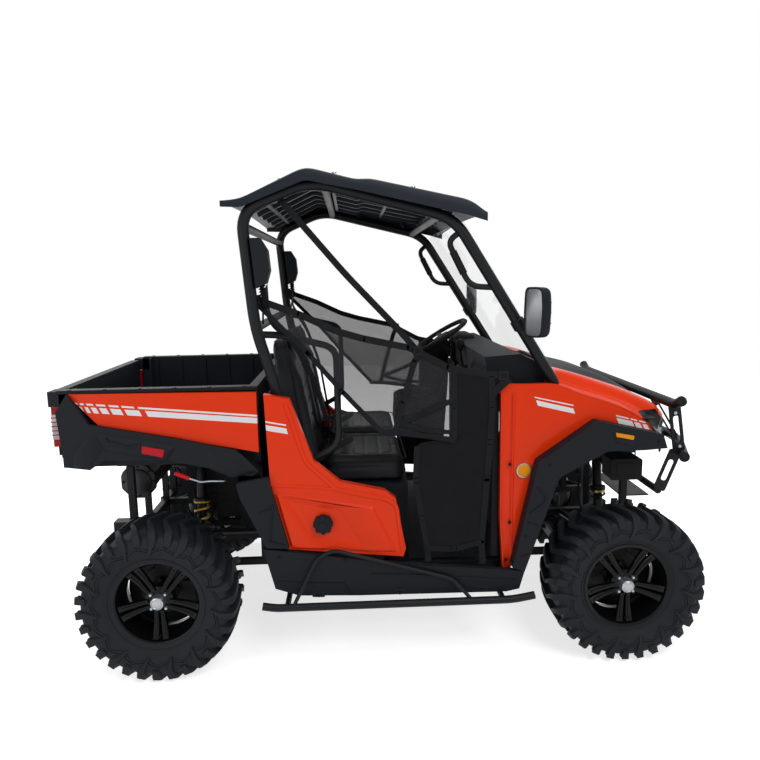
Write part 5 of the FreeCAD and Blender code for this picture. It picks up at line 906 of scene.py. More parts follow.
def roof_grid(x, drop):
    """Sections across the roof: skirt, rounded shoulder and a crown with three shallow grooves."""
    blur = np.exp(-0.5 * (np.linspace(-2, 2, 9)) ** 2)
    blur /= blur.sum()
    dense = np.interp(x, ROOF_LINE[:, 0], ROOF_LINE[:, 1])
    top = np.convolve(np.pad(dense, 4, mode="edge"), blur, "valid")
    low = np.interp(x, ROOF_LINE[:, 0], ROOF_LINE[:, 2])
    half = 0.722 - 0.062 * (x + 0.635) / 1.019 - drop
    t = np.linspace(0, 1, 9)[1:]
    inward = np.concatenate([np.zeros(3), 0.045 * (1 - np.cos(t * math.pi / 2))])
    rise = np.concatenate([[0.0, 0.4, 0.8], 0.8 + 0.2 * np.sin(t * math.pi / 2)])
    shoulder_z = low[:, None] + (top - drop - 0.004 - low)[:, None] * rise[None, :]
    shoulder_y = half[:, None] - inward[None, :]
    share = np.linspace(0, 1, 26)[1:]
    crown_y = (half[:, None] - 0.045) * (1 - share[None, :])
    groove = 0.0045 * (np.exp(-((crown_y - 0.33) / 0.020) ** 4) + np.exp(-((crown_y - 0.12) / 0.020) ** 4))
    away = np.clip((x - x[0]) / 0.08, 0, 1)[:, None] * np.clip((x[-1] - x) / 0.10, 0, 1)[:, None]
    crown_z = (top - drop - 0.004)[:, None] + 0.012 * np.sin(share * math.pi / 2)[None, :] - groove * away
    y = np.concatenate([shoulder_y, crown_y], axis=1)
    z = np.concatenate([shoulder_z, crown_z], axis=1)
    grid = np.stack([np.broadcast_to(x[:, None], y.shape), -y, z], axis=-1)
    return np.concatenate([grid, grid[:, -2::-1] * (1, -1, 1)], axis=1)


def closed_between(outer, inner):
    """The solid between two tables of places, with its four rims closed."""
    rows, columns = outer.shape[:2]
    places = np.concatenate([outer.reshape(-1, 3), inner.reshape(-1, 3)])
    top = grid_faces(rows, columns)
    half = rows * columns
    faces = top + [[corner + half for corner in face[::-1]] for face in top]
    index = np.arange(half).reshape(rows, columns)
    rim = np.concatenate([index[0], index[1:, -1], index[-1, -2::-1], index[-2:0:-1, 0]])
    after = np.roll(rim, -1)
    return places, faces + np.stack([rim, rim + half, after + half, after], axis=1).tolist()


def roof():
    x = np.linspace(-0.635, 0.384, 90)
    shapes = [closed_between(roof_grid(x, 0.0), roof_grid(x, 0.007))]
    under = np.interp(x, ROOF_LINE[:, 0], ROOF_LINE[:, 1])
    for y in (-0.54, -0.36, -0.18, 0.0, 0.18, 0.36, 0.54):
        span = slice(6, 84)
        line = np.stack([x[span], np.full(78, y), under[span] - 0.020], axis=1)
        shapes.append(bar_section(line, 0.022, 0.020, (0, 0, 1)))
    for at in (-0.50, -0.22, 0.02, 0.24):
        z = np.interp(at, x, under) - 0.022
        shapes.append(bar_section([(at, -0.60, z), (at, 0.60, z)], 0.018, 0.018, (0, 0, 1)))
    for start, end, share in ((PEAK, A_TOP, 0.35), (PEAK, A_TOP, 0.80), (PEAK, B_TOP, 0.55)):
        px, py, pz = lerp(start, end, share)
        top = float(np.interp(px, x, under)) - 0.006
        shapes += both([tube([(px, py, pz + 0.0232), (px, py, top)], 0.014, 14, aside=(1, 0, 0))])
    build("roof_shell", shapes, "roof_black", hides=["roof_panel"], soft=44)
    bolts = [turned([(0, 0), (0.011, 0), (0.010, 0.004), (0, 0.005)], 16, (px, py, pz), "Z")
             for px, py, pz in ((-0.21, -0.60, 2.033), (-0.42, -0.60, 2.012), (0.10, -0.58, 1.978))]
    build("roof_bolts", both(bolts), "alloy")


FRONT_Y = (0.332, 0.515, 0.562, 0.600, 0.637)
FRONT = np.array([list(zip(x, FRONT_Y, z)) for x, z in (
    # the x and the heights of each section across hood and fender, from the middle outwards
    ((0.694,) * 5, (1.222, 1.227, 1.190, 1.181, 1.172)),
    ((0.722,) * 5, (1.219, 1.223, 1.184, 1.176, 1.166)),
    ((0.777,) * 5, (1.206, 1.210, 1.163, 1.156, 1.143)),
    ((0.935,) * 5, (1.157, 1.156, 1.112, 1.102, 1.088)),
    ((1.076, 1.060, 1.040, 1.025, 1.018), (1.107, 1.106, 1.066, 1.054, 1.044)),
    ((1.160, 1.140, 1.112, 1.092, 1.082), (1.064, 1.066, 1.015, 1.002, 0.993)),
    ((1.229, 1.181, 1.140, 1.128, 1.118), (1.028, 1.020, 0.968, 0.960, 0.958)))])


def smooth(table, along, across):
    """Curves through a table of places, first down its columns and then along its rows."""
    return curve_through(curve_through(table, along, 0), across, 1)


def fenders():
    top = smooth(FRONT * (1, -1, 1), 7, 5)
    shapes = [closed_between(top, top - (0, -0.002, 0.0055))]
    upper = np.array([(0.447, 1.150), (0.470, 1.1845), (0.560, 1.1860), (0.660, 1.1850), (0.722, 1.1680),
                      (0.777, 1.145), (0.935, 1.090), (1.018, 1.046), (1.082, 0.995), (1.118, 0.960)])
    lower = np.array([(0.460, 0.396), (0.500, 0.400), (0.530, 0.560), (0.565, 0.730), (0.600, 0.850),
                      (0.690, 0.935), (0.800, 1.000), (0.900, 0.985), (1.040, 0.960), (1.110, 0.945)])
    upper, lower = curve_through(upper, 8), curve_through(lower, 8)
    share = np.linspace(0, 1, 22)[None, :, None]
    face = upper[:, None] * (1 - share) + lower[:, None] * share
    crease = 0.006 * np.clip((0.505 - face[..., 0]) / 0.012, 0, 1)
    bulge = 0.004 * np.sin(share[..., 0] * math.pi)
    y = -0.6345 - bulge * (face[..., 0] > 0.5) + crease
    panel = np.stack([face[..., 0], np.maximum(y, -0.640), face[..., 1]], axis=-1)
    turned_in = panel[:, :1] + (0, 0.026, -0.001)
    turned_low = panel[:, -1:] + (0, 0.026, 0.0)
    panel = np.concatenate([turned_in, panel, turned_low], axis=1)
    shapes.append(closed_between(panel, panel + (0, 0.0045, 0)))
    edge = [(0.447, -0.640, 1.150), (0.447, -0.640, 0.62), (0.461, -0.640, 0.398)]
    shapes.append(bar_section(np.array(edge) + (0.003, 0.016, 0), 0.006, 0.030, (0, 1, 0)))
    build("fender_sheets", both(shapes), "orange", hides=["front_fenders"], soft=34)
    arch = [(0.52, -0.55, 0.44), (0.545, -0.55, 0.70), (0.62, -0.55, 0.90), (0.78, -0.55, 1.02),
            (1.10, -0.55, 1.03)]
    build("arch_liners", both([bar_section(rounded(arch, 0.06, 6), 0.003, 0.17, (0, 1, 0))]), "charcoal")


def hood():
    crown = ((-0.323, 0.0), (-0.300, 0.25), (-0.215, 0.95), (-0.10, 1.0))
    crown += tuple((-y, up) for y, up in crown[::-1])
    rows = []
    for x, middle, seam in ((0.750, 1.223, 1.2149), (0.850, 1.200, 1.1830), (1.000, 1.160, 1.1340),
                            (1.100, 1.110, 1.097), (1.160, 1.0649, 1.0642)):
        rows.append([(x, y, seam + (middle - seam) * up) for y, up in crown])
    lid = smooth(np.array(rows), 7, 4)
    along, aside = np.exp(-((lid[..., 0] - 0.93) / 0.09) ** 4), np.abs(lid[..., 1]) - 0.15
    lid[..., 2] -= 0.006 * along * np.exp(-(aside / 0.045) ** 4)
    shapes = [closed_between(lid, lid - (0, 0, 0.006))]
    barrels = []
    for side in (-1, 1):
        for index in (0, 2):
            start = 0.2 * side - 0.03 + 0.02 * index + 0.0003
            barrels.append(tube([(0.7422, start, 1.224), (0.7422, start + 0.0194, 1.224)], 0.0058, 16,
                                aside=(0, 0, 1)))
            barrels.append(block((0.7422, start, 1.2185), (0.764, start + 0.0194, 1.2235), 0.0006, 0.0006))
    build("hood_sheet", shapes + barrels, "charcoal", "hood", ["hood_lid"], soft=44)


def nose():
    """The centre below the hood, bowed in plan, with a barred mouth and the strip under the lamps."""
    z = np.array([1.0610, 1.028, 0.990, 0.945, 0.905, 0.885])
    middle = np.array([1.1662, 1.212, 1.256, 1.284, 1.2955, 1.286])
    side = np.array([1.1662, 1.204, 1.238, 1.258, 1.2715, 1.262])
    y = np.linspace(-0.323, 0.323, 7)
    bow = 1 - (y / 0.323) ** 2
    table = np.stack([side[:, None] + (middle - side)[:, None] * bow[None, :], np.broadcast_to(y, (6, 7)),
                      np.broadcast_to(z[:, None], (6, 7))], axis=-1)
    table = smooth(table, 10, 10)
    aside, up = np.exp(-(table[..., 1] / 0.235) ** 12), np.exp(-((table[..., 2] - 0.952) / 0.034) ** 8)
    table[..., 0] -= 0.030 * aside * up
    shapes = [closed_between(table, table - (0.006, 0, 0.002))]
    for level in (0.930, 0.943, 0.956, 0.969):
        x = float(np.interp(-level, -z, middle)) - 0.016
        shapes.append(bar_section([(x, -0.232, level), (x + 0.004, 0, level), (x, 0.232, level)], 0.004,
                                  0.020, (0, 0, 1)))
    strip = np.array([(1.1248, -0.636), (1.1602, -0.560), (1.2658, -0.324), (1.2898, -0.150), (1.292, 0.0)])
    strip = np.concatenate([strip, strip[-2::-1] * (1, -1)])
    strip = rounded(strip, 0.05, 6)
    rows = np.array([np.column_stack([strip + (offset, 0), np.full(len(strip), level)])
                     for offset, level in ((-0.004, 0.885), (0, 0.889), (0, 0.921), (-0.005, 0.925))])
    shapes.append(closed_between(rows, rows - (0.006, 0, 0)))
    floor = [(1.1503, -0.558), (1.160, -0.558), (1.262, -0.323), (1.285, -0.15), (1.285, 0.15),
             (1.262, 0.323), (1.160, 0.558), (1.1503, 0.558)]
    shapes.append(slab(floor, 0.8852, 0.890, 0.001, 0.01, "Z"))
    build("nose_shell", shapes, "charcoal", hides=["nose_panel"], soft=36)


def lamps():
    """Swept head lamps: a dark housing, two round reflectors and a clear lens."""
    rows = np.array([[(1.2262, -0.345, 1.012), (1.192, -0.440, 1.006), (1.1458, -0.535, 0.972)],
                     [(1.2622, -0.345, 0.968), (1.2118, -0.440, 0.965), (1.1602, -0.535, 0.948)],
                     [(1.2655, -0.345, 0.9258), (1.2218, -0.440, 0.9258), (1.168, -0.535, 0.9258)]])
    face = smooth(rows, 6, 8)
    lens = closed_between(face, face - (0.004, 0, 0))
    back = face - (0.012, 0, 0)
    housing = closed_between(back, back - (0.017, 0, 0))
    build("lamp_lenses", both([lens]), clear_sheet("lamp_lens", (0.25, 0.27, 0.30), 0.30))
    build("lamp_housings", both([housing]), "headlamp", hides=["head_lamps"])
    bowls = []
    for y, x in ((-0.385, 1.2345), (-0.445, 1.203)):
        bowls.append(turned([(0.0, -0.006), (0.010, -0.005), (0.017, 0.002), (0.0195, 0.006),
                             (0.018, 0.006), (0.0, -0.002)], 24, (x, y, 0.963), "X"))
    build("lamp_bowls", both(bowls), "alloy")


roof()
fenders()
hood()
nose()
lamps()
SHEETS = ("roof_shell", "fender_sheets", "hood_sheet", "nose_shell")
print("sheets:", {name: made_pieces[name] for name in SHEETS})

# %% [markdown]
# ## Seats that are stuffed
# A seat pad is foam under a tight cover. The form starts a little too small, is remeshed into even cells,
# and is blown up by a cloth simulation with a light pressure and no gravity. How far a place may move is
# capped. The sewn channels are pressed in afterwards: along each seam the cover sinks by a bell curve of
# the distance.

# %% Cushions and seat backs
def baked(thing):
    """The mesh as its modifiers leave it, with no modifier left."""
    graph = bpy.context.evaluated_depsgraph_get()
    mesh = bpy.data.meshes.new_from_object(thing.evaluated_get(graph))
    thing.modifiers.clear()
    thing.data = mesh
    return mesh


def places_of(mesh):
    places = np.empty(len(mesh.vertices) * 3)
    mesh.vertices.foreach_get("co", places)
    return places.reshape(-1, 3)


def normals_of(mesh):
    ways = np.empty(len(mesh.vertices) * 3)
    mesh.vertices.foreach_get("normal", ways)
    return ways.reshape(-1, 3)


def blown_up(thing, cell, cap):
    """Even cells, then twenty frames of cloth with pressure inside; each place moves by the cap at most."""
    even = thing.modifiers.new("even", "REMESH")
    even.mode = "VOXEL"
    even.voxel_size = cell
    before = places_of(baked(thing))
    cloth = thing.modifiers.new("cloth", "CLOTH")
    cloth.settings.use_pressure = True
    cloth.settings.uniform_pressure_force = 4.0
    cloth.settings.effector_weights.gravity = 0.0
    cloth.settings.quality = 4
    cloth.point_cache.frame_start = 1
    cloth.point_cache.frame_end = 20
    for count in range(1, 21):
        bpy.context.scene.frame_set(count)
    after = places_of(baked(thing))
    bpy.context.scene.frame_set(1)
    push = after - before
    length = np.linalg.norm(push, axis=1, keepdims=True)
    before = before + push * np.minimum(1, cap / np.maximum(length, 1e-9))
    thing.data.vertices.foreach_set("co", before.ravel())
    thing.data.update()


def frame_distance(u, v, half_u, half_v, corner):
    """Distance from the outline of a rounded rectangle round the origin."""
    qu, qv = np.abs(u) - half_u + corner, np.abs(v) - half_v + corner
    outside = np.hypot(np.maximum(qu, 0), np.maximum(qv, 0))
    return np.abs(outside + np.minimum(np.maximum(qu, qv), 0) - corner)


def bell(distance, width):
    """A bell curve of the distance."""
    return np.exp(-(distance / width) ** 2)


def pressed(thing, sink):
    """Every place moves against its normal by the depth that the seams give there; then one subdivision."""
    mesh = thing.data
    places, ways = places_of(mesh), normals_of(mesh)
    mesh.vertices.foreach_set("co", (places + sink(places, ways)).ravel())
    finer = thing.modifiers.new("finer", "SUBSURF")
    finer.levels = finer.render_levels = 1
    mesh = baked(thing)
    mesh.polygons.foreach_set("use_smooth", [True] * len(mesh.polygons))


def mirrored(thing, name):
    mesh = thing.data.copy()
    mesh.vertices.foreach_set("co", (places_of(mesh) * (1, -1, 1)).ravel())
    mesh.flip_normals()
    twin = bpy.data.objects.new(name, mesh)
    bpy.context.scene.collection.objects.link(twin)
    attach(twin, "chassis")
    return twin


SEAT_Y, LEAN = -0.278, math.atan2(0.110, 0.643)
BACK_FOOT = np.array([-0.402, SEAT_Y, 0.752])


def cushion_seams(places, ways):
    u, v = places[:, 0] + 0.112, places[:, 1] - SEAT_Y
    top = np.clip(ways[:, 2] * 2.5, 0, 1)
    ring = bell(frame_distance(u - 0.008, v, 0.118, 0.165, 0.05), 0.006)
    inside = (np.abs(v) < 0.158) * (np.abs(u - 0.008) < 0.112)
    rows = sum(bell(u - at, 0.006) for at in (-0.055, 0.005, 0.065)) * inside
    bowl = np.clip(1 - (v / 0.20) ** 2, 0, 1) * np.clip(1 - (u / 0.20) ** 2, 0, 1)
    low = -(0.0065 * np.maximum(ring, rows) + 0.014 * bowl) * top
    side = bell(places[:, 2] - 0.818, 0.0045) * np.clip(1 - np.abs(ways[:, 2]) * 1.6, 0, 1) * 0.005
    return np.stack([-ways[:, 0] * side, -ways[:, 1] * side, low - ways[:, 2] * side], axis=1)


def back_seams(places, ways):
    rise = (places[:, 2] - 0.752) / math.cos(LEAN)
    v = places[:, 1] - SEAT_Y
    front = np.clip((ways[:, 0] * math.cos(LEAN) + ways[:, 2] * math.sin(LEAN)) * 2.5, 0, 1)
    ring = bell(frame_distance(rise - 0.285, v, 0.205, 0.150, 0.05), 0.006)
    inside = (np.abs(v) < 0.143) * (np.abs(rise - 0.285) < 0.198)
    rows = sum(bell(rise - at, 0.006) for at in (0.16, 0.24, 0.32, 0.40)) * inside
    head = bell(frame_distance(rise - 0.575, v, 0.055, 0.115, 0.04), 0.006)
    bolster = 0.020 * np.clip((np.abs(v) - 0.13) / 0.06, 0, 1) * np.clip((0.54 - rise) / 0.08, 0, 1)
    push = (bolster - 0.0065 * np.clip(ring + rows + head, 0, 1)) * front
    narrow = np.clip((rise - 0.46) / 0.16, 0, 1) ** 2 * 0.22
    return np.stack([push * math.cos(LEAN), -v * narrow, push * math.sin(LEAN)], axis=1)


def seats():
    cushion = block((-0.288, -0.519, 0.764), (0.066, -0.036, 0.860), 0.030, 0.060)
    thing = build("seat_pad_right", [cushion], "vinyl", hides=["seat_cushions"])
    blown_up(thing, 0.008, 0.009)
    pressed(thing, cushion_seams)
    twin = mirrored(thing, "seat_pad_left")
    slope = np.array([-math.sin(LEAN), 0, math.cos(LEAN)])
    outline = [(-0.229, 0.012), (0.229, 0.012), (0.229, 0.44), (0.165, 0.625), (-0.165, 0.625),
               (-0.229, 0.44)]
    places, faces = slab(outline, 0.008, 0.082, 0.026, 0.05, "Z", steps=6)
    depth, across, along = places[:, 2], places[:, 0], places[:, 1]
    ahead = np.array([math.cos(LEAN), 0, math.sin(LEAN)])
    spots = BACK_FOOT + along[:, None] * slope + depth[:, None] * ahead
    spots[:, 1] += across
    back = build("seat_back_right", [(spots, faces)], "vinyl", hides=["seat_backs"])
    blown_up(back, 0.008, 0.008)
    pressed(back, back_seams)
    other = mirrored(back, "seat_back_left")
    piping = []
    rim = rounded([(-0.290, -0.521), (0.068, -0.521), (0.068, -0.035), (-0.290, -0.035)], 0.062, 8,
                  closed=True)
    rim = np.concatenate([rim, rim[:2]])
    piping.append(tube(np.column_stack([rim, np.full(len(rim), 0.850)]), 0.0032, 8, aside=(0, 0, 1)))
    shell_line = rounded(np.array(outline) * (0.98, 0.99), 0.05, 6, closed=True)
    shell_line = np.concatenate([shell_line, shell_line[:2]])
    edge = BACK_FOOT + shell_line[:, 1:] * slope + 0.070 * ahead
    edge[:, 1] += shell_line[:, 0]
    piping.append(tube(edge, 0.003, 8, aside=(1, 0, 0.17)))
    build("seat_piping", both(piping), "grip")


seats()

# %% [markdown]
# ## Side nets, straps and belts
# Each side net is one sheet: an open mesh window behind, a close woven panel at the feet, and webbing
# sewn over the edges. The sheets are ruled between two measured lines and sag by a sine between the
# straps.

# %% Nets and webbing
NET_Y, WEB_THICK = -0.6575, 0.0022


def hanging(one, two, rows, columns, sag, thick=0.0012):
    """A sheet between two lines, hanging inwards between them by a product of sines."""
    one, two = (curve_through(np.array(line, float), 8) for line in (one, two))
    at = np.linspace(0, len(one) - 1, columns)
    one, two = (np.stack([np.interp(at, np.arange(len(line)), line[:, axis]) for axis in (0, 1)], axis=1)
                for line in (one, two))
    share = np.linspace(0, 1, rows)[:, None, None]
    flat = one[None] * (1 - share) + two[None] * share
    wave = np.outer(np.sin(np.linspace(0, math.pi, rows)), np.sin(np.linspace(0, math.pi, columns)))
    ripple = 0.0025 * np.sin(flat[..., 0] * 34 + flat[..., 1] * 11)
    y = NET_Y + np.abs(sag * wave + ripple * wave)
    grid = np.stack([flat[..., 0], y, flat[..., 1]], axis=-1)
    return closed_between(grid, grid + (0, thick, 0))


def ribbon(points, wide, lift=0.0, soft=0.02):
    """Webbing in a side's plane, through places given as x, z or x, y, z."""
    spots = np.array([(p[0], NET_Y, p[1]) if len(p) == 2 else p for p in points], float)
    line = rounded(spots, soft, 6) if len(spots) > 2 else spots
    dense = curve_through(line, 3) if len(line) > 3 else line
    return bar_section(dense + (0, -lift, 0), wide, WEB_THICK, (0, 1, 0))


def area_of(shape):
    places, faces = shape
    corners = places[np.array([face for face in faces if len(face) == 4])]
    return 0.5 * np.linalg.norm(np.cross(corners[:, 2] - corners[:, 0], corners[:, 3] - corners[:, 1]),
                                axis=1).sum() / 2


WINDOW = (
    # the upper and the lower line of the mesh, as x and z
    [(-0.530, 1.556), (-0.356, 1.488), (-0.222, 1.423), (-0.116, 1.390), (0.077, 1.347), (0.160, 1.300),
     (0.256, 1.252)],
    [(-0.520, 1.545), (-0.330, 1.335), (-0.200, 1.180), (-0.049, 1.012), (0.035, 0.998), (0.150, 0.984),
     (0.256, 0.966)])
PANEL = (
    # the rear and the front edge of the close weave, from the top down
    [(0.252, 1.254), (0.253, 1.110), (0.250, 0.978), (0.100, 0.948), (0.092, 0.800), (0.118, 0.640),
     (0.136, 0.499)],
    [(0.402, 1.228), (0.408, 1.110), (0.402, 1.020), (0.396, 0.955), (0.388, 0.800), (0.376, 0.640),
     (0.366, 0.520)])
STRAPS = [
    # places as x and z, width, lift off the net
    ([(-0.545, 1.560), (-0.356, 1.489), (-0.222, 1.424), (-0.116, 1.391), (0.077, 1.348), (0.235, 1.262),
      (0.330, 1.243), (0.408, 1.232), (0.468, 1.232)], 0.027, 0.0012),
    ([(-0.540, 1.553), (-0.330, 1.335), (-0.200, 1.180), (-0.049, 1.012)], 0.020, 0.0010),
    ([(-0.055, 1.005), (0.035, 1.001), (0.150, 0.985), (0.256, 0.966)], 0.022, 0.0014),
    ([(0.112, 1.324), (0.094, 1.300), (0.040, 1.120), (0.012, 1.010)], 0.024, 0.0030),
    ([(0.012, 1.036), (0.130, 1.080), (0.262, 1.140)], 0.022, 0.0026),
    ([(0.035, 1.040), (0.140, 1.010), (0.262, 0.998)], 0.018, 0.0040),
    ([(0.252, 1.250), (0.254, 1.110), (0.252, 0.975)], 0.022, 0.0018),
    ([(0.100, 0.945), (0.092, 0.800), (0.118, 0.640), (0.138, 0.500), (0.141, 0.466)], 0.024, 0.0012),
    ([(0.404, 1.226), (0.408, 1.110), (0.400, 0.955), (0.388, 0.800), (0.366, 0.520), (0.371, 0.446)],
     0.026, 0.0012),
    ([(0.136, 0.505), (0.250, 0.498), (0.366, 0.524)], 0.022, 0.0022),
    ([(0.404, 1.150), (0.440, 1.185), (0.478, 1.215)], 0.030, 0.0030),
]
ROOF_STRAP = [(-0.432, -0.6330, 1.947), (-0.348, -0.6350, 1.848), (-0.176, -0.6400, 1.644),
              (0.039, -0.6480, 1.414), (0.112, -0.6560, 1.324)]


def nets():
    areas = {}
    for side in ("right", "left"):
        turn = (lambda shape: shape) if side == "right" else flipped
        window, panel = hanging(*WINDOW, 34, 60, 0.010), hanging(*PANEL, 26, 60, 0.014)
        one = build("net_window_" + side, [turn(window)], mesh_cloth, hides=["side_nets"])
        two = build("net_panel_" + side, [turn(panel)], "net")
        edges = [ribbon(points, wide, lift=lift) for points, wide, lift in STRAPS]
        edges.append(ribbon(ROOF_STRAP, 0.026, soft=0.06))
        straps = build("net_webbing_" + side, [turn(shape) for shape in edges], web)
        fittings = []
        for x, z in ((0.141, 0.459), (0.371, 0.440)):
            fittings.append(turned([(0, -0.006), (0.009, -0.006), (0.011, -0.003), (0.011, 0.003),
                                    (0, 0.003)], 20, (x, NET_Y - 0.002, z)))
            fittings.append(block((x - 0.014, NET_Y - 0.004, z - 0.012),
                                  (x + 0.014, NET_Y + 0.002, z + 0.012), 0.002, 0.004, "Y"))
        for x, z in ((0.452, 1.228), (-0.526, 1.552), (0.106, 1.336)):
            fittings.append(framed(oblong(x, z, 0.020, 0.018), oblong(x, z, 0.010, 0.008), NET_Y - 0.006,
                                   NET_Y - 0.001, 40, 0.005, 0.003))
        metal = build("net_hooks_" + side, [turn(shape) for shape in fittings], "grip")
        round(area_of(window), 3)
        round(area_of(panel), 3)
        areas[side] = (area_of(window), area_of(panel))
    print("net areas:", areas)


def belts():
    """A three-point belt for each seat, from its reel over the shoulder and the lap to the buckle."""
    shoulder = rounded([(-0.498, -0.655, 1.600), (-0.505, -0.560, 1.470), (-0.420, -0.420, 1.365),
                        (-0.345, -0.300, 1.180), (-0.300, -0.130, 0.960), (-0.285, -0.062, 0.905)], 0.06, 8)
    lap = rounded([(-0.330, -0.520, 0.842), (-0.270, -0.480, 0.884), (-0.170, -0.280, 0.889),
                   (-0.250, -0.080, 0.886), (-0.285, -0.055, 0.885)], 0.05, 8)
    webbing = [bar_section(shoulder + (0.012, 0, 0), 0.046, 0.002, (0.92, -0.35, 0.17)),
               bar_section(lap, 0.046, 0.002, (0, 0.1, 1))]
    buckles = [block((-0.312, -0.068, 0.862), (-0.262, -0.040, 0.935), 0.004, 0.008, "Y"),
               tube([(-0.300, -0.030, 0.790), (-0.290, -0.045, 0.870)], 0.008, 12)]
    share = np.linspace(0, 1, 33)
    boot = np.column_stack([-0.500 + 0.010 * share, -0.668 + 0.010 * share, 1.606 - 0.085 * share])
    stalk = rounded([(-0.492, -0.660, 1.522), (-0.500, -0.662, 1.50), (-0.505, -0.640, 1.455)], 0.01)
    boots = [tube(boot, 0.012 + 0.004 * np.sin(share * math.tau * 8), 16, aside=(1, 0, 0)),
             tube(stalk, 0.004, 8, aside=(1, 0, 0))]
    build("belt_webbing", both(webbing), web)
    build("belt_buckles", both(buckles), "grip")
    build("belt_boots", both(boots), "grip")
    button = block((-0.305, -0.070, 0.905), (-0.269, -0.0655, 0.925), 0.001, 0.003, "Y")
    build("buckle_buttons", both([button]), red_grip)


nets()
belts()

# %% [markdown]
# ## Springs, relief and fittings
# A spring is a helix: at each share of its length a place is the axis plus the radius times the cosine
# and sine of the turn. Relief on a moulded panel is a second, slightly proud plate with sloping rims.

# %% Springs and dampers
HELIX_STEPS, HELIX_SIDES = 28, 10  # places in each turn, corners of the wire


def helix(a, b, radius, turns, wire):
    """Wire carried round the line from a to b; the last half turns at both ends lie flat."""
    a, b = np.array(a, float), np.array(b, float)
    ahead = (b - a) / np.linalg.norm(b - a)
    one = np.cross(ahead, (0, 1, 0))
    one /= np.linalg.norm(one)
    two = np.cross(ahead, one)
    share = np.linspace(0, 1, int(turns * HELIX_STEPS))
    climb = np.clip((share * turns - 0.5) / (turns - 1), 0, 1)
    angle = share * turns * math.tau
    ring = np.cos(angle)[:, None] * one + np.sin(angle)[:, None] * two
    line = a + climb[:, None] * (b - a) + radius * ring
    return tube(line, wire, HELIX_SIDES, aside=tuple(ahead))


def dampers():
    bodies, front_coils, rear_coils, collars, rods = [], [], [], [], []
    for x in (AXLE_X, -0.857):
        foot, top = (x, -0.400, 0.271), (x, -0.304, 0.796)
        at = lambda share: lerp(foot, top, share)
        bodies.append(tube([at(0.46), at(0.47), at(0.93), at(0.96), at(0.995)],
                           [0.019, 0.0215, 0.0215, 0.016, 0.013], 24))
        bodies.append(tube([at(0.205), at(0.21), at(0.228), at(0.234)], [0.030, 0.037, 0.037, 0.026], 28))
        bodies.append(tube([at(0.688), at(0.694), at(0.716), at(0.722)], [0.026, 0.037, 0.037, 0.030], 28))
        rods.append(tube([at(0.12), at(0.52)], 0.0085, 16))
        for eye in (top, foot):
            bodies.append(tube([(eye[0] - 0.015, *eye[1:]), (eye[0] - 0.015 + 0.003, *eye[1:]),
                                (eye[0] + 0.015 - 0.003, *eye[1:]), (eye[0] + 0.015, *eye[1:])],
                               [0.011, 0.0145, 0.0145, 0.011], 20))
        if x > 0:
            front_coils.append(helix(at(0.236), at(0.686), 0.032, 7.5, 0.0048))
            for side in (-0.046, 0.046):
                bodies.append(tube(rounded([(foot[0] + side, foot[1], foot[2]),
                                            (at(0.17)[0] + side, *at(0.17)[1:]), at(0.215)], 0.02),
                                   0.0075, 14))
            bodies.append(tube([(foot[0] - 0.055, *foot[1:]), (foot[0] + 0.055, *foot[1:])], 0.008, 14))
            collars.append(tube([at(0.655), at(0.66), at(0.682), at(0.687)],
                                [0.028, 0.0345, 0.0345, 0.028], 24))
        else:
            rear_coils.append(helix(at(0.236), at(0.686), 0.0315, 6.5, 0.0058))
            rods.append(tube([foot, at(0.215)], 0.009, 16))
    build("damper_bodies", both(bodies), "frame_black", hides=["shock_absorbers"])
    build("damper_rods", both(rods), "alloy")
    build("front_springs", both(front_coils), "frame_black")
    build("rear_springs", both(rear_coils), "shock")
    build("damper_collars", both(collars), powder_coat("brass", linear(178, 150, 84), rough=0.3,
                                                       metal=0.8))


dampers()

# %% Relief, lenses, caps and bolts
def relief(outline, base, proud, slope=0.006, hole=None, corner=0.012):
    """A proud plate with sloping rims on a side panel; a hole, where there is one, has as many corners."""
    outline = np.asarray(outline, float)
    drawn = [(outline, base), (inset(outline, slope), proud)]
    if hole is not None:
        hole = np.asarray(hole, float)
        drawn += [(inset(hole, -2.2 * slope), proud), (hole, base)]
    rings = [(rounded(line, corner, 6, closed=True), level) for line, level in drawn]
    count = len(rings[0][0])
    places = np.concatenate([np.column_stack([ring[:, 0], np.full(count, level), ring[:, 1]])
                             for ring, level in rings])
    faces = grid_faces(len(rings), count, wrap_rows=hole is not None, wrap_columns=True)
    if hole is None:
        faces += [list(range(count, 2 * count)), list(range(count))[::-1]]
    return places, faces


def relief_x(outline, base, proud):
    """A proud plate on a face that looks along the vehicle; its outline is given across and up."""
    return slab(outline, base, proud, 0.003, 0.015, "X")


def ridge(points, y, wide=0.008, proud=0.0045):
    """A low bar along a line on a side panel."""
    return bar_section(np.array([(x, y, z) for x, z in points]), wide, proud * 2, (0, 1, 0))


def bolt(x, y, z, radius=0.008):
    return turned([(0, -0.0045), (radius * 0.55, -0.0045), (radius * 0.6, -0.003),
                   (radius * 0.9, -0.0045), (radius, -0.0015), (radius * 1.25, -0.001),
                   (radius * 1.25, 0.001), (0, 0.001)], 16, (x, y, z))


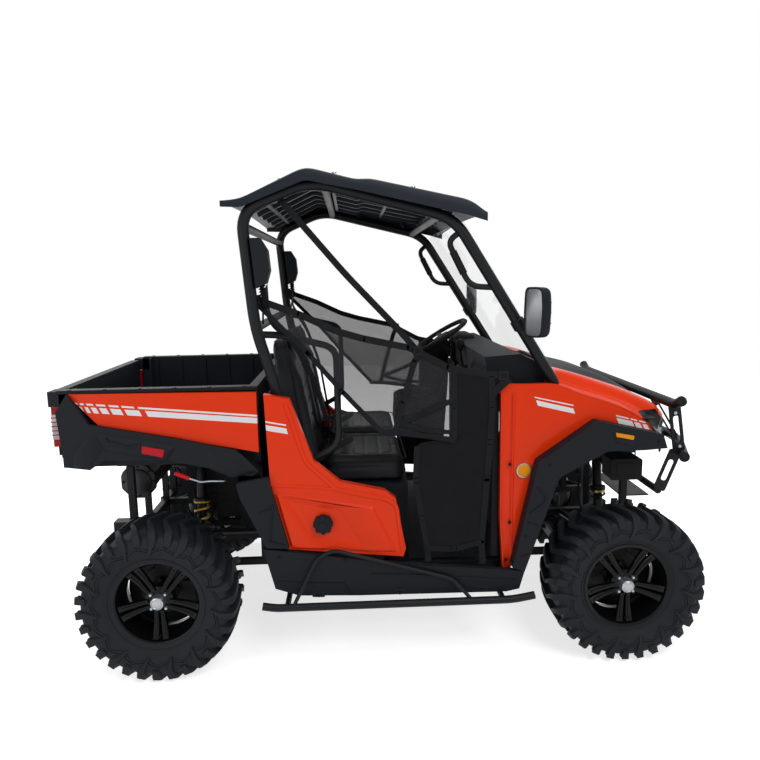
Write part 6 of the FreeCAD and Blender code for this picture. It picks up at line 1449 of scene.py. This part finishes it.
def panel_relief():
    orange = [relief([(-0.488, 0.770), (-0.078, 0.696), (0.016, 0.492), (-0.428, 0.524)],
                     -0.6590, -0.6700, 0.012,
                     [(-0.425, 0.724), (-0.228, 0.682), (-0.152, 0.553), (-0.334, 0.568)])]
    orange.append(ridge(rounded([(-0.428, 1.135), (-0.356, 0.892), (-0.232, 0.772), (-0.030, 0.727),
                                 (0.012, 0.700), (0.034, 0.500)], 0.03), -0.660, 0.016, 0.0055))
    orange.append(ridge([(-0.500, 0.800), (-0.318, 0.786), (-0.215, 0.772)], -0.660, 0.011, 0.0045))
    orange.append(ridge([(0.500, 1.150), (0.496, 0.62), (0.500, 0.430)], -0.6395, 0.006, 0.002))
    build("panel_relief", both(orange), "orange")
    dark = [ridge([(0.589, 0.766), (0.625, 0.729), (0.619, 0.703), (0.559, 0.656)], -0.700),
            ridge([(0.554, 0.617), (0.607, 0.597)], -0.700),
            ridge([(0.524, 0.469), (0.562, 0.480)], -0.700),
            relief([(0.886, 1.000), (1.002, 0.975), (0.974, 0.930), (0.906, 0.946)],
                   -0.699, -0.7035, 0.004, None, 0.005),
            ridge([(-0.492, 0.724), (-0.512, 0.568), (-0.449, 0.547)], -0.684),
            ridge([(-0.553, 0.689), (-0.505, 0.705)], -0.684),
            ridge([(-0.486, 0.394), (-0.330, 0.380), (-0.214, 0.376), (-0.182, 0.326)], -0.686),
            ridge([(-0.100, 0.412), (0.057, 0.404), (0.300, 0.383), (0.503, 0.364)], -0.686)]
    for x in (-0.319, 0.018, 0.364):
        dark.append(relief([(x - 0.026, 0.344), (x + 0.026, 0.342), (x + 0.026, 0.318),
                            (x - 0.026, 0.320)], -0.685, -0.6895, 0.004, None, 0.005))
    build("trim_relief", both(dark), "charcoal")
    folds = [relief([(-1.202, 1.040), (-1.150, 1.028), (-0.868, 0.972), (-0.912, 0.908), (-1.005, 0.925),
                     (-1.162, 0.958)], -0.645, -0.658, 0.014, None, 0.006),
             relief([(-1.208, 1.034), (-1.168, 0.955), (-1.214, 0.896), (-1.290, 0.890), (-1.282, 0.960)],
                    -0.645, -0.655, 0.014, None, 0.006),
             relief([(-0.752, 0.950), (-0.616, 0.930), (-0.545, 0.852), (-0.660, 0.832), (-0.746, 0.872)],
                    -0.645, -0.653, 0.014, None, 0.006),
             ridge([(-1.146, 1.014), (-1.135, 0.996), (-1.050, 0.972), (-1.010, 0.988)], -0.658)]
    build("bed_trim_relief", both(folds), "charcoal", "bed")
    bolts = [bolt(x, -0.690, z) for x, z in ((-0.319, 0.331), (0.018, 0.330), (0.364, 0.330))]
    bolts += [bolt(x, -0.687, z, 0.006) for x, z in ((-0.207, 0.478), (0.49, 0.440), (-0.478, 0.50))]
    bolts += [bolt(x, -0.641, z, 0.006) for x, z in ((0.487, 0.852), (0.489, 0.600), (0.474, 0.435))]
    bolts += [bolt(x, -0.701, z, 0.006) for x, z in ((1.085, 0.945), (0.640, 0.860), (0.545, 0.560))]
    build("panel_bolts", both(bolts), "frame_black")
    lens = [relief([(0.904, 0.990), (0.981, 0.975), (0.978, 0.957), (0.906, 0.972)],
                   -0.7030, -0.7075, 0.0015, None, 0.003),
            turned([(0, -0.0075), (0.018, -0.0070), (0.027, -0.0045), (0.028, 0.0), (0, 0.0)], 40,
                   (0.545, -0.6415, 0.825))]
    build("amber_lenses", both(lens), amber)
    bezel = [turned([(0.0275, -0.006), (0.031, -0.0055), (0.033, -0.001), (0.033, 0.002),
                     (0.0275, 0.002)], 40, (0.545, -0.641, 0.825))]
    build("amber_bezels", both(bezel), "alloy")
    red = [relief([(-1.006, 0.978), (-0.917, 0.959), (-0.926, 0.927), (-1.011, 0.947)], -0.6575, -0.6620,
                  0.002, None, 0.003)]
    build("red_reflectors", both(red), red_lens, "bed")


CAP_X, CAP_Z = -0.292, 0.630
CAN_X, CAN_Z = -1.172, 0.700
GAUGE = (0.3965, 0.375, 1.235)


def fuel_cap():
    """A cap with eight scallops round a dished face."""
    turn = np.linspace(0, math.tau, 96, endpoint=False)
    lobes = 0.5 + 0.5 * np.cos(turn * 8)
    rings = []
    for radius, depth, bite in ((0.036, -0.660, 0.0), (0.040, -0.6635, 0.15), (0.0415, -0.668, 1.0),
                                (0.041, -0.684, 1.0), (0.038, -0.6875, 0.9), (0.031, -0.6885, 0.3),
                                (0.029, -0.6865, 0.0), (0.016, -0.6858, 0.0), (0.0145, -0.6885, 0.0),
                                (0.004, -0.689, 0.0)):
        own = radius - 0.0075 * bite * (1 - lobes ** 0.6)
        rings.append(np.stack([CAP_X + own * np.cos(turn), np.full(96, depth),
                               CAP_Z + own * np.sin(turn)], axis=1))
    faces = grid_faces(len(rings), 96, wrap_columns=True) + end_caps(96, 960)
    build("fuel_cap_scalloped", [(np.concatenate(rings), faces)], "charcoal", hides=["fuel_cap"])
    neck = [turned([(0.030, -0.6615), (0.0345, -0.6630), (0.0355, -0.6600), (0.0355, -0.6590),
                    (0.030, -0.6590)], 48, (CAP_X, 0.0, CAP_Z))]
    build("fuel_neck", neck, "frame_black")


def turned_about(shape, centre, angle):
    """A shape turned about an upright axis through a place."""
    places, faces = shape
    x, y, z = places.T
    cosine, sine = math.cos(angle), math.sin(angle)
    return np.stack([centre[0] + cosine * x - sine * y, centre[1] + sine * x + cosine * y, centre[2] + z],
                    axis=1), faces


def mirrors():
    """Each housing is turned outwards a little, so that its glass looks back and aside."""
    angle = math.radians(-73)
    centre = (0.566, -0.726, 1.482)
    outline = [(-0.066, -0.098), (0.058, -0.094), (0.068, 0.020), (0.060, 0.098), (-0.060, 0.100),
               (-0.068, 0.0)]
    housing = turned_about(slab(outline, -0.012, 0.030, 0.022, 0.030, "Y", steps=7), centre, angle)
    rim = turned_about(framed(outline, [(x * 0.90, z * 0.93) for x, z in outline], -0.018, -0.010, 72,
                              0.030, 0.026), centre, angle)
    pane = slab([(x * 0.91, z * 0.94) for x, z in outline], -0.011, -0.0145, 0.001, 0.026)
    glass = turned_about(pane, centre, angle)
    arm = tube(rounded([(0.528, -0.592, 1.430), (0.545, -0.630, 1.436), (0.566, -0.690, 1.455),
                        (0.576, -0.705, 1.470)], 0.02), 0.011, 16, aside=(0, 0, 1))
    clamp = tube([lerp(A_BASE, A_TOP, share) for share in (0.355, 0.360, 0.405, 0.410)],
                 [0.024, 0.029, 0.029, 0.024], 24)
    ribs = [block((-0.05, 0.030, level - 0.002), (0.05, 0.0325, level + 0.002), 0.001, 0.001, "Y")
            for level in (-0.04, 0.0, 0.04)]
    ribs = [turned_about(rib, centre, angle) for rib in ribs]
    build("mirror_housings", both([housing, rim, arm, clamp] + ribs), "charcoal", hides=["mirrors"])
    build("mirror_glass", both([glass]), powder_coat("mirror_glass", (0.55, 0.56, 0.58), rough=0.30,
                                                     metal=0.7))


def rear_fittings():
    grip = tube([(-0.899, -0.600, 0.8455), (-0.896, -0.600, 0.844), (-0.843, -0.600, 0.821),
                 (-0.840, -0.600, 0.820)], [0.005, 0.009, 0.009, 0.006], 18)
    build("latch_grip", [grip], red_grip)
    rod = tube(rounded([(-0.845, -0.600, 0.822), (-0.794, -0.600, 0.803), (-0.770, -0.600, 0.806),
                        (-0.698, -0.580, 0.800), (-0.690, -0.50, 0.800)], 0.012), 0.0045, 10)
    build("latch_rod", [rod], "alloy")
    eight = [(CAN_X + 0.088 * math.cos(math.tau * (k + 0.5) / 8),
              CAN_Z + 0.088 * math.sin(math.tau * (k + 0.5) / 8)) for k in range(8)]
    cans = [slab(eight, -0.2155, -0.2255, 0.004, 0.012, "Y"),
            turned([(0, -0.010), (0.052, -0.010), (0.060, -0.004), (0.062, 0.004), (0, 0.004)], 40,
                   (CAN_X, -0.2255, CAN_Z)),
            slab(eight, 0.2805, 0.2905, 0.004, 0.012, "Y"),
            tube(rounded([(CAN_X, 0.290, CAN_Z), (CAN_X, 0.345, CAN_Z), (-1.230, 0.372, 0.692),
                          (-1.262, 0.375, 0.688)], 0.03), 0.021, 24, aside=(0, 0, 1))]
    for y in (-0.14, 0.0, 0.14):
        cans.append(turned([(0.0765, -0.009), (0.0795, -0.006), (0.0795, 0.006), (0.0765, 0.009)], 48,
                           (CAN_X, y, 0.712)))
    build("muffler_ends", cans, "exhaust")
    can_bolts = [bolt(CAN_X + 0.070 * math.cos(k * math.tau / 8), -0.227,
                      CAN_Z + 0.070 * math.sin(k * math.tau / 8), 0.005) for k in range(8)]
    build("muffler_bolts", can_bolts, "cast")
    glow = [block((-1.3915, -0.5705, 0.992), (-1.356, -0.520, 1.098), 0.003, 0.006, "X")]
    build("tail_lenses", both(glow), clear_sheet("pale_lens", (0.80, 0.80, 0.82), 0.62), "bed")
    lines = [block((-1.3935, -0.5725, level - 0.002), (-1.356, -0.518, level + 0.002), 0.001, 0.002, "X")
             for level in (1.012, 1.030, 1.048, 1.066, 1.084)]
    build("tail_bars", both(lines), red_lens, "bed")


def cab_fittings():
    knob = turned([(0, 1.2600), (0.012, 1.2600), (0.016, 1.272), (0.022, 1.290), (0.0215, 1.304),
                   (0.014, 1.3135), (0, 1.3150)], 28, (0.384, 0.0, 0.0), "Z")
    stick = tube(rounded([(0.384, 0.0, 1.262), (0.390, 0.0, 1.200), (0.420, 0.0, 1.140)], 0.03), 0.0065, 12)
    boot = turned([(0, 1.085), (0.045, 1.085), (0.040, 1.100), (0.033, 1.104), (0.034, 1.112),
                   (0.026, 1.118), (0.027, 1.127), (0.018, 1.134), (0.016, 1.150), (0, 1.152)], 28,
                  (0.418, 0.0, 0.0), "Z")
    pad = slab([(0.527, 1.213), (0.595, 1.249), (0.632, 1.223), (0.611, 1.190), (0.553, 1.168)], -0.40,
               -0.50, 0.006, 0.010, "Y")
    pods = [block((0.395, 0.235, 1.272), (0.505, 0.515, 1.315), 0.015, 0.030),
            tube(rounded([(0.396, -0.470, 1.190), (0.350, -0.470, 1.195), (0.350, -0.130, 1.195),
                          (0.396, -0.130, 1.190)], 0.03), 0.013, 18, aside=(0, 0, 1))]
    build("dash_fittings", [knob, stick, boot, pad] + pods, "grip")
    face = turned([(0, -0.004), (0.044, -0.004), (0.049, -0.010), (0.053, -0.008), (0.054, 0.004),
                   (0, 0.004)], 44, GAUGE, "X")
    build("gauge_rim", [face], "frame_black")
    glass = turned([(0, -0.0055), (0.043, -0.0048), (0.0435, -0.003), (0, -0.003)], 44, GAUGE, "X")
    build("gauge_face", [glass], gloss_paint("gauge_dial", linear(50, 62, 72)))
    marks = []
    for k in range(13):
        turn = math.radians(-120 + 20 * k)
        y, z = GAUGE[1] + 0.034 * math.sin(turn), GAUGE[2] + 0.034 * math.cos(turn)
        marks.append(block((0.3895, y - 0.0012, z - 0.0035), (0.3908, y + 0.0012, z + 0.0035), 0.0003,
                           0.0003, "X"))
    marks.append(tube([(0.3895, 0.375, 1.235), (0.3895, 0.352, 1.258)], 0.0012, 8, aside=(0, 0, 1)))
    build("gauge_marks", marks, powder_coat("mark_white", linear(220, 220, 222)))
    lids = [relief_x([(-0.50, 1.165), (-0.14, 1.165), (-0.15, 1.060), (-0.49, 1.060)], 0.398, 0.392),
            relief_x([(0.50, 1.165), (0.25, 1.165), (0.26, 1.080), (0.49, 1.080)], 0.398, 0.392)]
    build("dash_lids", lids, "charcoal")
    dot = turned([(0, 1.3150), (0.0065, 1.3148), (0.0065, 1.3165), (0, 1.3172)], 16, (0.384, 0.0, 0.0), "Z")
    build("knob_dot", [dot], red_grip)
    box = [block((0.950, -0.555, 0.742), (1.086, -0.440, 0.835), 0.006, 0.010, "Y"),
           block((0.965, -0.440, 0.775), (1.060, -0.330, 0.781), 0.001),
           relief([(0.970, 0.820), (1.048, 0.820), (1.048, 0.755), (0.970, 0.755)], -0.554, -0.5575,
                  0.002, None, 0.004)]
    build("arch_box", box, "grip")
    cells = []
    for row in range(4):
        for column in range(3):
            x, z = 1.062 + column * 0.024, 0.765 + row * 0.024
            cells.append(framed(oblong(x, z, 0.012, 0.012), oblong(x, z, 0.0075, 0.0075), -0.402, -0.399,
                                32, 0.0002, 0.007))
    build("perforated_plate", both(cells), "frame_black")
    cover = [turned([(0, 0.0), (0.118, 0.0), (0.122, 0.006), (0.122, 0.030), (0.112, 0.040),
                     (0.060, 0.044), (0.055, 0.036), (0, 0.036)], 56, (-0.640, 0.150, 0.615)),
             turned([(0, 0.0), (0.095, 0.0), (0.098, 0.006), (0.098, 0.026), (0.088, 0.034), (0, 0.036)],
                    48, (-0.755, 0.150, 0.640))]
    for k in range(7):
        cover.append(block((-0.825 + k * 0.020, -0.156, 0.640), (-0.815 + k * 0.020, -0.1495, 0.780),
                           0.001, 0.002, "Y"))
    cover.append(turned([(0, 0.0), (0.070, 0.0), (0.072, -0.006), (0.066, -0.022), (0.030, -0.026),
                         (0, -0.026)], 40, (-0.620, -0.150, 0.590)))
    build("engine_covers", cover, "cast")
    hose = [tube(rounded([(-0.700, 0.0, 0.788), (-0.700, 0.02, 0.815), (-0.640, 0.06, 0.830),
                          (-0.560, 0.16, 0.830), (-0.545, 0.22, 0.800)], 0.03), 0.022, 20),
            tube(rounded([(-0.830, -0.05, 0.690), (-0.900, -0.06, 0.690), (-0.960, 0.02, 0.700),
                          (-1.097, 0.05, 0.712)], 0.06), 0.019, 18)]
    build("engine_hoses", hose, "exhaust")


panel_relief()
fuel_cap()
mirrors()
rear_fittings()
cab_fittings()
print("fittings:", sum(made_pieces.values()), "faces in", len(made_pieces), "pieces")

# %% [markdown]
# ## Corners of the bed, the cowl and the dark mass round the engine
# The last pieces close what would otherwise look hollow: posts at the bed's rear corners, a cowl under
# the windshield with its air slots, and the boxes, shields and guards round the engine.

# %% Corners and boxes
def bed_corners():
    posts = [block((-1.348, -0.598, 0.880), (-1.296, -0.513, 1.196), 0.003, 0.006),
             block((-1.388, -0.598, 1.134), (-1.300, -0.513, 1.196), 0.003, 0.006)]
    loops = []
    for x in (-1.18, -0.95, -0.72):
        outer = [(x - 0.045, 1.120), (x + 0.045, 1.120), (x + 0.040, 1.168), (x - 0.040, 1.168)]
        inner = [(x - 0.034, 1.130), (x + 0.034, 1.130), (x + 0.030, 1.158), (x - 0.030, 1.158)]
        loops.append(framed(outer, inner, -0.584, -0.5795, 56, 0.008, 0.006))
    build("bed_corner_posts", both(posts + loops), "charcoal", "bed")
    caps = []
    for x in np.linspace(-1.30, -0.60, 6):
        caps.append(turned([(0, 0), (0.0085, 0), (0.0075, 0.003), (0, 0.0035)], 16,
                           (float(x), -0.592, 1.2), "Z"))
    build("bed_rail_bolts", both(caps), "frame_black", "bed")


def cowl():
    x = np.array([0.672, 0.684, 0.712, 0.737, 0.7475])
    z = np.array([1.196, 1.221, 1.2235, 1.216, 1.196])
    y = np.linspace(-0.512, 0.512, 80)
    slotted = (np.abs(y) > 0.08) * (np.abs(y) < 0.44)
    slots = 0.0035 * slotted * (0.5 + 0.5 * np.cos(y * math.tau / 0.030)) ** 4
    press = np.array([0, 0, 1, 0, 0])
    grid = np.stack([np.broadcast_to(x[:, None], (5, 80)), np.broadcast_to(y, (5, 80)),
                     z[:, None] - slots[None] * press[:, None]], axis=-1)
    knuckles = []
    for start in (-0.2097, 0.1903):
        knuckles.append(tube([(0.7422, start, 1.224), (0.7422, start + 0.0194, 1.224)], 0.0058, 16,
                             aside=(0, 0, 1)))
        knuckles.append(block((0.728, start, 1.212), (0.7422, start + 0.0194, 1.2235), 0.0006, 0.0006))
    build("cowl_slotted", [closed_between(grid, grid - (0, 0, 0.018))] + knuckles, "charcoal",
          hides=["cowl_panel"], soft=50)


def engine_bay():
    boxes = [block((-0.935, -0.272, 0.600), (-0.700, -0.165, 0.826), 0.010, 0.020, "Y"),
             block((-0.690, -0.300, 0.500), (-0.560, -0.170, 0.690), 0.008, 0.015, "Y"),
             block((-0.930, 0.165, 0.560), (-0.700, 0.262, 0.800), 0.010, 0.020, "Y"),
             block((-0.552, -0.54, 0.44), (-0.546, 0.54, 0.86), 0.001, 0.010, "X")]
    for level in (0.64, 0.68, 0.72, 0.76, 0.80):
        low, high = (-0.925, -0.2745, level - 0.004), (-0.71, -0.271, level + 0.004)
        boxes.append(block(low, high, 0.001, 0.002, "Y"))
    boxes.append(tube(rounded([(-0.76, -0.22, 0.828), (-0.76, -0.24, 0.845), (-0.68, -0.30, 0.840),
                               (-0.60, -0.30, 0.80), (-0.565, -0.30, 0.72)], 0.03), 0.020, 20))
    build("engine_boxes", boxes, "grip")
    lines = []
    for x, way in ((0.975, 1), (-0.975, -1)):
        outer = [(x - 0.080, -0.462, 0.482)]
        if x < 0:
            outer = [(x - 0.055 * way, -0.535, 0.372), (x - 0.075 * way, -0.500, 0.440)]
        run = outer + [(x - 0.085 * way, -0.420, 0.520), (x - 0.095 * way, -0.335, 0.600),
                       (x - 0.075 * way, -0.300, 0.680)]
        lines.append(tube(rounded(run, 0.04), 0.0048, 10))
    build("brake_lines", both(lines), "grip")


def radiator():
    """A core of fins between two tanks, and a guard of thin bars before it."""
    core = [block((1.128, -0.150, 0.645), (1.150, 0.150, 0.655), 0.001),
            block((1.128, -0.150, 0.865), (1.150, 0.150, 0.878), 0.001),
            block((1.127, -0.155, 0.642), (1.171, -0.128, 0.879), 0.004, 0.008),
            block((1.127, 0.128, 0.642), (1.171, 0.155, 0.879), 0.004, 0.008)]
    for y in np.linspace(-0.122, 0.122, 41):
        core.append(block((1.130, y - 0.0009, 0.652), (1.146, y + 0.0009, 0.870), 0.0002, 0.0002))
    for level in np.linspace(0.662, 0.860, 12):
        core.append(tube([(1.158, -0.135, level), (1.158, 0.135, level)], 0.0022, 8, aside=(0, 0, 1)))
    core.append(block((1.124, -0.13, 0.650), (1.129, 0.13, 0.872), 0.001))
    build("radiator_core", core, "grip", hides=["radiator"])


def gate_handle():
    plate = relief_x([(-0.085, 1.085), (0.085, 1.085), (0.085, 1.150), (-0.085, 1.150)], -1.3945, -1.3985)
    paddle = slab([(-0.060, 1.100), (0.060, 1.100), (0.052, 1.138), (-0.052, 1.138)], -1.3980, -1.3998,
                  0.0008, 0.008, "X")
    build("gate_latch", [plate, paddle], "frame_black", "tailgate")


def sill_fillers():
    shapes = [block((-0.520, -0.650, 0.462), (-0.040, -0.585, 0.535), 0.004, 0.01),
              block((0.415, -0.610, 0.44), (0.448, -0.560, 1.15), 0.003, 0.008)]
    build("sill_fillers", both(shapes), "grip")


radiator()
gate_handle()
sill_fillers()
bed_corners()
cowl()
engine_bay()
